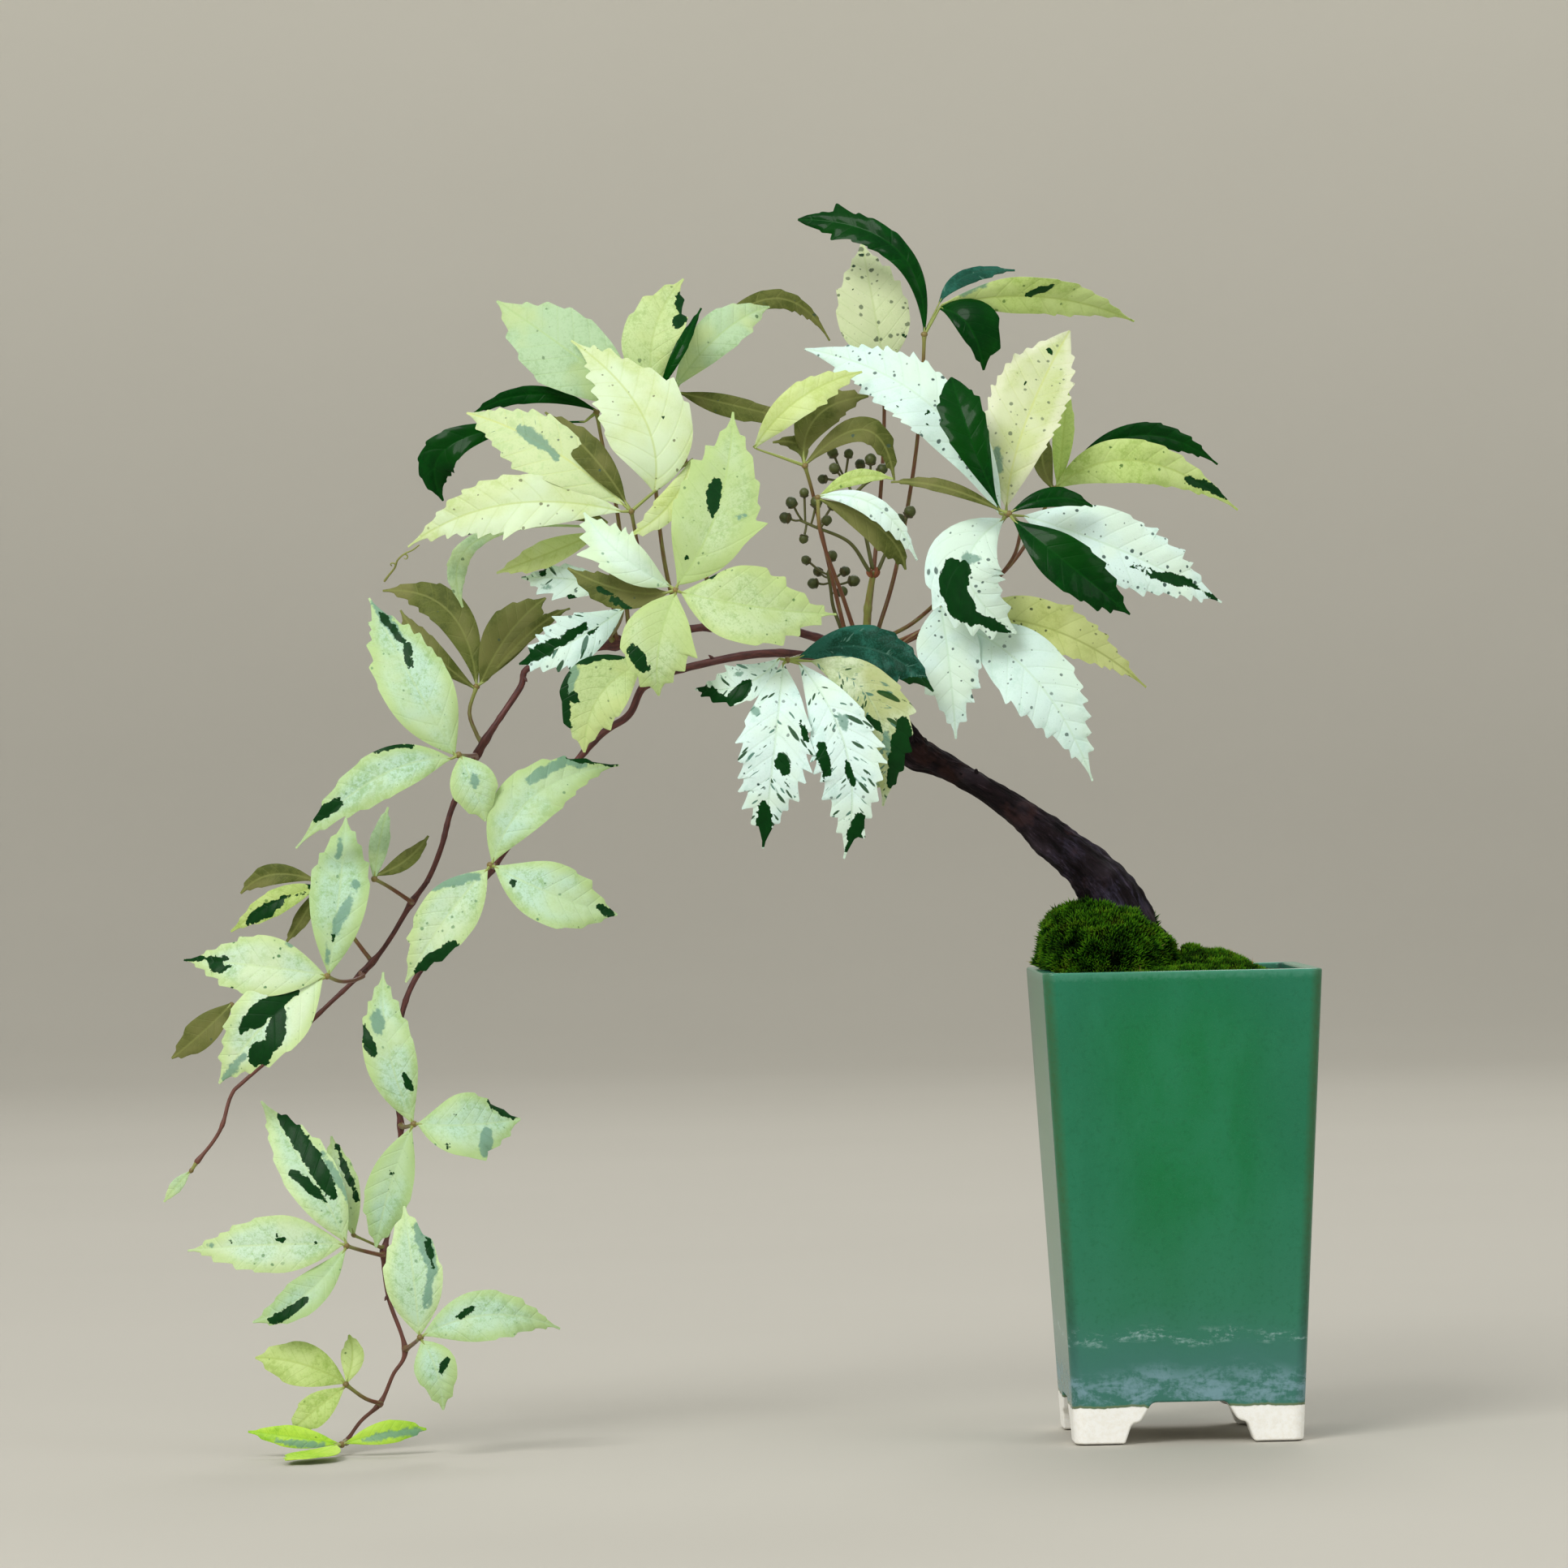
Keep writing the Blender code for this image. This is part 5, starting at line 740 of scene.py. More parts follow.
def leaf_materials():
    """For each look the upper skin and the underside."""
    snow = dict(ground=rgb(222, 247, 240), second=rgb(198, 230, 218), mottle=0.40, mottle_scale=0.3,
                warm=rgb(222, 244, 224), vein=rgb(202, 230, 206), soft=0.03, sheen=0.10)
    looks = {
        "white": dict(snow, speck=0.72, speck_size=1.15, rough=0.42),
        "whitepatch": dict(snow, speck=0.75, rough=0.40),
        "mint": dict(snow, ground=rgb(216, 240, 222), second=rgb(190, 222, 190), speck=0.12,
                     speck_col=(110, 150, 120), margin=rgb(206, 230, 184)),
        "patch": dict(snow, ground=rgb(224, 248, 243), second=rgb(196, 228, 220), speck=0.5, dash=0.50, grey_patch=0.30, rough=0.38),
        "patchdark": dict(ground=rgb(214, 228, 196), second=rgb(164, 186, 140), mottle=0.7, mottle_scale=0.35,
                          speck=0.4, dash=0.5, grey_patch=0.6, warm=rgb(176, 184, 112), vein=rgb(190, 206, 160), rough=0.38),
        "cream": dict(ground=rgb(210, 227, 174), second=rgb(192, 212, 142), mottle=0.5, mottle_scale=0.45,
                      speck=0.28, speck_col=(92, 92, 60), warm=rgb(218, 238, 206), vein=rgb(190, 208, 130), rough=0.42),
        "creamspeck": dict(ground=rgb(204, 216, 158), second=rgb(184, 200, 130), mottle=0.5, mottle_scale=0.5,
                           speck=0.75, speck_size=1.05, speck_col=(72, 92, 70), warm=rgb(218, 226, 190),
                           vein=rgb(204, 214, 134), margin=rgb(236, 240, 214), rough=0.42),
        "creamspot": dict(ground=rgb(204, 216, 172), second=rgb(182, 200, 146), mottle=0.4, mottle_scale=0.5,
                          speck=0.62, speck_size=1.7, speck_col=(22, 56, 34), warm=rgb(210, 220, 180),
                          vein=rgb(188, 204, 148), rough=0.42),
        "creamblue": dict(ground=rgb(210, 226, 174), second=rgb(184, 210, 150), mottle=0.5, mottle_scale=0.5,
                          speck=0.3, grey_patch=0.15, vein=rgb(206, 218, 132), rough=0.42),
        "creamolive": dict(ground=rgb(196, 206, 130), second=rgb(172, 184, 104), mottle=0.5, mottle_scale=0.5,
                           speck=0.60, speck_size=1.2, speck_col=(70, 84, 52), warm=rgb(220, 230, 160), vein=rgb(160, 172, 92), rough=0.5),
        "yellow": dict(ground=rgb(207, 224, 150), second=rgb(188, 208, 120), mottle=0.4, mottle_scale=0.5,
                       speck=0.08, speck_col=(110, 110, 60), warm=rgb(216, 232, 184), vein=rgb(184, 204, 114), rough=0.42),
        "yellowgreen": dict(ground=rgb(192, 214, 132), second=rgb(158, 186, 92), mottle=0.7, mottle_scale=0.6,
                            speck=0.30, speck_col=(84, 120, 50), warm=rgb(206, 224, 154), vein=rgb(172, 194, 104), rough=0.42),
        "lightgreen": dict(ground=rgb(196, 220, 128), second=rgb(164, 196, 100), mottle=0.6, mottle_scale=0.6,
                           speck=0.15, vein=rgb(174, 200, 100), rough=0.42),
        "pale": dict(ground=rgb(184, 212, 172), second=rgb(156, 188, 140), mottle=0.6, mottle_scale=0.8,
                     speck=0.12, speck_col=(90, 120, 80), warm=rgb(198, 216, 150), vein=rgb(174, 202, 140), rough=0.44),
        "palepatch": dict(ground=rgb(204, 224, 164), second=rgb(168, 194, 126), mottle=0.7, mottle_scale=0.8,
                          speck=0.22, speck_col=(84, 112, 66), warm=rgb(206, 220, 146), vein=rgb(180, 202, 130), rough=0.42),
        "apple": dict(ground=rgb(196, 217, 168), second=rgb(156, 186, 122), mottle=0.7, mottle_scale=0.8,
                      speck=0.30, speck_col=(96, 130, 76), speck_size=0.8, warm=rgb(184, 206, 138), vein=rgb(176, 202, 130),
                      margin=rgb(190, 212, 140), rough=0.42),
        "mottle": dict(ground=rgb(190, 222, 200), second=rgb(148, 186, 130), mottle=0.7, mottle_scale=0.75,
                       speck=0.40, speck_col=(104, 144, 104), speck_size=0.8, warm=rgb(194, 218, 166), vein=rgb(186, 214, 166),
                       margin=rgb(180, 206, 134), rough=0.42),
        "mottlepatch": dict(ground=rgb(202, 228, 202), second=rgb(154, 190, 132), mottle=0.68, mottle_scale=0.75,
                            speck=0.50, speck_col=(96, 138, 92), warm=rgb(214, 232, 188), vein=rgb(196, 220, 168),
                            margin=rgb(196, 218, 146), rough=0.42),
        "mottlepatch2": dict(ground=rgb(202, 230, 206), second=rgb(160, 196, 142), mottle=0.64, mottle_scale=0.75,
                             speck=0.30, speck_col=(110, 150, 104), warm=rgb(220, 238, 196), vein=rgb(202, 226, 172),
                             margin=rgb(200, 224, 150), rough=0.42),
        "stripe": dict(ground=rgb(194, 224, 194), second=rgb(150, 188, 130), mottle=0.7, mottle_scale=0.75,
                       speck=0.25, speck_col=(104, 144, 104), vein=rgb(196, 222, 172), margin=rgb(204, 226, 160), rough=0.42),
        "olive": dict(ground=rgb(102, 110, 54), second=rgb(74, 84, 34), mottle=0.6, mottle_scale=0.4,
                      speck=0.12, warm=rgb(130, 130, 78), vein=rgb(136, 142, 80), rough=0.55, sheen=0.12),
        "teal": dict(ground=rgb(10, 62, 44), second=rgb(40, 104, 88), mottle=0.7, mottle_scale=0.3,
                     speck=0.0, grey_patch=0.45, vein=rgb(34, 92, 74), rough=0.34, coat=0.10, sheen=0.10),
        "dark": dict(ground=rgb(0, 48, 8), second=rgb(4, 70, 14), mottle=0.5, mottle_scale=0.2,
                     speck=0.0, warm=rgb(6, 64, 8), vein=rgb(8, 72, 14), rough=0.34, coat=0.07, sheen=0.05),
        "lime": dict(ground=rgb(178, 220, 66), second=rgb(124, 182, 44), mottle=0.6, mottle_scale=0.5,
                     speck=0.12, speck_col=(70, 110, 30), warm=rgb(198, 230, 92), vein=rgb(156, 206, 64), rough=0.40),
    }
    made = {}
    for look, spec in looks.items():
        face = leaf_material("leaf_" + look, **spec)
        u = dict(spec)
        u["coat"] = 0.0
        u["rough"] = 0.58
        u["sheen"] = 0.2
        u["speck"] = spec.get("speck", 0) * 0.5
        for key in ("ground", "second"):
            u[key] = tuple(0.82 * c + 0.18 * k for c, k in zip(u[key], rgb(150, 160, 110)))
        if look in ("dark", "teal"):
            u["ground"], u["second"], u["warm"] = rgb(92, 114, 62), rgb(74, 98, 46), rgb(108, 126, 72)
            u["vein"] = rgb(130, 148, 90)
        if look == "olive":
            u = dict(ground=rgb(186, 208, 140), second=rgb(150, 178, 106), mottle=0.6, mottle_scale=0.8,
                     speck=0.2, vein=rgb(170, 192, 118), rough=0.42)
            made[look] = (face, leaf_material("leaf_olive_top", **u))
            continue
        made[look] = (face, leaf_material("leaf_" + look + "_under", under=True, **u))
    return made


def stalk_material(name, a, b, tipc, rough=0.45):
    """Smooth petiole skin: a and b along it, tipc near the leaflets."""
    n = Nodes(name, rough)
    n.bsdf.inputs["Subsurface Weight"].default_value = 0.05
    n.bsdf.inputs["Subsurface Scale"].default_value = 0.0008
    al, s, u, v = n.attr("along")
    _, t1, t2, t3 = n.attr("tint")
    grain = n.noise(n.vec("MULTIPLY", al, (0.35, 2.0, 2.0)), 1.0, 4.0, 0.6)
    col = n.mix(n.step(n.add(grain, n.mul(t1, 0.25)), 0.42, 0.72), a, b)
    col = n.mix(t2, col, tipc)
    return n.done(col, n.add(rough - 0.06, n.mul(grain, 0.15)), n.bump(grain, 0.4, 0.00015))


def bark_material():
    n = Nodes("old_bark", 0.78)
    n.bsdf.inputs["Specular IOR Level"].default_value = 0.12
    al, s, u, v = n.attr("along")
    _, ridge, t2, t3 = n.attr("tint")
    long_ = n.noise(n.vec("MULTIPLY", al, (0.13, 0.75, 0.75)), 1.0, 6.0, 0.68, 0.9)
    fine = n.noise(n.vec("MULTIPLY", al, (0.8, 2.4, 2.4)), 1.0, 5.0, 0.7)
    blob = n.noise(al, 0.16, 3.0, 0.6)
    col = n.mix(n.step(long_, 0.34, 0.72), rgb(5, 2, 4), rgb(34, 23, 27))
    # lighter lavender-grey streaks along the grain: partly the bark's own colour and partly painted highlight
    col = n.mix(n.mul(n.step(n.add(long_, n.mul(fine, 0.35)), 0.76, 0.88), 0.36), col, rgb(92, 78, 88))
    col = n.mix(n.mul(n.step(blob, 0.50, 0.66), 0.45), col, rgb(62, 38, 34))
    col = n.mix(n.mul(ridge, 0.22), col, rgb(80, 68, 78))
    # painted highlight: bluish-grey patches on the pale bands of the trunk
    painted_highlight = n.mul(t2, n.step(n.add(n.mul(blob, 0.5), n.add(n.mul(long_, 0.5), n.mul(fine, 0.25))), 0.56, 0.76))
    col = n.mix(n.mul(painted_highlight, 0.50), col, rgb(78, 78, 104))
    h = n.add(n.mul(long_, 1.0), n.mul(fine, 0.5))
    return n.done(col, n.add(0.60, n.mul(fine, 0.25)), n.bump(h, 0.8, 0.0009))


def moss_material(name, low, mid, tip, straw):
    n = Nodes(name, 0.75)
    n.bsdf.inputs["Specular IOR Level"].default_value = 0.06
    n.bsdf.inputs["Subsurface Weight"].default_value = 0.04
    n.bsdf.inputs["Subsurface Scale"].default_value = 0.0008
    _, rise, rnd, dry = n.attr("tint")
    pos = n.mm()[0]
    patchy = n.noise(pos, 0.16, 3.0, 0.6)
    clump = n.noise(pos, 0.42, 3.0, 0.6)
    # painted shade: each shoot is near black at its foot (low), and shoots in the hollows between hummocks stay dark
    # green, as shade deep in the cushion
    col = n.mix(n.step(rise, 0.0, 0.50), low, n.mix(n.step(n.add(n.mul(clump, 0.6), n.mul(rnd, 0.6)), 0.35, 0.85), rgb(2, 20, 1), mid))
    # tips on the hummocks take the light tip colour, partly the moss's own paler tips and partly painted light
    lift = n.mul(n.step(rise, 0.45, 1.0), n.step(n.add(n.mul(rnd, 0.9), n.mul(clump, 0.5)), 0.36, 1.00))
    col = n.mix(lift, col, tip)
    col = n.mix(n.mul(n.step(patchy, 0.54, 0.66), 0.16), col, rgb(96, 88, 18))
    # painted shade: dark patches spread at random over the moss
    col = n.mix(n.mul(n.step(patchy, 0.54, 0.38), 0.60), col, rgb(1, 12, 1))
    # lighter yellow-green tips in some patches, partly the moss's own colour and partly painted light
    col = n.mix(n.mul(n.mul(lift, n.step(patchy, 0.46, 0.62)), 0.60), col, rgb(112, 158, 30))
    col = n.mix(dry, col, straw)
    fine = n.noise(pos, 2.0, 3.0)
    return n.done(col, 0.75, n.bump(fine, 0.3, 0.0003))


def glaze_material():
    """Green glaze over cream clay, bare below a wavy line at the feet."""
    n = Nodes("green_glaze", 0.2)
    n.bsdf.inputs["Coat Weight"].default_value = 0.10
    n.bsdf.inputs["Coat Roughness"].default_value = 0.10
    n.bsdf.inputs["Specular IOR Level"].default_value = 0.22
    pos, x, y, z = n.mm()
    soft = n.noise(pos, 0.030, 3.0, 0.55)
    cloud = n.noise(n.vec("MULTIPLY", pos, (0.045, 0.045, 0.022)), 1.0, 5.0, 0.6, 0.4)
    fine = n.noise(pos, 0.9, 4.0, 0.6)
    tiny = n.noise(pos, 4.5, 2.0, 0.6)
    ax, ay = n.math("ABSOLUTE", x), n.math("ABSOLUTE", y)
    # saturated green in the middle of each face, bluer and greyer outwards
    away = n.math("MINIMUM", ax, ay)
    away = n.math("SUBTRACT", n.math("ABSOLUTE", n.add(away, 3.0)), 0.0)
    col = n.mix(n.step(n.add(away, n.mul(soft, 16.0)), 14.0, 42.0), rgb(9, 112, 60), rgb(30, 112, 80))
    col = n.mix(n.mul(n.step(cloud, 0.40, 0.66), 0.5), col, rgb(40, 126, 92))
    col = n.mix(n.mul(n.step(z, 66.0, 18.0), 0.70), col, rgb(54, 120, 98))
    col = n.mix(n.mul(n.step(z, 92.0, 108.0), 0.30), col, rgb(24, 108, 84))
    col = n.mix(n.mul(n.step(fine, 0.50, 0.72), 0.25), col, rgb(16, 88, 54))
    col = n.mix(n.mul(n.step(tiny, 0.54, 0.66), 0.22), col, rgb(56, 134, 94))
    # the rim is painted lighter, partly as thinned glaze and partly as painted highlight; the glaze also thins on the
    # upright corners
    rim = n.mul(n.step(n.add(z, n.mul(n.math("SUBTRACT", fine, 0.5), 2.2)), 107.6, 109.7), n.add(0.45, n.mul(fine, 0.5)))
    col = n.mix(n.mul(rim, 0.62), col, rgb(92, 158, 136))
    half = n.add(26.8, n.mul(z, 0.05318))
    both = n.math("MAXIMUM", n.math("SUBTRACT", half, ax), n.math("SUBTRACT", half, ay))
    up = n.mul(n.step(both, 3.2, 1.0), n.add(0.25, n.mul(fine, 0.8)))
    col = n.mix(n.mul(up, 0.8), col, n.mix(n.step(z, 60.0, 20.0), rgb(62, 92, 54), rgb(28, 58, 44)))
    # pale haze where the glaze has run thick near the feet
    run = n.noise(n.vec("MULTIPLY", pos, (0.10, 0.10, 0.24)), 1.0, 5.0, 0.66, 0.9)
    wave = n.mul(n.math("SUBTRACT", n.noise(pos, 0.07, 2.0), 0.5), 9.0)
    zz = n.add(z, wave)
    band = n.mul(n.step(zz, 33.0, 17.0), n.step(z, 7.5, 10.0))
    col = n.mix(n.mul(band, 0.72), col, rgb(66, 118, 112))
    low = n.mul(n.step(zz, 20.0, 12.5), n.step(z, 8.3, 10.0))
    low = n.mul(low, n.step(n.add(run, n.mul(n.math("SUBTRACT", fine, 0.5), 0.5)), 0.36, 0.66))
    col = n.mix(n.mul(low, 0.70), col, rgb(134, 168, 184))
    top_edge = n.mul(n.step(zz, 27.5, 25.2), n.step(zz, 23.2, 24.8))
    streak = n.mul(top_edge, n.step(n.add(n.noise(n.vec("MULTIPLY", pos, (0.14, 0.14, 0.5)), 1.0, 5.0, 0.7, 0.6), n.mul(n.math("SUBTRACT", fine, 0.5), 0.5)), 0.46, 0.70))
    col = n.mix(n.mul(streak, 0.65), col, rgb(160, 192, 192))
    # bare clay
    line = n.add(8.4, n.mul(n.math("SUBTRACT", n.noise(n.vec("MULTIPLY", pos, (0.16, 0.16, 0.0)), 1.0, 3.0, 0.6), 0.5), 2.4))
    gap = n.math("SUBTRACT", z, line)
    bare = n.step(gap, 0.15, -0.15)
    inner = n.step(n.math("MAXIMUM", ax, ay), 25.4, 24.4)
    bare = n.math("MAXIMUM", bare, n.mul(n.step(z, 14.2, 13.8), inner))
    clay = n.mix(n.step(fine, 0.35, 0.7), rgb(253, 253, 250), rgb(246, 244, 237))
    clay = n.mix(n.mul(n.step(tiny, 0.60, 0.72), 0.25), clay, rgb(196, 184, 164))
    lip = n.mul(n.step(n.math("ABSOLUTE", n.math("SUBTRACT", gap, 0.25)), 0.50, 0.1), 0.6)
    col = n.mix(lip, col, rgb(128, 132, 88))
    col = n.mix(bare, col, clay)
    # painted shade: the inner wall just above the soil is darkened, as shade in the recess
    well_shade = n.mul(n.step(n.math("MAXIMUM", ax, ay), 29.4, 28.6), n.step(z, 100.0, 103.0))
    col = n.mix(n.mul(well_shade, 0.75), col, rgb(44, 58, 56))
    rough = n.add(n.mul(bare, 0.60), n.add(0.20, n.mul(n.add(low, n.mul(fine, 0.35)), 0.18)))
    h1 = n.mul(n.noise(pos, 0.10, 2.0), 1.0)
    nor = n.bump(h1, 0.22, 0.0011)
    nor = n.bump(n.add(n.mul(n.step(gap, -0.2, 0.35), 0.9), n.mul(tiny, 0.10)), 0.55, 0.00022, nor)
    return n.done(col, rough, nor)


def plain(name, base, other, scale, rough, bump=0.3, dist=0.0003, metal=0.0, thr=(0.4, 0.65)):
    n = Nodes(name, rough)
    n.bsdf.inputs["Metallic"].default_value = metal
    pos = n.mm()[0]
    f = n.noise(pos, scale, 5.0, 0.65)
    g = n.noise(pos, scale * 4, 3.0, 0.6)
    col = n.mix(n.step(f, *thr), base, other)
    return n.done(col, n.add(rough - 0.08, n.mul(g, 0.16)), n.bump(n.add(f, n.mul(g, 0.4)), bump, dist))


# ================================================================ leaves
def outline(t, tm, p1, p2):
    a = np.sin(np.pi / 2 * np.clip(t / tm, 0, 1)) ** p1
    b = np.maximum(0.0, np.cos(np.pi / 2 * np.clip((t - tm) / (1 - tm), 0, 1))) ** p2
    return np.where(t < tm, a, b)


# how toothed each kind of leaflet is: teeth per 10 mm, height as a share of the
# half width, tallest tooth in mm, where the teeth start
TEETH = {
    "white": (1.3, 0.15, 1.6, 0.42), "whitepatch": (1.4, 0.17, 1.7, 0.38),
    "patch": (1.65, 0.24, 2.2, 0.28), "patchdark": (1.5, 0.18, 1.7, 0.36),
    "mint": (1.2, 0.26, 2.6, 0.40), "cream": (1.25, 0.13, 1.3, 0.36),
    "creamspeck": (1.7, 0.14, 1.3, 0.38), "creamspot": (1.3, 0.10, 1.0, 0.45),
    "creamblue": (1.25, 0.12, 1.1, 0.38), "creamolive": (1.2, 0.13, 1.2, 0.5),
    "yellow": (1.2, 0.16, 1.2, 0.42), "dark": (1.1, 0.13, 1.0, 0.42), "teal": (1.2, 0.12, 0.9, 0.40),
    "apple": (1.1, 0.13, 1.5, 0.38), "olive": (1.1, 0.13, 0.9, 0.45),
}
# one large tooth standing out of a margin: side, t, height in mm
BIG_TEETH = {
    "A1": [(1, 0.42, 3.0)], "A4": [(-1, 0.62, 3.2), (1, 0.50, 1.6)], "A2": [(-1, 0.62, 1.6)],
    "A3": [(-1, 0.55, 2.0)], "T1": [(1, 0.86, 2.4), (-1, 0.80, 1.6)], "B2": [(-1, 0.46, 2.2)],
    "R3b": [(1, 0.45, 1.5)], "K3": [(-1, 0.62, 1.4)], "R3c": [(-1, 0.5, 1.4)],
    "T3": [(1, 0.42, 1.6)], "X2": [(1, 0.62, 1.6)], "P2": [(-1, 0.72, 1.2)],
}
# leaflets whose tips are drawn out: (widest place, closing power)
DRAWN = {
    "A2": (0.42, 1.75), "R3b": (0.42, 1.45), "R3a": (0.40, 1.35), "R1f": (0.40, 1.30), "A1": (0.46, 1.3),
    "Z2": (0.42, 1.4), "B1": (0.40, 1.35), "B2": (0.45, 1.5), "C2": (0.46, 1.25), "C3": (0.46, 1.25),
    "R3c": (0.42, 1.5), "T2": (0.45, 1.0), "P1": (0.42, 1.3), "P3": (0.45, 1.25), "U2": (0.45, 1.4),
    "Y3": (0.40, 1.4), "N2": (0.42, 1.4), "N1": (0.45, 1.3), "U3": (0.42, 1.2), "X1": (0.42, 1.3),
    "R2a": (0.42, 1.2), "T4": (0.45, 1.3), "Z1": (0.45, 1.3), "Z3": (0.42, 1.2), "A3": (0.45, 1.3),
}


def tooth_plan(length, wide, label, look, side, rng):
    """Where the forward-pointing teeth of one margin sit along a leaflet:
    (valley, crest, next valley, height in mm)."""
    if length < 8:
        return []
    per, share, top, first = TEETH.get(look, (1.0, 0.10, 1.0, 0.42))
    count = int(np.clip(round(length / 10 * per), 2, 9))
    t = first + rng.uniform(-0.05, 0.06)
    end = rng.uniform(0.87, 0.93)
    steps = np.array([1.25 - 0.5 * k / count + rng.uniform(-0.35, 0.35) for k in range(count)])
    steps = steps / steps.sum() * (end - t)
    rows = []
    for k, st in enumerate(steps):
        h = min(share * wide, top) * rng.uniform(0.45, 1.25) * (1.0 if k else 0.6)
        h *= 0.70 + 0.45 * math.sin(math.pi * (k + 1) / (count + 1))
        for sd, at, big in BIG_TEETH.get(label, []):
            if sd == side and t <= at < t + st:
                h = big
        rows.append((t, t + st * rng.uniform(0.66, 0.80), t + st, h))
        t += st
    return rows


def tooth(t, rows):
    """Height and forward reach of the margin at t."""
    for a, c, b, h in rows:
        if a <= t <= b:
            if t <= c:
                f = ((t - a) / (c - a)) ** 1.45
            else:
                f = max(0.0, 1 - (t - c) / (b - c)) ** 0.8
            return h * f
    return 0.0


COLS = np.array([-1, -.9, -.74, -.56, -.38, -.2, -.07, 0, .07, .2, .38, .56, .74, .9, 1.0])


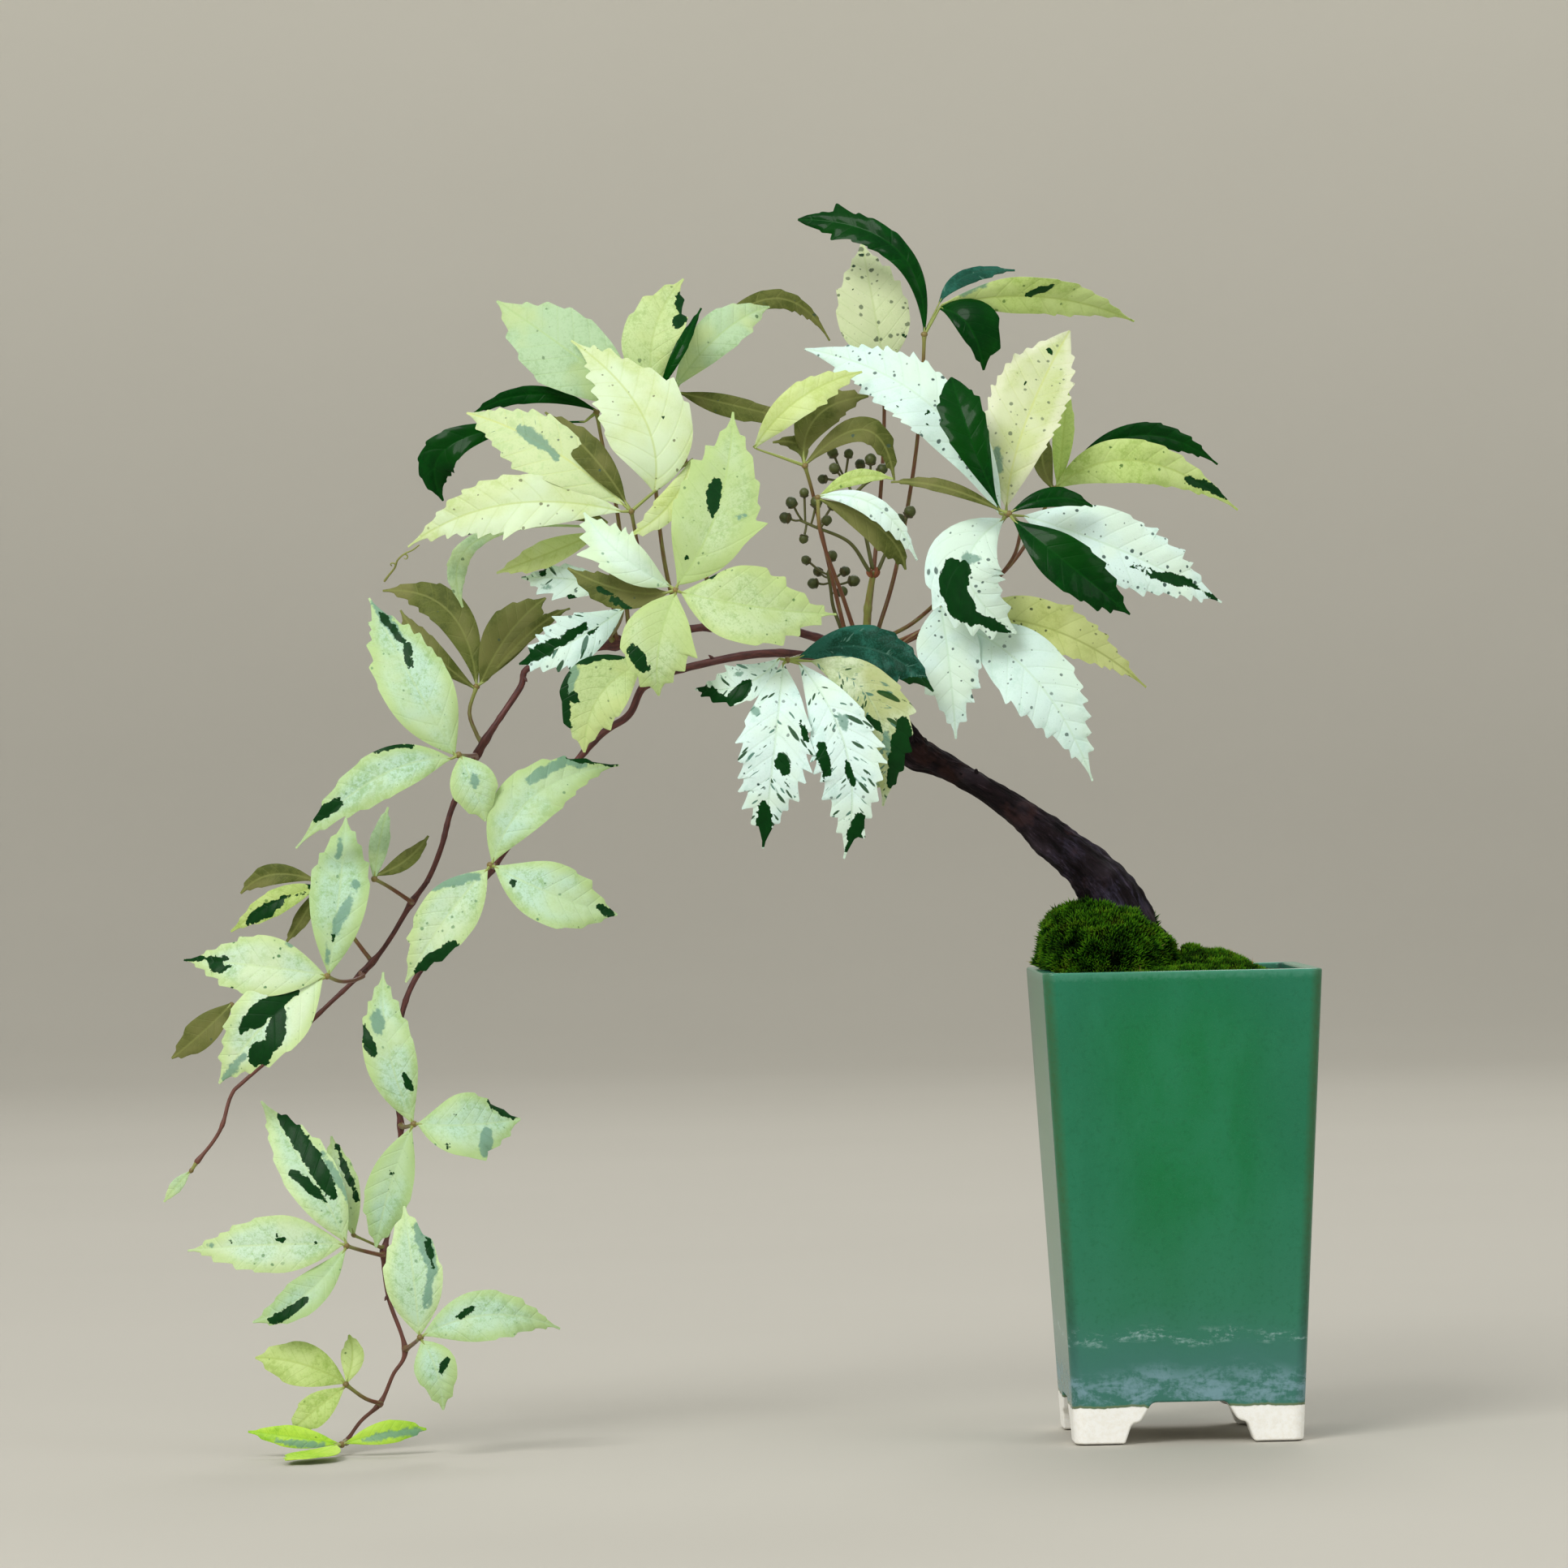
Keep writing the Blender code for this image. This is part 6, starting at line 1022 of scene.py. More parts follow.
def leaflet(shape, b, mats, rng):
    """One finished leaflet: toothed margin, veins pressed in, two skins."""
    p0, pm, p2 = (np.array(b[k], float) for k in ("base", "mid", "tip"))
    c = pm * 2 - (p0 + p2) * 0.5
    length = np.linalg.norm(pm - p0) + np.linalg.norm(p2 - pm)
    left = tooth_plan(length, b["left"], b["label"], b["look"], -1, rng)
    right = tooth_plan(length, b["right"], b["label"], b["look"], 1, rng)
    n0 = int(np.clip(length / 1.5, 10, 34))
    ts = list(np.linspace(0, 1, n0))
    for rows in (left, right):
        for a, cr, e, _ in rows:
            ts += [a, a + (cr - a) * 0.5, cr - 0.004, cr + 0.004, e]
    ts = sorted(ts)
    keep = [0.0]
    for t in ts:
        if t - keep[-1] > 0.0038 and t < 0.9975:
            keep.append(t)
    T = np.array(keep + [1.0])
    hl = np.array([tooth(t, left) for t in T])
    hr = np.array([tooth(t, right) for t in T])
    d = unit((c - p0) * 2 * (1 - T)[:, None] + (p2 - c) * 2 * T[:, None])
    p = p0 * ((1 - T) ** 2)[:, None] + c * (2 * T * (1 - T))[:, None] + p2 * (T * T)[:, None]
    face = np.array(b["n"] if b["n"] else (0.0, -1.0, 0.28), float)
    side = unit(np.cross(d, face))
    up = np.cross(side, d)
    if b["roll"]:
        a = np.where(d[:, 0] > 0, -1.0, 1.0) * math.radians(b["roll"])
        ca, sa = np.cos(a)[:, None], np.sin(a)[:, None]
        side, up = side * ca + up * sa, up * ca - side * sa
    tm, p2w = DRAWN.get(b["label"], (b["tm"], b["p2"]))
    o = outline(T, tm, b["p1"], p2w)
    run = np.concatenate([[0], np.cumsum(np.linalg.norm(np.diff(p, axis=0), axis=1))])
    flat = b["n"] is not None
    ph = rng.uniform(0, 6.28, 4)
    nr, nc = len(T), len(COLS)
    P = np.zeros((nr, nc, 3))
    X = np.zeros((nr, nc))
    Y = np.zeros((nr, nc))
    W = np.zeros((nr, nc))
    spacing = float(np.clip(length / 8.5, 2.2, 5.2))
    for j, s in enumerate(COLS):
        half = b["right"] if s > 0 else b["left"]
        h = hr if s > 0 else hl
        w = np.maximum(o * half, 0.25)
        # the outline table is the mean margin: teeth stand out from just inside it
        w_in = np.maximum(w - 0.35 * h.max() * o, 0.22)
        k = abs(s) ** 3
        out = w_in * abs(s) + h * k
        fwd = h * k * 0.75
        x = run + fwd
        ph_v = (x - np.abs(out) * 0.80 - 0.018 * out ** 2) / spacing
        quilt = (0.5 - 0.5 * np.cos(2 * np.pi * (ph_v + 0.5))) * 0.26 * np.clip(out / 2.0, 0, 1) * np.clip((w_in - out) / 1.2, 0.0, 1.0)
        wave = 0.075 * w * np.sin(run / 3.1 + ph[0 if s > 0 else 1]) * s * s
        curl = -0.09 * w * abs(s) ** 2.5 if not flat else 0.0
        lift = b["fold"] * abs(s) * w + quilt + wave * (0.3 if flat else 1.0) + curl
        P[:, j] = p + side * (np.sign(s) * out)[:, None] + up * lift[:, None] + d * fwd[:, None]
        X[:, j], Y[:, j], W[:, j] = x, np.sign(s) * out, w_in
    # small irregular turns of the whole blade
    if not flat:
        bend = 0.018 * length * np.sin(np.pi * T) * math.sin(ph[2])
        P += up[:, None, :] * bend[:, None, None] * 0.35
    dr = np.gradient(P, axis=0)
    dc = np.gradient(P, axis=1)
    N = unit(np.cross(dr, dc))
    flip = np.sign(np.mean(np.sum(N * up[:, None, :], axis=2)))
    N *= flip if flip else 1.0
    thick = 0.13 * np.ones((nr, nc))
    thick *= 0.45 + 0.55 * np.clip((1 - np.abs(COLS)) * 6, 0, 1)[None, :]
    top = P + N * thick[:, :, None]
    rib = 0.34 * np.exp(-(Y / 0.42) ** 2) * (1 - 0.75 * T)[:, None]
    bot = P - N * (thick + rib)[:, :, None]
    V = np.concatenate([top.reshape(-1, 3), bot.reshape(-1, 3)])
    off = nr * nc
    faces, mm = [], []
    front, back = mats
    ccw = flip > 0
    for i in range(nr - 1):
        for j in range(nc - 1):
            q = (i * nc + j, (i + 1) * nc + j, (i + 1) * nc + j + 1, i * nc + j + 1)
            q = q if ccw else q[::-1]
            faces.append(q)
            mm.append(front)
            faces.append(tuple(k + off for k in q[::-1]))
            mm.append(back)
    border = ([(i, 0) for i in range(nr)] + [(nr - 1, j) for j in range(1, nc)]
              + [(i, nc - 1) for i in range(nr - 2, -1, -1)] + [(0, j) for j in range(nc - 2, 0, -1)])
    ids = [i * nc + j for i, j in border]
    for a, e in zip(ids, ids[1:] + ids[:1]):
        q = (a, a + off, e + off, e)
        q = q[::-1] if ccw else q
        faces.append(q)
        mm.append(front)
    z = rng.uniform(0, 400)
    xyz = np.stack([X, Y, np.full_like(X, z)], axis=2).reshape(-1, 3)
    phase = (X - np.abs(Y) * 0.80 - 0.018 * Y ** 2) / spacing
    uv = np.stack([phase, Y * 0.0, np.zeros_like(X)], axis=2).reshape(-1, 3)
    # blotches are long along the side veins and short across them
    blot = np.stack([phase * spacing * 0.50, np.abs(Y) * 0.26 + np.where(Y > 0, 40.0, 0.0), np.full_like(X, z)], axis=2).reshape(-1, 3)
    dark = np.full_like(X, 9.0)
    grey = np.full_like(X, 9.0)
    wl = np.maximum(o * b["left"], 0.25)
    wr = np.maximum(o * b["right"], 0.25)
    for t0, s0, t1, s1, wide, tone in MARKS.get(b["label"], []):
        ends = []
        for t, s in ((t0, s0), (t1, s1)):
            w = np.interp(t, T, wr if s > 0 else wl)
            ends.append((np.interp(t, T, run), s * w))
        (ax, ay), (bx, by) = ends
        vx, vy = bx - ax, by - ay
        k = np.clip(((X - ax) * vx + (Y - ay) * vy) / max(1e-6, vx * vx + vy * vy), 0, 1)
        taper = 0.62 + 0.46 * np.sin(np.pi * np.clip(k, 0, 1)) ** 0.7
        dist = np.hypot(X - ax - vx * k, Y - ay - vy * k) - wide / 2 * taper
        if tone == "d":
            dark = np.minimum(dark, dist)
        else:
            grey = np.minimum(grey, dist)
    edge = np.minimum(W - np.abs(Y), np.minimum(run[-1] * T, run[-1] * (1 - T))[:, None] * 0.7 + 0.2)
    marks = np.stack([dark, grey, np.maximum(edge, 0)], axis=2).reshape(-1, 3)
    tint = np.array([rng.random(), rng.random(), rng.random()])
    two = lambda a: np.concatenate([a, a])
    shape.add(V, faces, mm, leaf_xy=two(xyz), vein_uv=two(np.concatenate(
        [uv[:, :1], blot[:, :2]], axis=1)), marks=two(marks), tint=tint)
    return p[0], unit(p[1] - p[0])


LOOK = {"A1": "apple", "A2": "apple", "A3": "apple", "A4": "mint", "R1c": "creamspeck",
        "T2": "creamspot", "K1": "patch"}


def nearest(point, paths):
    best = None
    for path in paths:
        d = np.linalg.norm(path[:, :3] - point, axis=1)
        i = int(d.argmin())
        if best is None or d[i] < best[0]:
            best = (d[i], path[i, :3])
    return best


def build_leaves(mats, stalk, hub_mat, woods):
    """One object for each compound leaf."""
    for name, blades, petiole in LEAVES:
        blades = [dict(b, look=LOOK.get(b["label"], b["look"])) for b in blades]
        rng_np = np.random.default_rng(sum(ord(ch) * (i + 3) for i, ch in enumerate(name)))

        class R:
            def uniform(self, a, b, n=None):
                return rng_np.uniform(a, b, n) if n else float(rng_np.uniform(a, b))

            def random(self):
                return float(rng_np.random())
        r = R()
        sh = Shape()
        used, index = [], {}
        for look in [b["look"] for b in blades]:
            if look not in index:
                index[look] = (len(used), len(used) + 1)
                used += list(mats[look])
        k_stalk, k_hub = len(used), len(used) + 1
        used += [stalk, hub_mat]
        hub = np.array(petiole[0], float)
        path = smooth_path(petiole, 1.6)
        gap, wood = nearest(path[-1], woods)
        if gap < 14:
            bridge = np.array([path[-1], (path[-1] + wood) / 2, wood])
            path = smooth_path(np.concatenate([path[:-1:4], bridge]), 1.6)
        n = len(path)
        f = np.linspace(0, 1, n)
        big = 0.5 if name not in ("leaf_tip_bud", "leaf_olive_far", "leaf_cascade_back") else 0.34
        rad = big * (0.84 + 0.25 * f + 0.75 * np.exp(-((1 - f) * n * 1.6 / 2.2) ** 2)
                     + 0.45 * np.exp(-(f * n * 1.6 / 1.2) ** 2))
        path, rad = rounded_ends(path, rad)
        v, fc, info = sweep(path, rad, 10)
        t2 = np.clip(1 - info[:, 0] / 9.0, 0, 1)
        tint = np.stack([np.full(len(v), r.random()), t2 * 0.8, np.zeros(len(v))], axis=1)
        sh.add(v, fc, k_stalk, along=info, tint=tint)
        for b in blades:
            start, dirn = leaflet(sh, b, index[b["look"]], r)
            away = np.linalg.norm(start - hub)
            inner = start + dirn * 1.2
            mid = (hub + start) / 2 + np.array([0, -0.15, 0.0])
            pts = smooth_path(np.array([hub, mid, start, inner]), 0.6) if away > 0.3 else np.array([hub, start + dirn * 0.5, inner + dirn * 0.6])
            m = len(pts)
            g = np.linspace(0, 1, m)
            rr = np.clip(0.16 + 0.30 * (1 - g) ** 0.8, 0.14, 0.5) * min(1.0, 0.55 + b["left"] / 9)
            pts, rr = rounded_ends(pts, rr)
            v, fc, info = sweep(pts, rr, 8)
            tint = np.stack([np.full(len(v), r.random()), np.full(len(v), 0.95), np.zeros(len(v))], axis=1)
            sh.add(v, fc, k_stalk, along=info, tint=tint)
        # the little knuckle where the leaflets meet
        d = unit(path[2] - path[3])
        pts = np.array([hub - d * 0.75, hub - d * 0.35, hub + d * 0.1, hub + d * 0.5, hub + d * 0.72])
        v, fc, info = sweep(pts, np.array([0.3, 0.72, 0.85, 0.6, 0.2]) * (big / 0.5), 10)
        sh.add(v, fc, k_hub, along=info, tint=np.array([r.random(), 0.3, 0.0]))
        sh.make(name + "_foliage", used, name, 50)


# ================================================================ wood
# the foot as it shows above the moss; its flare below is buried
FOOT_SHOWN = [(-9.0, 0.0, 103.0, 6.6), (-10.4, 0.0, 112.0, 6.6), (-11.2, 0.0, 119.6, 8.0), (-13.8, 0.0, 126.4, 7.4)]


def build_trunk(mat):
    path = smooth_path(FOOT_SHOWN + TRUNK[6:], 0.6)
    run = np.concatenate([[0], np.cumsum(np.linalg.norm(np.diff(path[:, :3], axis=0), axis=1))])
    total = run[-1]
    knots = [(0.615, 2.2, 0.45, 2.6), (0.64, 1.6, 0.45, 1.8), (0.56, 5.2, 0.4, 2.6), (0.33, 4.1, 0.25, 4.0),
             (0.42, 0.7, 0.25, 3.0), (0.27, 1.9, 0.18, 2.6), (0.50, 2.1, 0.20, 2.0), (0.70, 4.6, 0.35, 2.5)]

    def wobble(s, a):
        f = s / total
        p = Vector((s * 0.045, math.cos(a) * 0.9, math.sin(a) * 0.9))
        q = Vector((s * 0.16, math.cos(a) * 2.4, math.sin(a) * 2.4))
        z = Vector((s * 0.5, math.cos(a) * 5.0, math.sin(a) * 5.0))
        k = 1.0 + 0.10 * noise.noise(p) + 0.11 * noise.noise(q) + 0.065 * noise.noise(z)
        groove = noise.noise(Vector((s * 0.05 + 9, math.cos(a) * 3.2, math.sin(a) * 3.2)))
        k -= 0.05 * max(0.0, 1 - abs(groove) * 6)
        for kf, ka, kh, kw in knots:
            da = (a - ka + math.pi) % (2 * math.pi) - math.pi
            g = ((f - kf) * total / kw) ** 2 + (da / 0.42) ** 2
            k += kh * math.exp(-g)
        # surface roots where the foot goes into the moss
        if f < 0.16:
            k += 0.10 * (1 - f / 0.16) * max(0.0, math.sin(a * 4 + 0.8)) ** 2
        return k

    sides = 60
    v, f, info = sweep(path[:, :3], path[:, 3], sides, wobble)
    sh = Shape()
    centre = np.repeat(path[:, :3], sides, axis=0)
    reach = np.linalg.norm(v[:len(centre)] - centre, axis=1) / np.repeat(path[:, 3], sides)
    ridge = np.clip((reach - 1.0) * 5.0, 0, 1)
    ridge = np.concatenate([ridge, [0, 0]])
    fr = info[:, 0] / total
    # pale bands along the trunk where the bark takes its painted bluish highlight
    pale = np.exp(-((fr - 0.21) / 0.05) ** 2) * 1.0 + np.exp(-((fr - 0.36) / 0.08) ** 2) * 0.6
    sh.add(v, f, 0, along=info, tint=np.stack([ridge, np.clip(pale, 0, 1), ridge * 0], axis=1))
    # broken twig stubs
    rng = np.random.default_rng(5)
    for kf, ka, ln, rr in ((0.615, 2.2, 1.9, 0.8), (0.64, 1.6, 1.3, 0.6), (0.56, 5.2, 1.6, 0.7), (0.78, 1.9, 1.9, 0.7), (0.70, 4.6, 1.5, 0.7)):
        i = int(kf * (len(path) - 1))
        tan, u, w = frames(path[max(0, i - 4):i + 5])
        out = unit(u[4] * math.cos(ka) + w[4] * math.sin(ka) + tan[4] * 0.35)
        p0 = path[i, :3] + out * path[i, 3] * 0.6
        pts = np.array([p0, p0 + out * ln * 0.4, p0 + out * ln * 0.8 + tan[4] * 0.2, p0 + out * ln + tan[4] * 0.5 + out * path[i, 3] * 0.4])
        pts = smooth_path(pts, 0.5)
        r = np.linspace(rr * 1.15, rr * 0.55, len(pts)) * (1 + rng.uniform(-0.1, 0.1, len(pts)))
        pts, r = rounded_ends(pts, r, start=False)
        vv, ff, inf = sweep(pts, r, 12)
        sh.add(vv, ff, 0, along=inf, tint=np.array([0.3, 0, 0]))
    sh.make("trunk_bark", [mat], "trunk", 70)
    return path


def build_stem(name, route, mat, leaf_roots, seed):
    path = smooth_path(route, 0.9)
    n = len(path)
    f = np.linspace(0, 1, n)
    rad = STEM_R0 + (STEM_R1 - STEM_R0) * f ** 0.8
    run = np.concatenate([[0], np.cumsum(np.linalg.norm(np.diff(path, axis=0), axis=1))])
    for root in leaf_roots:
        d = np.linalg.norm(path - root, axis=1)
        i = int(d.argmin())
        if d[i] < 6:
            rad = rad + (0.42 * rad[i] + 0.12) * np.exp(-((run - run[i]) / 1.7) ** 2)
    rng = np.random.default_rng(seed)
    bumps = rng.uniform(0, run[-1], 14)
    for s in bumps:
        rad = rad + 0.10 * np.exp(-((run - s) / 0.8) ** 2)
    # slight zigzag between nodes
    path = path + 0.22 * np.stack([np.sin(run / 7.0 + seed), np.cos(run / 9.0 + seed * 2), np.sin(run / 11.0)], axis=1) * np.clip(run / 12, 0, 1)[:, None]

    def wobble(s, a):
        return 1.0 + 0.07 * noise.noise(Vector((s * 0.35, math.cos(a) * 1.4, math.sin(a) * 1.4 + seed)))

    p, r = rounded_ends(path, rad)
    v, fc, info = sweep(p, r, 14, wobble)
    sh = Shape()
    young = np.clip((info[:, 0] / run[-1] - 0.72) / 0.28, 0, 1)
    sh.add(v, fc, 0, along=info, tint=np.stack([young * 0 + 0.3, young * 0.55, young * 0], axis=1))
    # dormant buds at the nodes
    for k in range(7):
        i = int((0.12 + 0.12 * k) * (n - 1))
        tan, u, w = frames(path[max(0, i - 3):i + 4])
        m = min(3, len(tan) - 1)
        a = rng.uniform(0, 6.28)
        out = unit(u[m] * math.cos(a) + w[m] * math.sin(a) + tan[m] * 0.7)
        b0 = path[i] + out * rad[i] * 0.6
        pts = np.array([b0, b0 + out * 0.7, b0 + out * 1.3, b0 + out * 1.8])
        vv, ff, inf = sweep(pts, np.array([0.34, 0.42, 0.30, 0.08]), 8)
        sh.add(vv, ff, 0, along=inf, tint=np.array([0.9, 0.1, 0]))
    sh.make(name + "_bark", [mat], name, 70)
    return path


def build_buds(mat, stalk):
    for name, branches, buds in BUDS:
        sh = Shape()
        rng = np.random.default_rng(len(name) * 7)
        woods = [smooth_path(TRUNK, 2.0)]
        for k, run in enumerate(branches):
            p = smooth_path(run, 0.7)
            r = np.linspace(0.50, 0.34, len(p))
            p, r = rounded_ends(p, r)
            v, f, info = sweep(p, r, 9)
            sh.add(v, f, 1, along=info, tint=np.array([0.3, 0.35, 0]))
        for c, anchor in buds:
            c, anchor = np.array(c, float), np.array(anchor, float)
            d = unit(c - anchor)
            bend = np.array([0, 0, -0.5])
            foot = c - d * BUD_R * 0.8
            st = smooth_path(np.array([anchor, (anchor + foot) / 2 + bend * 0.6, foot]), 0.5)
            rr = np.linspace(0.26, 0.30, len(st))
            v, f, info = sweep(st, rr, 8)
            sh.add(v, f, 1, along=info, tint=np.array([0.3, 0.25, 0]))
            # calyx cup and the closed bud
            k = np.array([-1.0, -0.82, -0.62, -0.30, 0.05, 0.40, 0.70, 0.90, 1.0])
            w = np.array([0.22, 0.52, 0.74, 0.92, 1.0, 0.93, 0.68, 0.36, 0.08])
            grow = rng.uniform(0.95, 1.25)
            pts = c + d * (k * BUD_R * 1.02 * grow)[:, None]
            v, f, info = sweep(pts, w * BUD_R * 0.92 * grow,
                               12, lambda s, a: 1.0 + 0.03 * math.cos(a * 5))
            sh.add(v, f, 0, along=info, tint=np.array([rng.random(), 0, 0]))
            k = np.array([-0.95, -0.75, -0.50, -0.46])
            pts = c + d * (k * BUD_R * grow)[:, None]
            v, f, info = sweep(pts, np.array([0.30, 0.72, 0.92, 0.80]) * BUD_R * grow, 12,
                               lambda s, a: 1.0 + 0.05 * math.cos(a * 5))
            sh.add(v, f, 1, along=info, tint=np.array([0.6, 0.1, 0]))
        sh.make(name + "_cluster", [mat, stalk], name, 60)


def build_shoot(stalk, scale_mat):
    sh = Shape()
    p = smooth_path(CROWN_SHOOT, 0.8)
    n = len(p)
    r = 0.95 * (1 - 0.25 * np.linspace(0, 1, n))
    r = r + 0.25 * np.exp(-((np.linspace(0, 1, n) - 0.45) / 0.06) ** 2)
    p2, r2 = rounded_ends(p, r)
    v, f, info = sweep(p2, r2, 14)
    sh.add(v, f, 0, along=info, tint=np.array([0.2, 0.35, 0]))
    # papery bud scales at the top
    rng = np.random.default_rng(3)
    for k in range(5):
        a = k * 1.26 + 0.3
        base = p[-1] + np.array([0.5 * math.cos(a), 0.5 * math.sin(a), -0.8])
        tip = base + np.array([0.85 * math.cos(a), 0.85 * math.sin(a), 2.1 + 0.4 * rng.random()])
        pts = smooth_path(np.array([base, (base + tip) / 2 + np.array([0.35 * math.cos(a), 0.35 * math.sin(a), 0]), tip]), 0.35)
        g = np.linspace(0, 1, len(pts))
        v, f, info = sweep(pts, 0.42 * np.sin(np.pi * (0.15 + 0.82 * g)) ** 0.8 + 0.05, 8)
        sh.add(v, f, 1, along=info, tint=np.array([rng.random(), 0, 0]))
    sh.make("crown_shoot_skin", [stalk, scale_mat], "crown_shoot", 60)


def build_tendril(stalk):
    sh = Shape()
    p = smooth_path(TENDRIL, 0.5)
    n = len(p)
    g = np.linspace(0, 1, n)
    r = 0.30 * (1 - 0.45 * g)
    p2, r2 = rounded_ends(p, r)
    v, f, info = sweep(p2, r2, 9)
    sh.add(v, f, 0, along=info, tint=np.array([0.5, 0.7, 0]))
    for at, turn in ((0.45, 1.0), (0.72, -1.0)):
        i = int(at * (n - 1))
        d = unit(p[min(i + 1, n - 1)] - p[i - 1])
        side = unit(np.cross(d, np.array([0, 1, 0.2])))
        pts = [p[i]]
        for k in range(1, 9):
            a = k * 0.55 * turn
            pts.append(pts[-1] + 0.42 * (d * math.cos(a) + side * math.sin(a)) * (1 - k * 0.06))
        pts = smooth_path(np.array(pts), 0.3)
        rr = np.linspace(0.22, 0.12, len(pts))
        pts, rr = rounded_ends(pts, rr)
        v, f, info = sweep(pts, rr, 8)
        sh.add(v, f, 0, along=info, tint=np.array([0.5, 0.8, 0]))
    sh.make("tendril_skin", [stalk], "tendril", 60)


# ================================================================ moss
def mound_point(n, grow=0.0):
    lump = 1.0 + 0.07 * noise.noise(Vector(n) * 2.2 + Vector((3.1, 0.4, 1.7)))
    p = np.array([MOUND_C[k] + n[k] * (MOUND_R[k] * lump + grow) for k in range(3)])
    # flush with the pot's left wall, as it has been trimmed there
    p[0] = p[0] if p[0] > -28.0 else -28.0 + (p[0] + 28.0) * 0.5
    return p


COLLAR_C = (-10.0, -5.0, 109.0)
COLLAR_R = (9.0, 13.0, 14.2)


def collar_point(n, grow=0.0):
    """The cushion runs round the foot of the trunk."""
    lump = 1.0 + 0.06 * noise.noise(Vector(n) * 2.6 + Vector((7.1, 3.4, 0.7)))
    return np.array([COLLAR_C[k] + n[k] * (COLLAR_R[k] * lump + grow) for k in range(3)])


def carpet_top(x, y):
    """Two low cushions right of the mound, sinking below the rim further right."""
    w = POT_TOP - 2 * POT_WALL
    edge = max(0.0, min(1.0, (w / 2 - 0.3 - max(abs(x), abs(y))) / 5.0))
    z = CARPET_TOP - 0.6 + 1.6 * noise.noise(Vector((x, y, CARPET_TOP)) * 0.11 + Vector((5.0, 2.0, 0.0)))
    z += 3.2 * math.exp(-((x - 4.0) / 4.2) ** 2 - ((y + 4.0) / 13.0) ** 2)
    z += 2.5 * math.exp(-((x - 11.8) / 4.6) ** 2 - ((y + 2.0) / 12.0) ** 2)
    z -= 3.4 * (0.5 + 0.5 * math.tanh((x - 19.5) / 2.6))
    return z * edge + (108.8 - 1.2 * (x > 16)) * (1 - edge)


def in_mound(p, grow=0.0):
    return sum(((p[k] - MOUND_C[k]) / (MOUND_R[k] + grow)) ** 2 for k in range(3)) < 1.0


def spike(base, tip, width, sides=3):
    """A single moss leaf: closed, thin, pointed."""
    d = unit(tip - base)
    u = unit(np.cross(d, np.array([0.31, 0.78, 0.54])))
    w = np.cross(d, u)
    mid = base * 0.45 + tip * 0.55
    v, rise = [], []
    for c, r, h in ((base, width * 0.6, 0.0), (mid, width, 0.5)):
        for k in range(sides):
            a = 2 * math.pi * k / sides
            v.append(c + u * math.cos(a) * r + w * math.sin(a) * r)
            rise.append(h)
    v.append(tip)
    rise.append(1.0)
    f = [tuple(range(sides - 1, -1, -1))]
    for k in range(sides):
        k2 = (k + 1) % sides
        f.append((k, k2, sides + k2, sides + k))
        f.append((sides + k, sides + k2, 2 * sides))
    return v, f, rise


def clump(p):
    """Height of the moss cushion's own hummocks, mm."""
    q = Vector((p[0], p[1], p[2]))
    return (noise.noise(q * 0.26) * 1.0 + noise.noise(q * 0.52) * 0.9
            + noise.noise(q * 1.0) * 0.45)


def moss_shoots(spots, seed, size, dry_share, rim_test):
    rng = np.random.default_rng(seed)
    V, F, R = [], [], []
    n = 0
    for p, nor in spots:
        hill = clump(p)
        ln = size * max(0.5, 1.0 + 0.35 * hill) * rng.uniform(0.7, 1.25)
        # rnd rises on the hummocks: the moss material paints the hollows darker as shade and the tops lighter as
        # painted light
        rnd = float(np.clip(0.5 + 0.42 * hill + rng.uniform(-0.25, 0.25), 0, 1))
        dry = 1.0 if rng.random() < dry_share else 0.0
        axis = unit(nor + rng.uniform(-0.35, 0.35, 3))
        count = 5 if dry == 0 else 1
        a0 = rng.uniform(0, 6.28)
        u = unit(np.cross(axis, np.array([0.2, 0.9, 0.3])))
        w = np.cross(axis, u)
        for c in range(count):
            a = a0 + 2 * math.pi * c / count
            lean = (u * math.cos(a) + w * math.sin(a)) * (0.62 if count > 1 else 0.15)
            tip = p + unit(axis + lean) * ln * (1.0 if dry == 0 else 1.5)
            base = p - axis * 0.5
            if rim_test(tip) or (tip[2] < 111.2 and max(abs(tip[0]), abs(tip[1])) > POT_TOP / 2 - 0.6):
                continue
            v, f, rise = spike(base, tip, 0.20 if dry == 0 else 0.11)
            V += v
            F += [tuple(i + n for i in q) for q in f]
            R += [(h, rnd, dry * 0.9) for h in rise]
            n += len(v)
    return V, F, R


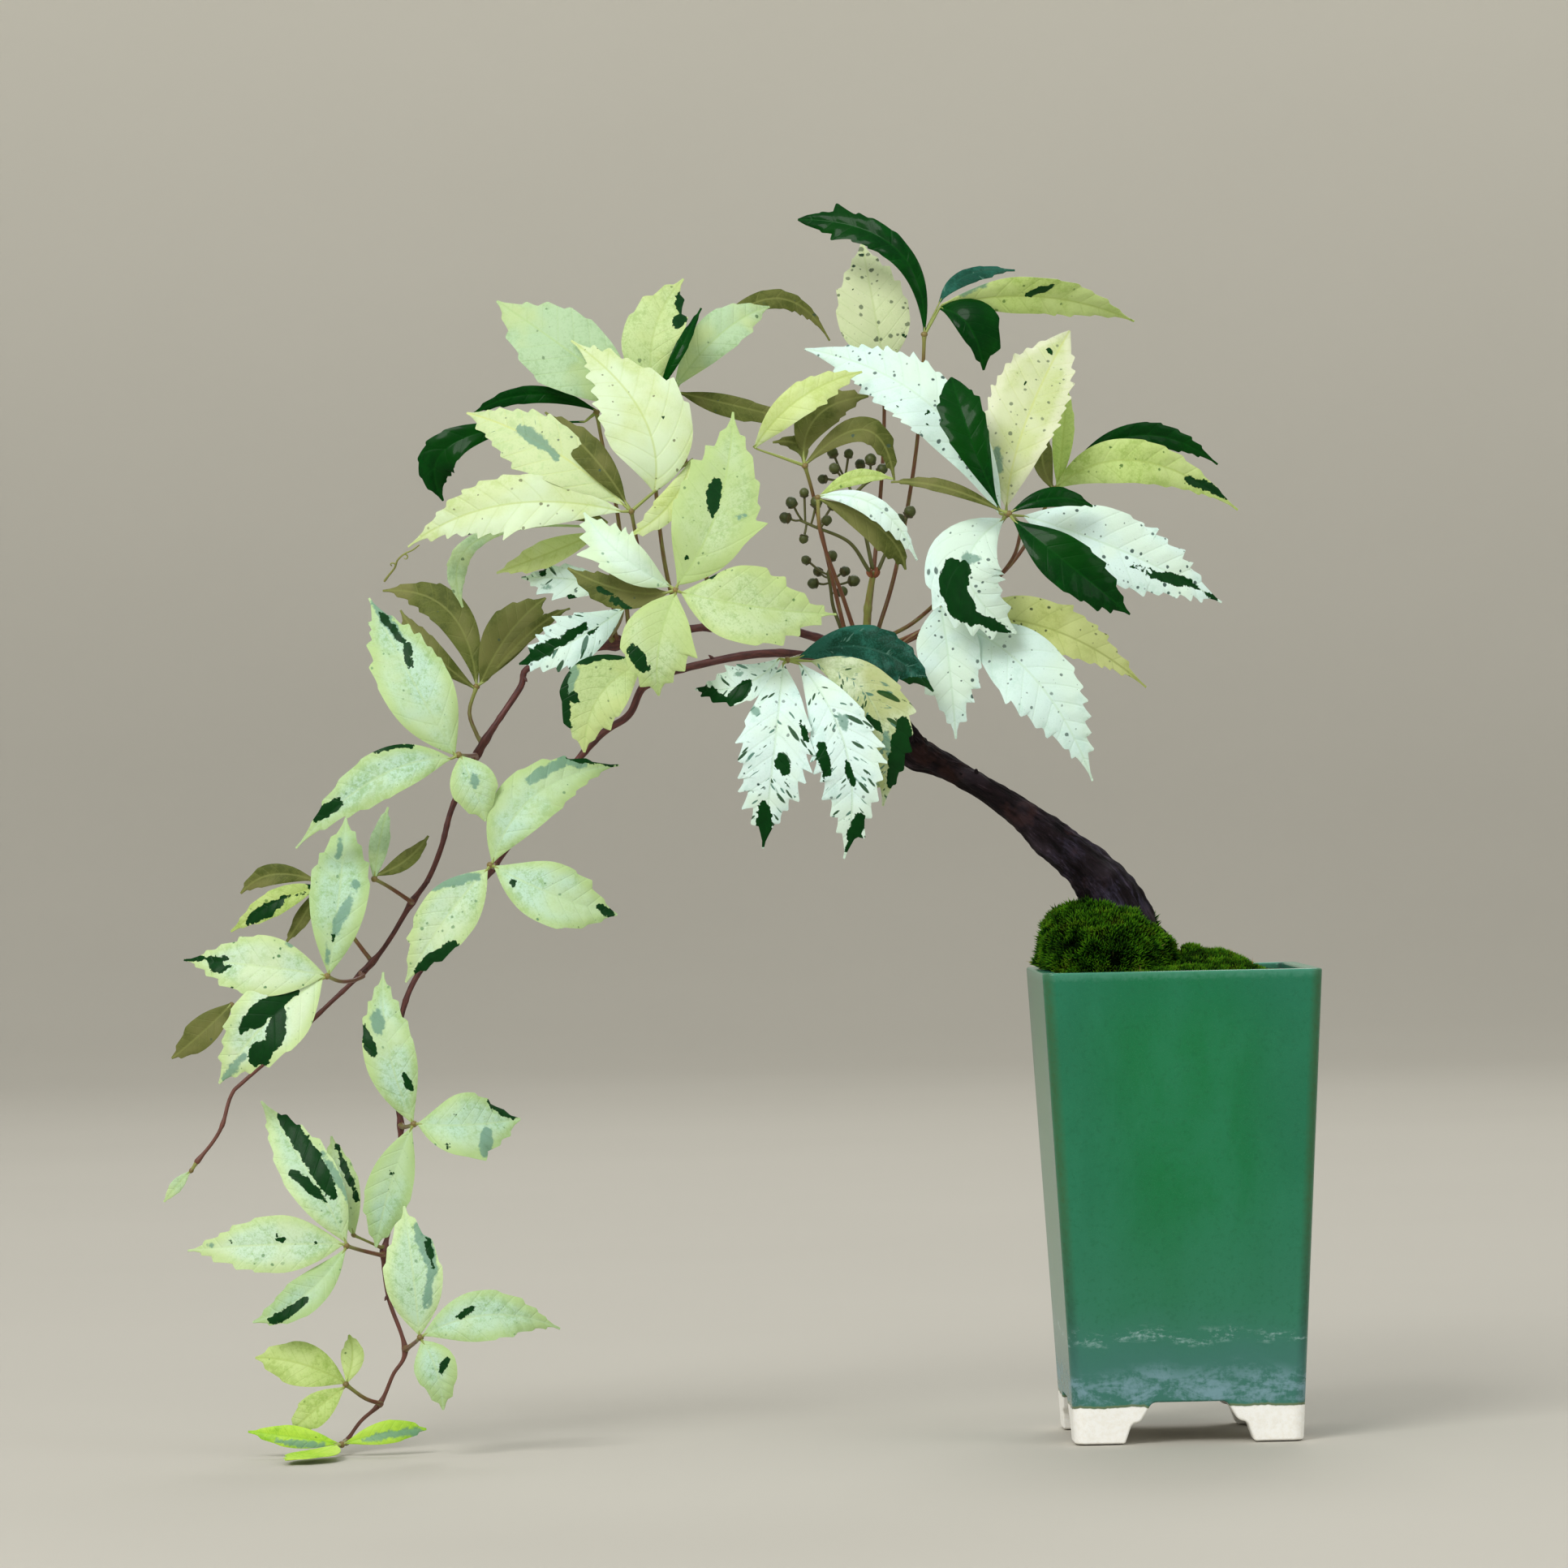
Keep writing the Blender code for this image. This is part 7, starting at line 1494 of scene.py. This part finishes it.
def build_moss(mat):
    cavity = (POT_TOP - 2 * POT_WALL) / 2
    trunk = smooth_path(TRUNK, 1.0)

    def beyond(p):
        return p[2] < 110.3 and max(abs(p[0]), abs(p[1])) > cavity - 0.35

    def in_trunk(p, room=0.2):
        d = np.linalg.norm(trunk[:, :3] - p, axis=1)
        i = int(d.argmin())
        return d[i] < trunk[i, 3] + room

    # mound: cushion under the shoots
    bm = bmesh.new()
    bmesh.ops.create_icosphere(bm, subdivisions=6, radius=1.0)
    for v in bm.verts:
        n = v.co.normalized()
        p = mound_point(tuple(n))
        hill = clump(p) - 0.8
        p = p + np.array(n) * hill
        sunk = max(0.0, 104.4 - p[2])
        if sunk:
            p[2] = 104.4 - 0.01 * sunk
        if p[2] < 110.3:
            k = min(1.0, (cavity - 0.45) / max(abs(p[0]), abs(p[1])))
            if k < 1.0:
                p[0] *= k
                p[1] *= k
        k = 1.0 - 0.035 * sunk
        p[0] = MOUND_C[0] + (p[0] - MOUND_C[0]) * k
        p[1] = MOUND_C[1] + (p[1] - MOUND_C[1]) * k
        v.co = p
    bmesh.ops.remove_doubles(bm, verts=bm.verts, dist=0.004)
    bmesh.ops.dissolve_degenerate(bm, edges=bm.edges, dist=0.004)
    bm.verts.index_update()
    verts = [tuple(v.co) for v in bm.verts]
    faces = [tuple(v.index for v in f.verts) for f in bm.faces]
    bm.free()
    sh = Shape()
    # the cushion takes the near-black foot colour of the moss: painted shade under the shoots
    sh.add(verts, faces, 0, tint=np.array([0.12, 0.3, 0.0]))
    rng = np.random.default_rng(11)
    spots = []
    count = 5200
    for i in range(count):
        z = 1 - (i + 0.5) / count * 1.35
        if z < -0.2:
            break
        a = i * 2.399963
        r = math.sqrt(max(0.0, 1 - z * z))
        n = unit(np.array([r * math.cos(a), r * math.sin(a), z]) + rng.uniform(-0.03, 0.03, 3))
        p = mound_point(tuple(n), -0.2)
        hill = clump(p) - 0.6
        p = p + n * hill
        if p[2] < 108.5 or in_trunk(p) or (p[2] < 110.6 and max(abs(p[0]), abs(p[1])) > cavity - 0.7):
            continue
        nor = unit(n / np.array(MOUND_R) ** 1.0)
        spots.append((p, unit(nor + np.array([0, 0, 0.25]))))
    # collar round the foot of the trunk
    bm = bmesh.new()
    bmesh.ops.create_icosphere(bm, subdivisions=5, radius=1.0)
    for v in bm.verts:
        n = v.co.normalized()
        p = collar_point(tuple(n))
        p = p + np.array(n) * (clump(p) - 0.8)
        p[2] = max(p[2], 104.9)
        v.co = p
    bmesh.ops.remove_doubles(bm, verts=bm.verts, dist=0.002)
    bmesh.ops.dissolve_degenerate(bm, edges=bm.edges, dist=0.002)
    bm.verts.index_update()
    # the collar cushion takes the near-black foot colour of the moss: painted shade under the shoots
    sh.add([tuple(v.co) for v in bm.verts], [tuple(v.index for v in f.verts) for f in bm.faces], 0,
           tint=np.array([0.12, 0.3, 0.0]))
    bm.free()
    for i in range(1900):
        z = 1 - (i + 0.5) / 1900 * 1.3
        a = i * 2.399963
        r = math.sqrt(max(0.0, 1 - z * z))
        n = unit(np.array([r * math.cos(a), r * math.sin(a), z]) + rng.uniform(-0.04, 0.04, 3))
        p = collar_point(tuple(n), -0.2)
        p = p + n * (clump(p) - 0.6)
        if p[2] < 109.0 or in_trunk(p) or in_mound(p, -0.3):
            continue
        spots.append((p, unit(n / np.array(COLLAR_R) + np.array([0, 0, 0.03]))))
    V, F, R = moss_shoots(spots, 21, 1.7, 0.003, beyond)
    sh.add(V, F, 0, tint=np.array(R))
    sh.make("moss_mound_shoots", [mat], "moss_mound", 80)

    # carpet
    n = 64
    half = cavity - 0.45
    g = np.linspace(-half, half, n + 1)
    verts, faces = [], []
    for j in range(n + 1):
        for i in range(n + 1):
            x, y = g[i], g[j]
            z = carpet_top(x, y) - 0.6 + 0.35 * noise.noise(Vector((x, y, 0)) * 0.5)
            p = np.array([x, y, z])
            if in_mound(p, 0.2):
                z = min(z, 106.5)
            verts.append((x, y, max(z, 105.0)))
    off = len(verts)
    for j in range(n + 1):
        for i in range(n + 1):
            k = 0.985
            verts.append((g[i] * k, g[j] * k, 104.4))
    N = n + 1
    for j in range(n):
        for i in range(n):
            q = (j * N + i, j * N + i + 1, (j + 1) * N + i + 1, (j + 1) * N + i)
            faces.append(q)
            faces.append(tuple(k + off for k in q[::-1]))
    ring = ([i for i in range(N)] + [j * N + n for j in range(1, N)]
            + [n * N + i for i in range(n - 1, -1, -1)] + [j * N for j in range(n - 1, 0, -1)])
    for a, b in zip(ring, ring[1:] + ring[:1]):
        faces.append((a, a + off, b + off, b))
    sh = Shape()
    # the carpet cushion takes the near-black foot colour of the moss: painted shade under the shoots
    sh.add(verts, faces, 0, tint=np.array([0.15, 0.35, 0.0]))
    spots = []
    step = 0.86
    m = int(2 * half / step)
    for j in range(m):
        for i in range(m):
            x = -half + (i + 0.5) * step + rng.uniform(-0.4, 0.4)
            y = -half + (j + 0.5) * step + rng.uniform(-0.4, 0.4)
            z = carpet_top(x, y) - 0.35
            p = np.array([x, y, z])
            if in_mound(p, 1.0) or in_trunk(p) or max(abs(x), abs(y)) > half - 0.3:
                continue
            if sum(((p[k] - COLLAR_C[k]) / COLLAR_R[k]) ** 2 for k in range(3)) < 0.9:
                continue
            spots.append((p, unit(np.array([x / 90, y / 90, 1.0]))))
    V, F, R = moss_shoots(spots, 22, 1.35, 0.010, beyond)
    sh.add(V, F, 0, tint=np.array(R))
    sh.make("moss_carpet_shoots", [mat], "moss_carpet", 80)


# ================================================================ pot
def frustum(name, w0, z0, w1, z1, corner=0.0, seg=8):
    bm = bmesh.new()
    bmesh.ops.create_cube(bm, size=1.0)
    for v in bm.verts:
        w, z = (w1, z1) if v.co.z > 0 else (w0, z0)
        v.co = Vector((v.co.x * w, v.co.y * w, z)) * MM
    if corner:
        ups = [e for e in bm.edges if abs(e.verts[0].co.z - e.verts[1].co.z) > 1e-6]
        bmesh.ops.bevel(bm, geom=ups, offset=corner * MM, segments=seg, profile=0.5, affect="EDGES")
    bmesh.ops.recalc_face_normals(bm, faces=bm.faces)
    me = bpy.data.meshes.new(name)
    bm.to_mesh(me)
    bm.free()
    ob = bpy.data.objects.new(name, me)
    bpy.context.scene.collection.objects.link(ob)
    return ob


def bake(ob):
    bpy.context.view_layer.update()
    deps = bpy.context.evaluated_depsgraph_get()
    me = bpy.data.meshes.new_from_object(ob.evaluated_get(deps))
    ob.modifiers.clear()
    ob.data = me
    return ob


def cut(ob, other):
    mod = ob.modifiers.new("cut", "BOOLEAN")
    mod.operation = "DIFFERENCE"
    mod.solver = "EXACT"
    mod.object = other
    bake(ob)
    bpy.data.objects.remove(other, do_unlink=True)


def build_pot(mat):
    pot = frustum("pot_glazed", POT_BOT, 0.0, POT_TOP, POT_H, POT_CORNER, 10)
    slope = (POT_TOP - POT_BOT) / POT_H
    z0 = FOOT_H + FLOOR_T
    cut(pot, frustum("inside", POT_BOT + slope * z0 - 2 * POT_WALL, z0,
                     POT_TOP - 2 * POT_WALL + slope * 5, POT_H + 5.0, 1.8, 6))
    for turn in (0.0, math.pi / 2):
        bm = bmesh.new()
        pts = ARCH + [(-x, z) for x, z in reversed(ARCH)]
        near = [bm.verts.new((x * MM, -0.05, z * MM)) for x, z in pts]
        far = [bm.verts.new((x * MM, 0.05, z * MM)) for x, z in pts]
        bm.faces.new(near)
        bm.faces.new(far[::-1])
        for k in range(len(pts)):
            k2 = (k + 1) % len(pts)
            bm.faces.new((near[k2], near[k], far[k], far[k2]))
        longs = [e for e in bm.edges if abs(e.verts[0].co.y - e.verts[1].co.y) > 0.01
                 and e.verts[0].co.z > 0.001]
        bmesh.ops.bevel(bm, geom=longs, offset=0.9 * MM, segments=3, profile=0.5, affect="EDGES")
        bmesh.ops.rotate(bm, verts=bm.verts, cent=(0, 0, 0), matrix=Matrix.Rotation(turn, 3, "Z"))
        bmesh.ops.recalc_face_normals(bm, faces=bm.faces)
        me = bpy.data.meshes.new("arch")
        bm.to_mesh(me)
        bm.free()
        arch = bpy.data.objects.new("arch", me)
        bpy.context.scene.collection.objects.link(arch)
        cut(pot, arch)
    mod = pot.modifiers.new("soft_edges", "BEVEL")
    mod.width = 0.75 * MM
    mod.segments = 4
    mod.limit_method = "ANGLE"
    mod.angle_limit = math.radians(28)
    mod.use_clamp_overlap = True
    mod.harden_normals = False
    bake(pot)
    # the hollow under the floor opens the arches into each other
    w = POT_BOT - 2 * FOOT_T
    cut(pot, frustum("under", w, -5.0, w, FOOT_H - 0.2, 2.0, 4))
    bm = bmesh.new()
    bmesh.ops.create_cone(bm, cap_ends=True, segments=48, radius1=DRAIN_R * MM,
                          radius2=DRAIN_R * MM, depth=30 * MM)
    me = bpy.data.meshes.new("drain")
    bm.to_mesh(me)
    bm.free()
    drain = bpy.data.objects.new("drain", me)
    bpy.context.scene.collection.objects.link(drain)
    cut(pot, drain)
    bm = bmesh.new()
    bm.from_mesh(pot.data)
    bmesh.ops.remove_doubles(bm, verts=bm.verts, dist=0.03 * MM)
    bmesh.ops.dissolve_degenerate(bm, edges=bm.edges, dist=0.03 * MM)
    bmesh.ops.triangulate(bm, faces=bm.faces, ngon_method="EAR_CLIP")
    # drop flaps of no thickness: two triangles back to back on the same corners
    seen = {}
    for f in bm.faces:
        seen.setdefault(frozenset(v.index for v in f.verts), []).append(f)
    bmesh.ops.delete(bm, geom=[f for g in seen.values() if len(g) > 1 for f in g], context="FACES")
    bm.to_mesh(pot.data)
    bm.free()
    me = pot.data
    co = np.zeros(len(me.vertices) * 3)
    me.vertices.foreach_get("co", co)
    co = co.reshape(-1, 3) + np.array(POT_AT)
    me.vertices.foreach_set("co", co.ravel())
    me.materials.clear()
    me.materials.append(mat)
    me.shade_smooth()
    me.set_sharp_from_angle(angle=math.radians(35))
    mod = pot.modifiers.new("even_shade", "WEIGHTED_NORMAL")
    mod.keep_sharp = True
    bake(pot)
    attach(pot, "root")
    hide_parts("pot")
    return pot


# ================================================================ build it
def dress(node, mat, smooth=None):
    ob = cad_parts[node]
    ob.data.materials.clear()
    ob.data.materials.append(mat)
    return ob


def build():
    mats = leaf_materials()
    stalk = stalk_material("petiole_skin", rgb(122, 120, 58), rgb(112, 66, 44), rgb(150, 164, 84))
    hubm = stalk_material("leaf_knuckle", rgb(132, 106, 58), rgb(104, 70, 40), rgb(150, 150, 80))
    stemm = stalk_material("stem_bark", rgb(104, 52, 48), rgb(70, 34, 34), rgb(124, 80, 62), 0.55)
    budm = stalk_material("bud_skin", rgb(52, 62, 26), rgb(74, 82, 34), rgb(80, 88, 36), 0.5)
    budstalk = stalk_material("bud_stalk", rgb(84, 88, 40), rgb(70, 60, 34), rgb(110, 116, 58), 0.5)
    scalem = stalk_material("bud_scale", rgb(122, 62, 34), rgb(150, 92, 58), rgb(120, 70, 40), 0.7)
    moss = moss_material("living_moss", rgb(1, 5, 1), rgb(12, 56, 3), rgb(84, 154, 20), rgb(176, 146, 90))

    trunk = build_trunk(bark_material())
    roots = []
    for name, blades, petiole in LEAVES:
        roots.append(np.array(petiole[-1], float))
    upper = build_stem("stem_upper", UPPER_STEM, stemm, roots, 1)
    lower = build_stem("stem_lower", LOWER_STEM, stemm, roots, 2)
    build_leaves(mats, stalk, hubm, [upper, lower, trunk])
    build_buds(budm, budstalk)
    build_shoot(stalk, scalem)
    build_tendril(stalk)
    build_moss(moss)
    build_pot(glaze_material())
    dress("soil", plain("potting_mix", rgb(52, 34, 22), rgb(96, 68, 46), 0.6, 0.95, 0.9, 0.0012))
    dress("drain_mesh", plain("black_plastic", rgb(22, 22, 23), rgb(34, 34, 36), 0.8, 0.5, 0.15))
    dress("mesh_clip", plain("clip_wire", rgb(150, 146, 140), rgb(120, 112, 104), 1.2, 0.34, 0.15, metal=1.0))


def stage():
    """Pale bowl-shaped floor, soft lights and the camera."""
    prof = [(0.0, 0.0), (0.4, 0.0), (0.9, 0.0), (1.5, 0.0), (2.2, 0.0)]
    r0, rr = 2.3, 1.5
    for k in range(0, 13):
        a = math.pi / 2 * k / 12
        prof.append((r0 + rr * math.sin(a), rr * (1 - math.cos(a))))
    prof.append((r0 + rr, 3.0))
    bm = bmesh.new()
    n = 96
    rings = []
    centre = bm.verts.new((0, 0, -0.0003))
    for r, z in prof[1:]:
        rings.append([bm.verts.new((r * math.cos(2 * math.pi * k / n), r * math.sin(2 * math.pi * k / n), z - 0.0003)) for k in range(n)])
    for k in range(n):
        bm.faces.new((centre, rings[0][k], rings[0][(k + 1) % n]))
    for a, b in zip(rings, rings[1:]):
        for k in range(n):
            bm.faces.new((a[k], b[k], b[(k + 1) % n], a[(k + 1) % n]))
    me = bpy.data.meshes.new("studio_floor")
    bm.to_mesh(me)
    bm.free()
    me.shade_smooth()
    floor = bpy.data.objects.new("studio_floor", me)
    bpy.context.scene.collection.objects.link(floor)
    m = Nodes("studio_paper", 0.85)
    tc = m.t.nodes.new("ShaderNodeTexCoord").outputs["Object"]
    tone = m.noise(tc, 3.0, 3.0)
    sep = m.t.nodes.new("ShaderNodeSeparateXYZ")
    m.t.links.new(tc, sep.inputs[0])
    wall = m.mix(tone, rgb(230, 226, 212), rgb(235, 231, 218))
    flat = m.mix(tone, rgb(183, 179, 168), rgb(189, 185, 174))
    me.materials.append(m.done(m.mix(m.step(sep.outputs[2], -0.1, 1.1), flat, wall), 0.85, m.bump(m.noise(tc, 160.0, 3.0), 0.05, 0.0005)))

    def area(name, loc, size, power, colour=(1, 1, 1), target=(0, 0, 0.16)):
        li = bpy.data.lights.new(name, "AREA")
        li.shape = "DISK"
        li.size = size
        li.energy = power
        li.color = colour
        ob = bpy.data.objects.new(name, li)
        ob.location = loc
        ob.rotation_mode = "QUATERNION"
        ob.rotation_quaternion = (Vector(target) - Vector(loc)).to_track_quat("-Z", "Y")
        bpy.context.scene.collection.objects.link(ob)

    area("key", (-1.0, -1.6, 1.6), 1.1, 35.0, (1.0, 0.995, 0.985))
    area("fill", (1.6, -1.3, 0.9), 1.2, 7.0, (0.94, 0.98, 1.0))
    area("back", (0.3, 1.6, 1.6), 1.0, 10.0, (1.0, 1.0, 1.0))
    world = bpy.data.worlds.new("studio")
    bpy.context.scene.world = world
    world.use_nodes = True
    bg = world.node_tree.nodes["Background"]
    bg.inputs[0].default_value = (0.95, 0.97, 1.0, 1.0)
    bg.inputs[1].default_value = 0.70

    cam = bpy.data.cameras.new("camera")
    cam.sensor_width = 36.0
    cam.lens = 9025.0 / 1932.0 * 36.0
    cam.clip_start, cam.clip_end = 0.05, 50.0
    ob = bpy.data.objects.new("camera", cam)
    yaw, roll = math.radians(1.6), math.radians(1.1)
    look = Vector((math.sin(yaw), math.cos(yaw), 0.0))
    right = Vector((math.cos(yaw), -math.sin(yaw), 0.0))
    up = Vector((0, 0, 1.0))
    x = right * math.cos(roll) - up * math.sin(roll)
    y = right * math.sin(roll) + up * math.cos(roll)
    rot = Matrix((x, y, -look)).transposed()
    ob.rotation_mode = "QUATERNION"
    ob.rotation_quaternion = rot.to_quaternion()
    ob.location = POT_AT + Vector((-0.139210, -1.729375, 0.155141))
    bpy.context.scene.collection.objects.link(ob)
    bpy.context.scene.camera = ob
    bpy.context.scene.view_settings.view_transform = "Standard"


build()
stage()
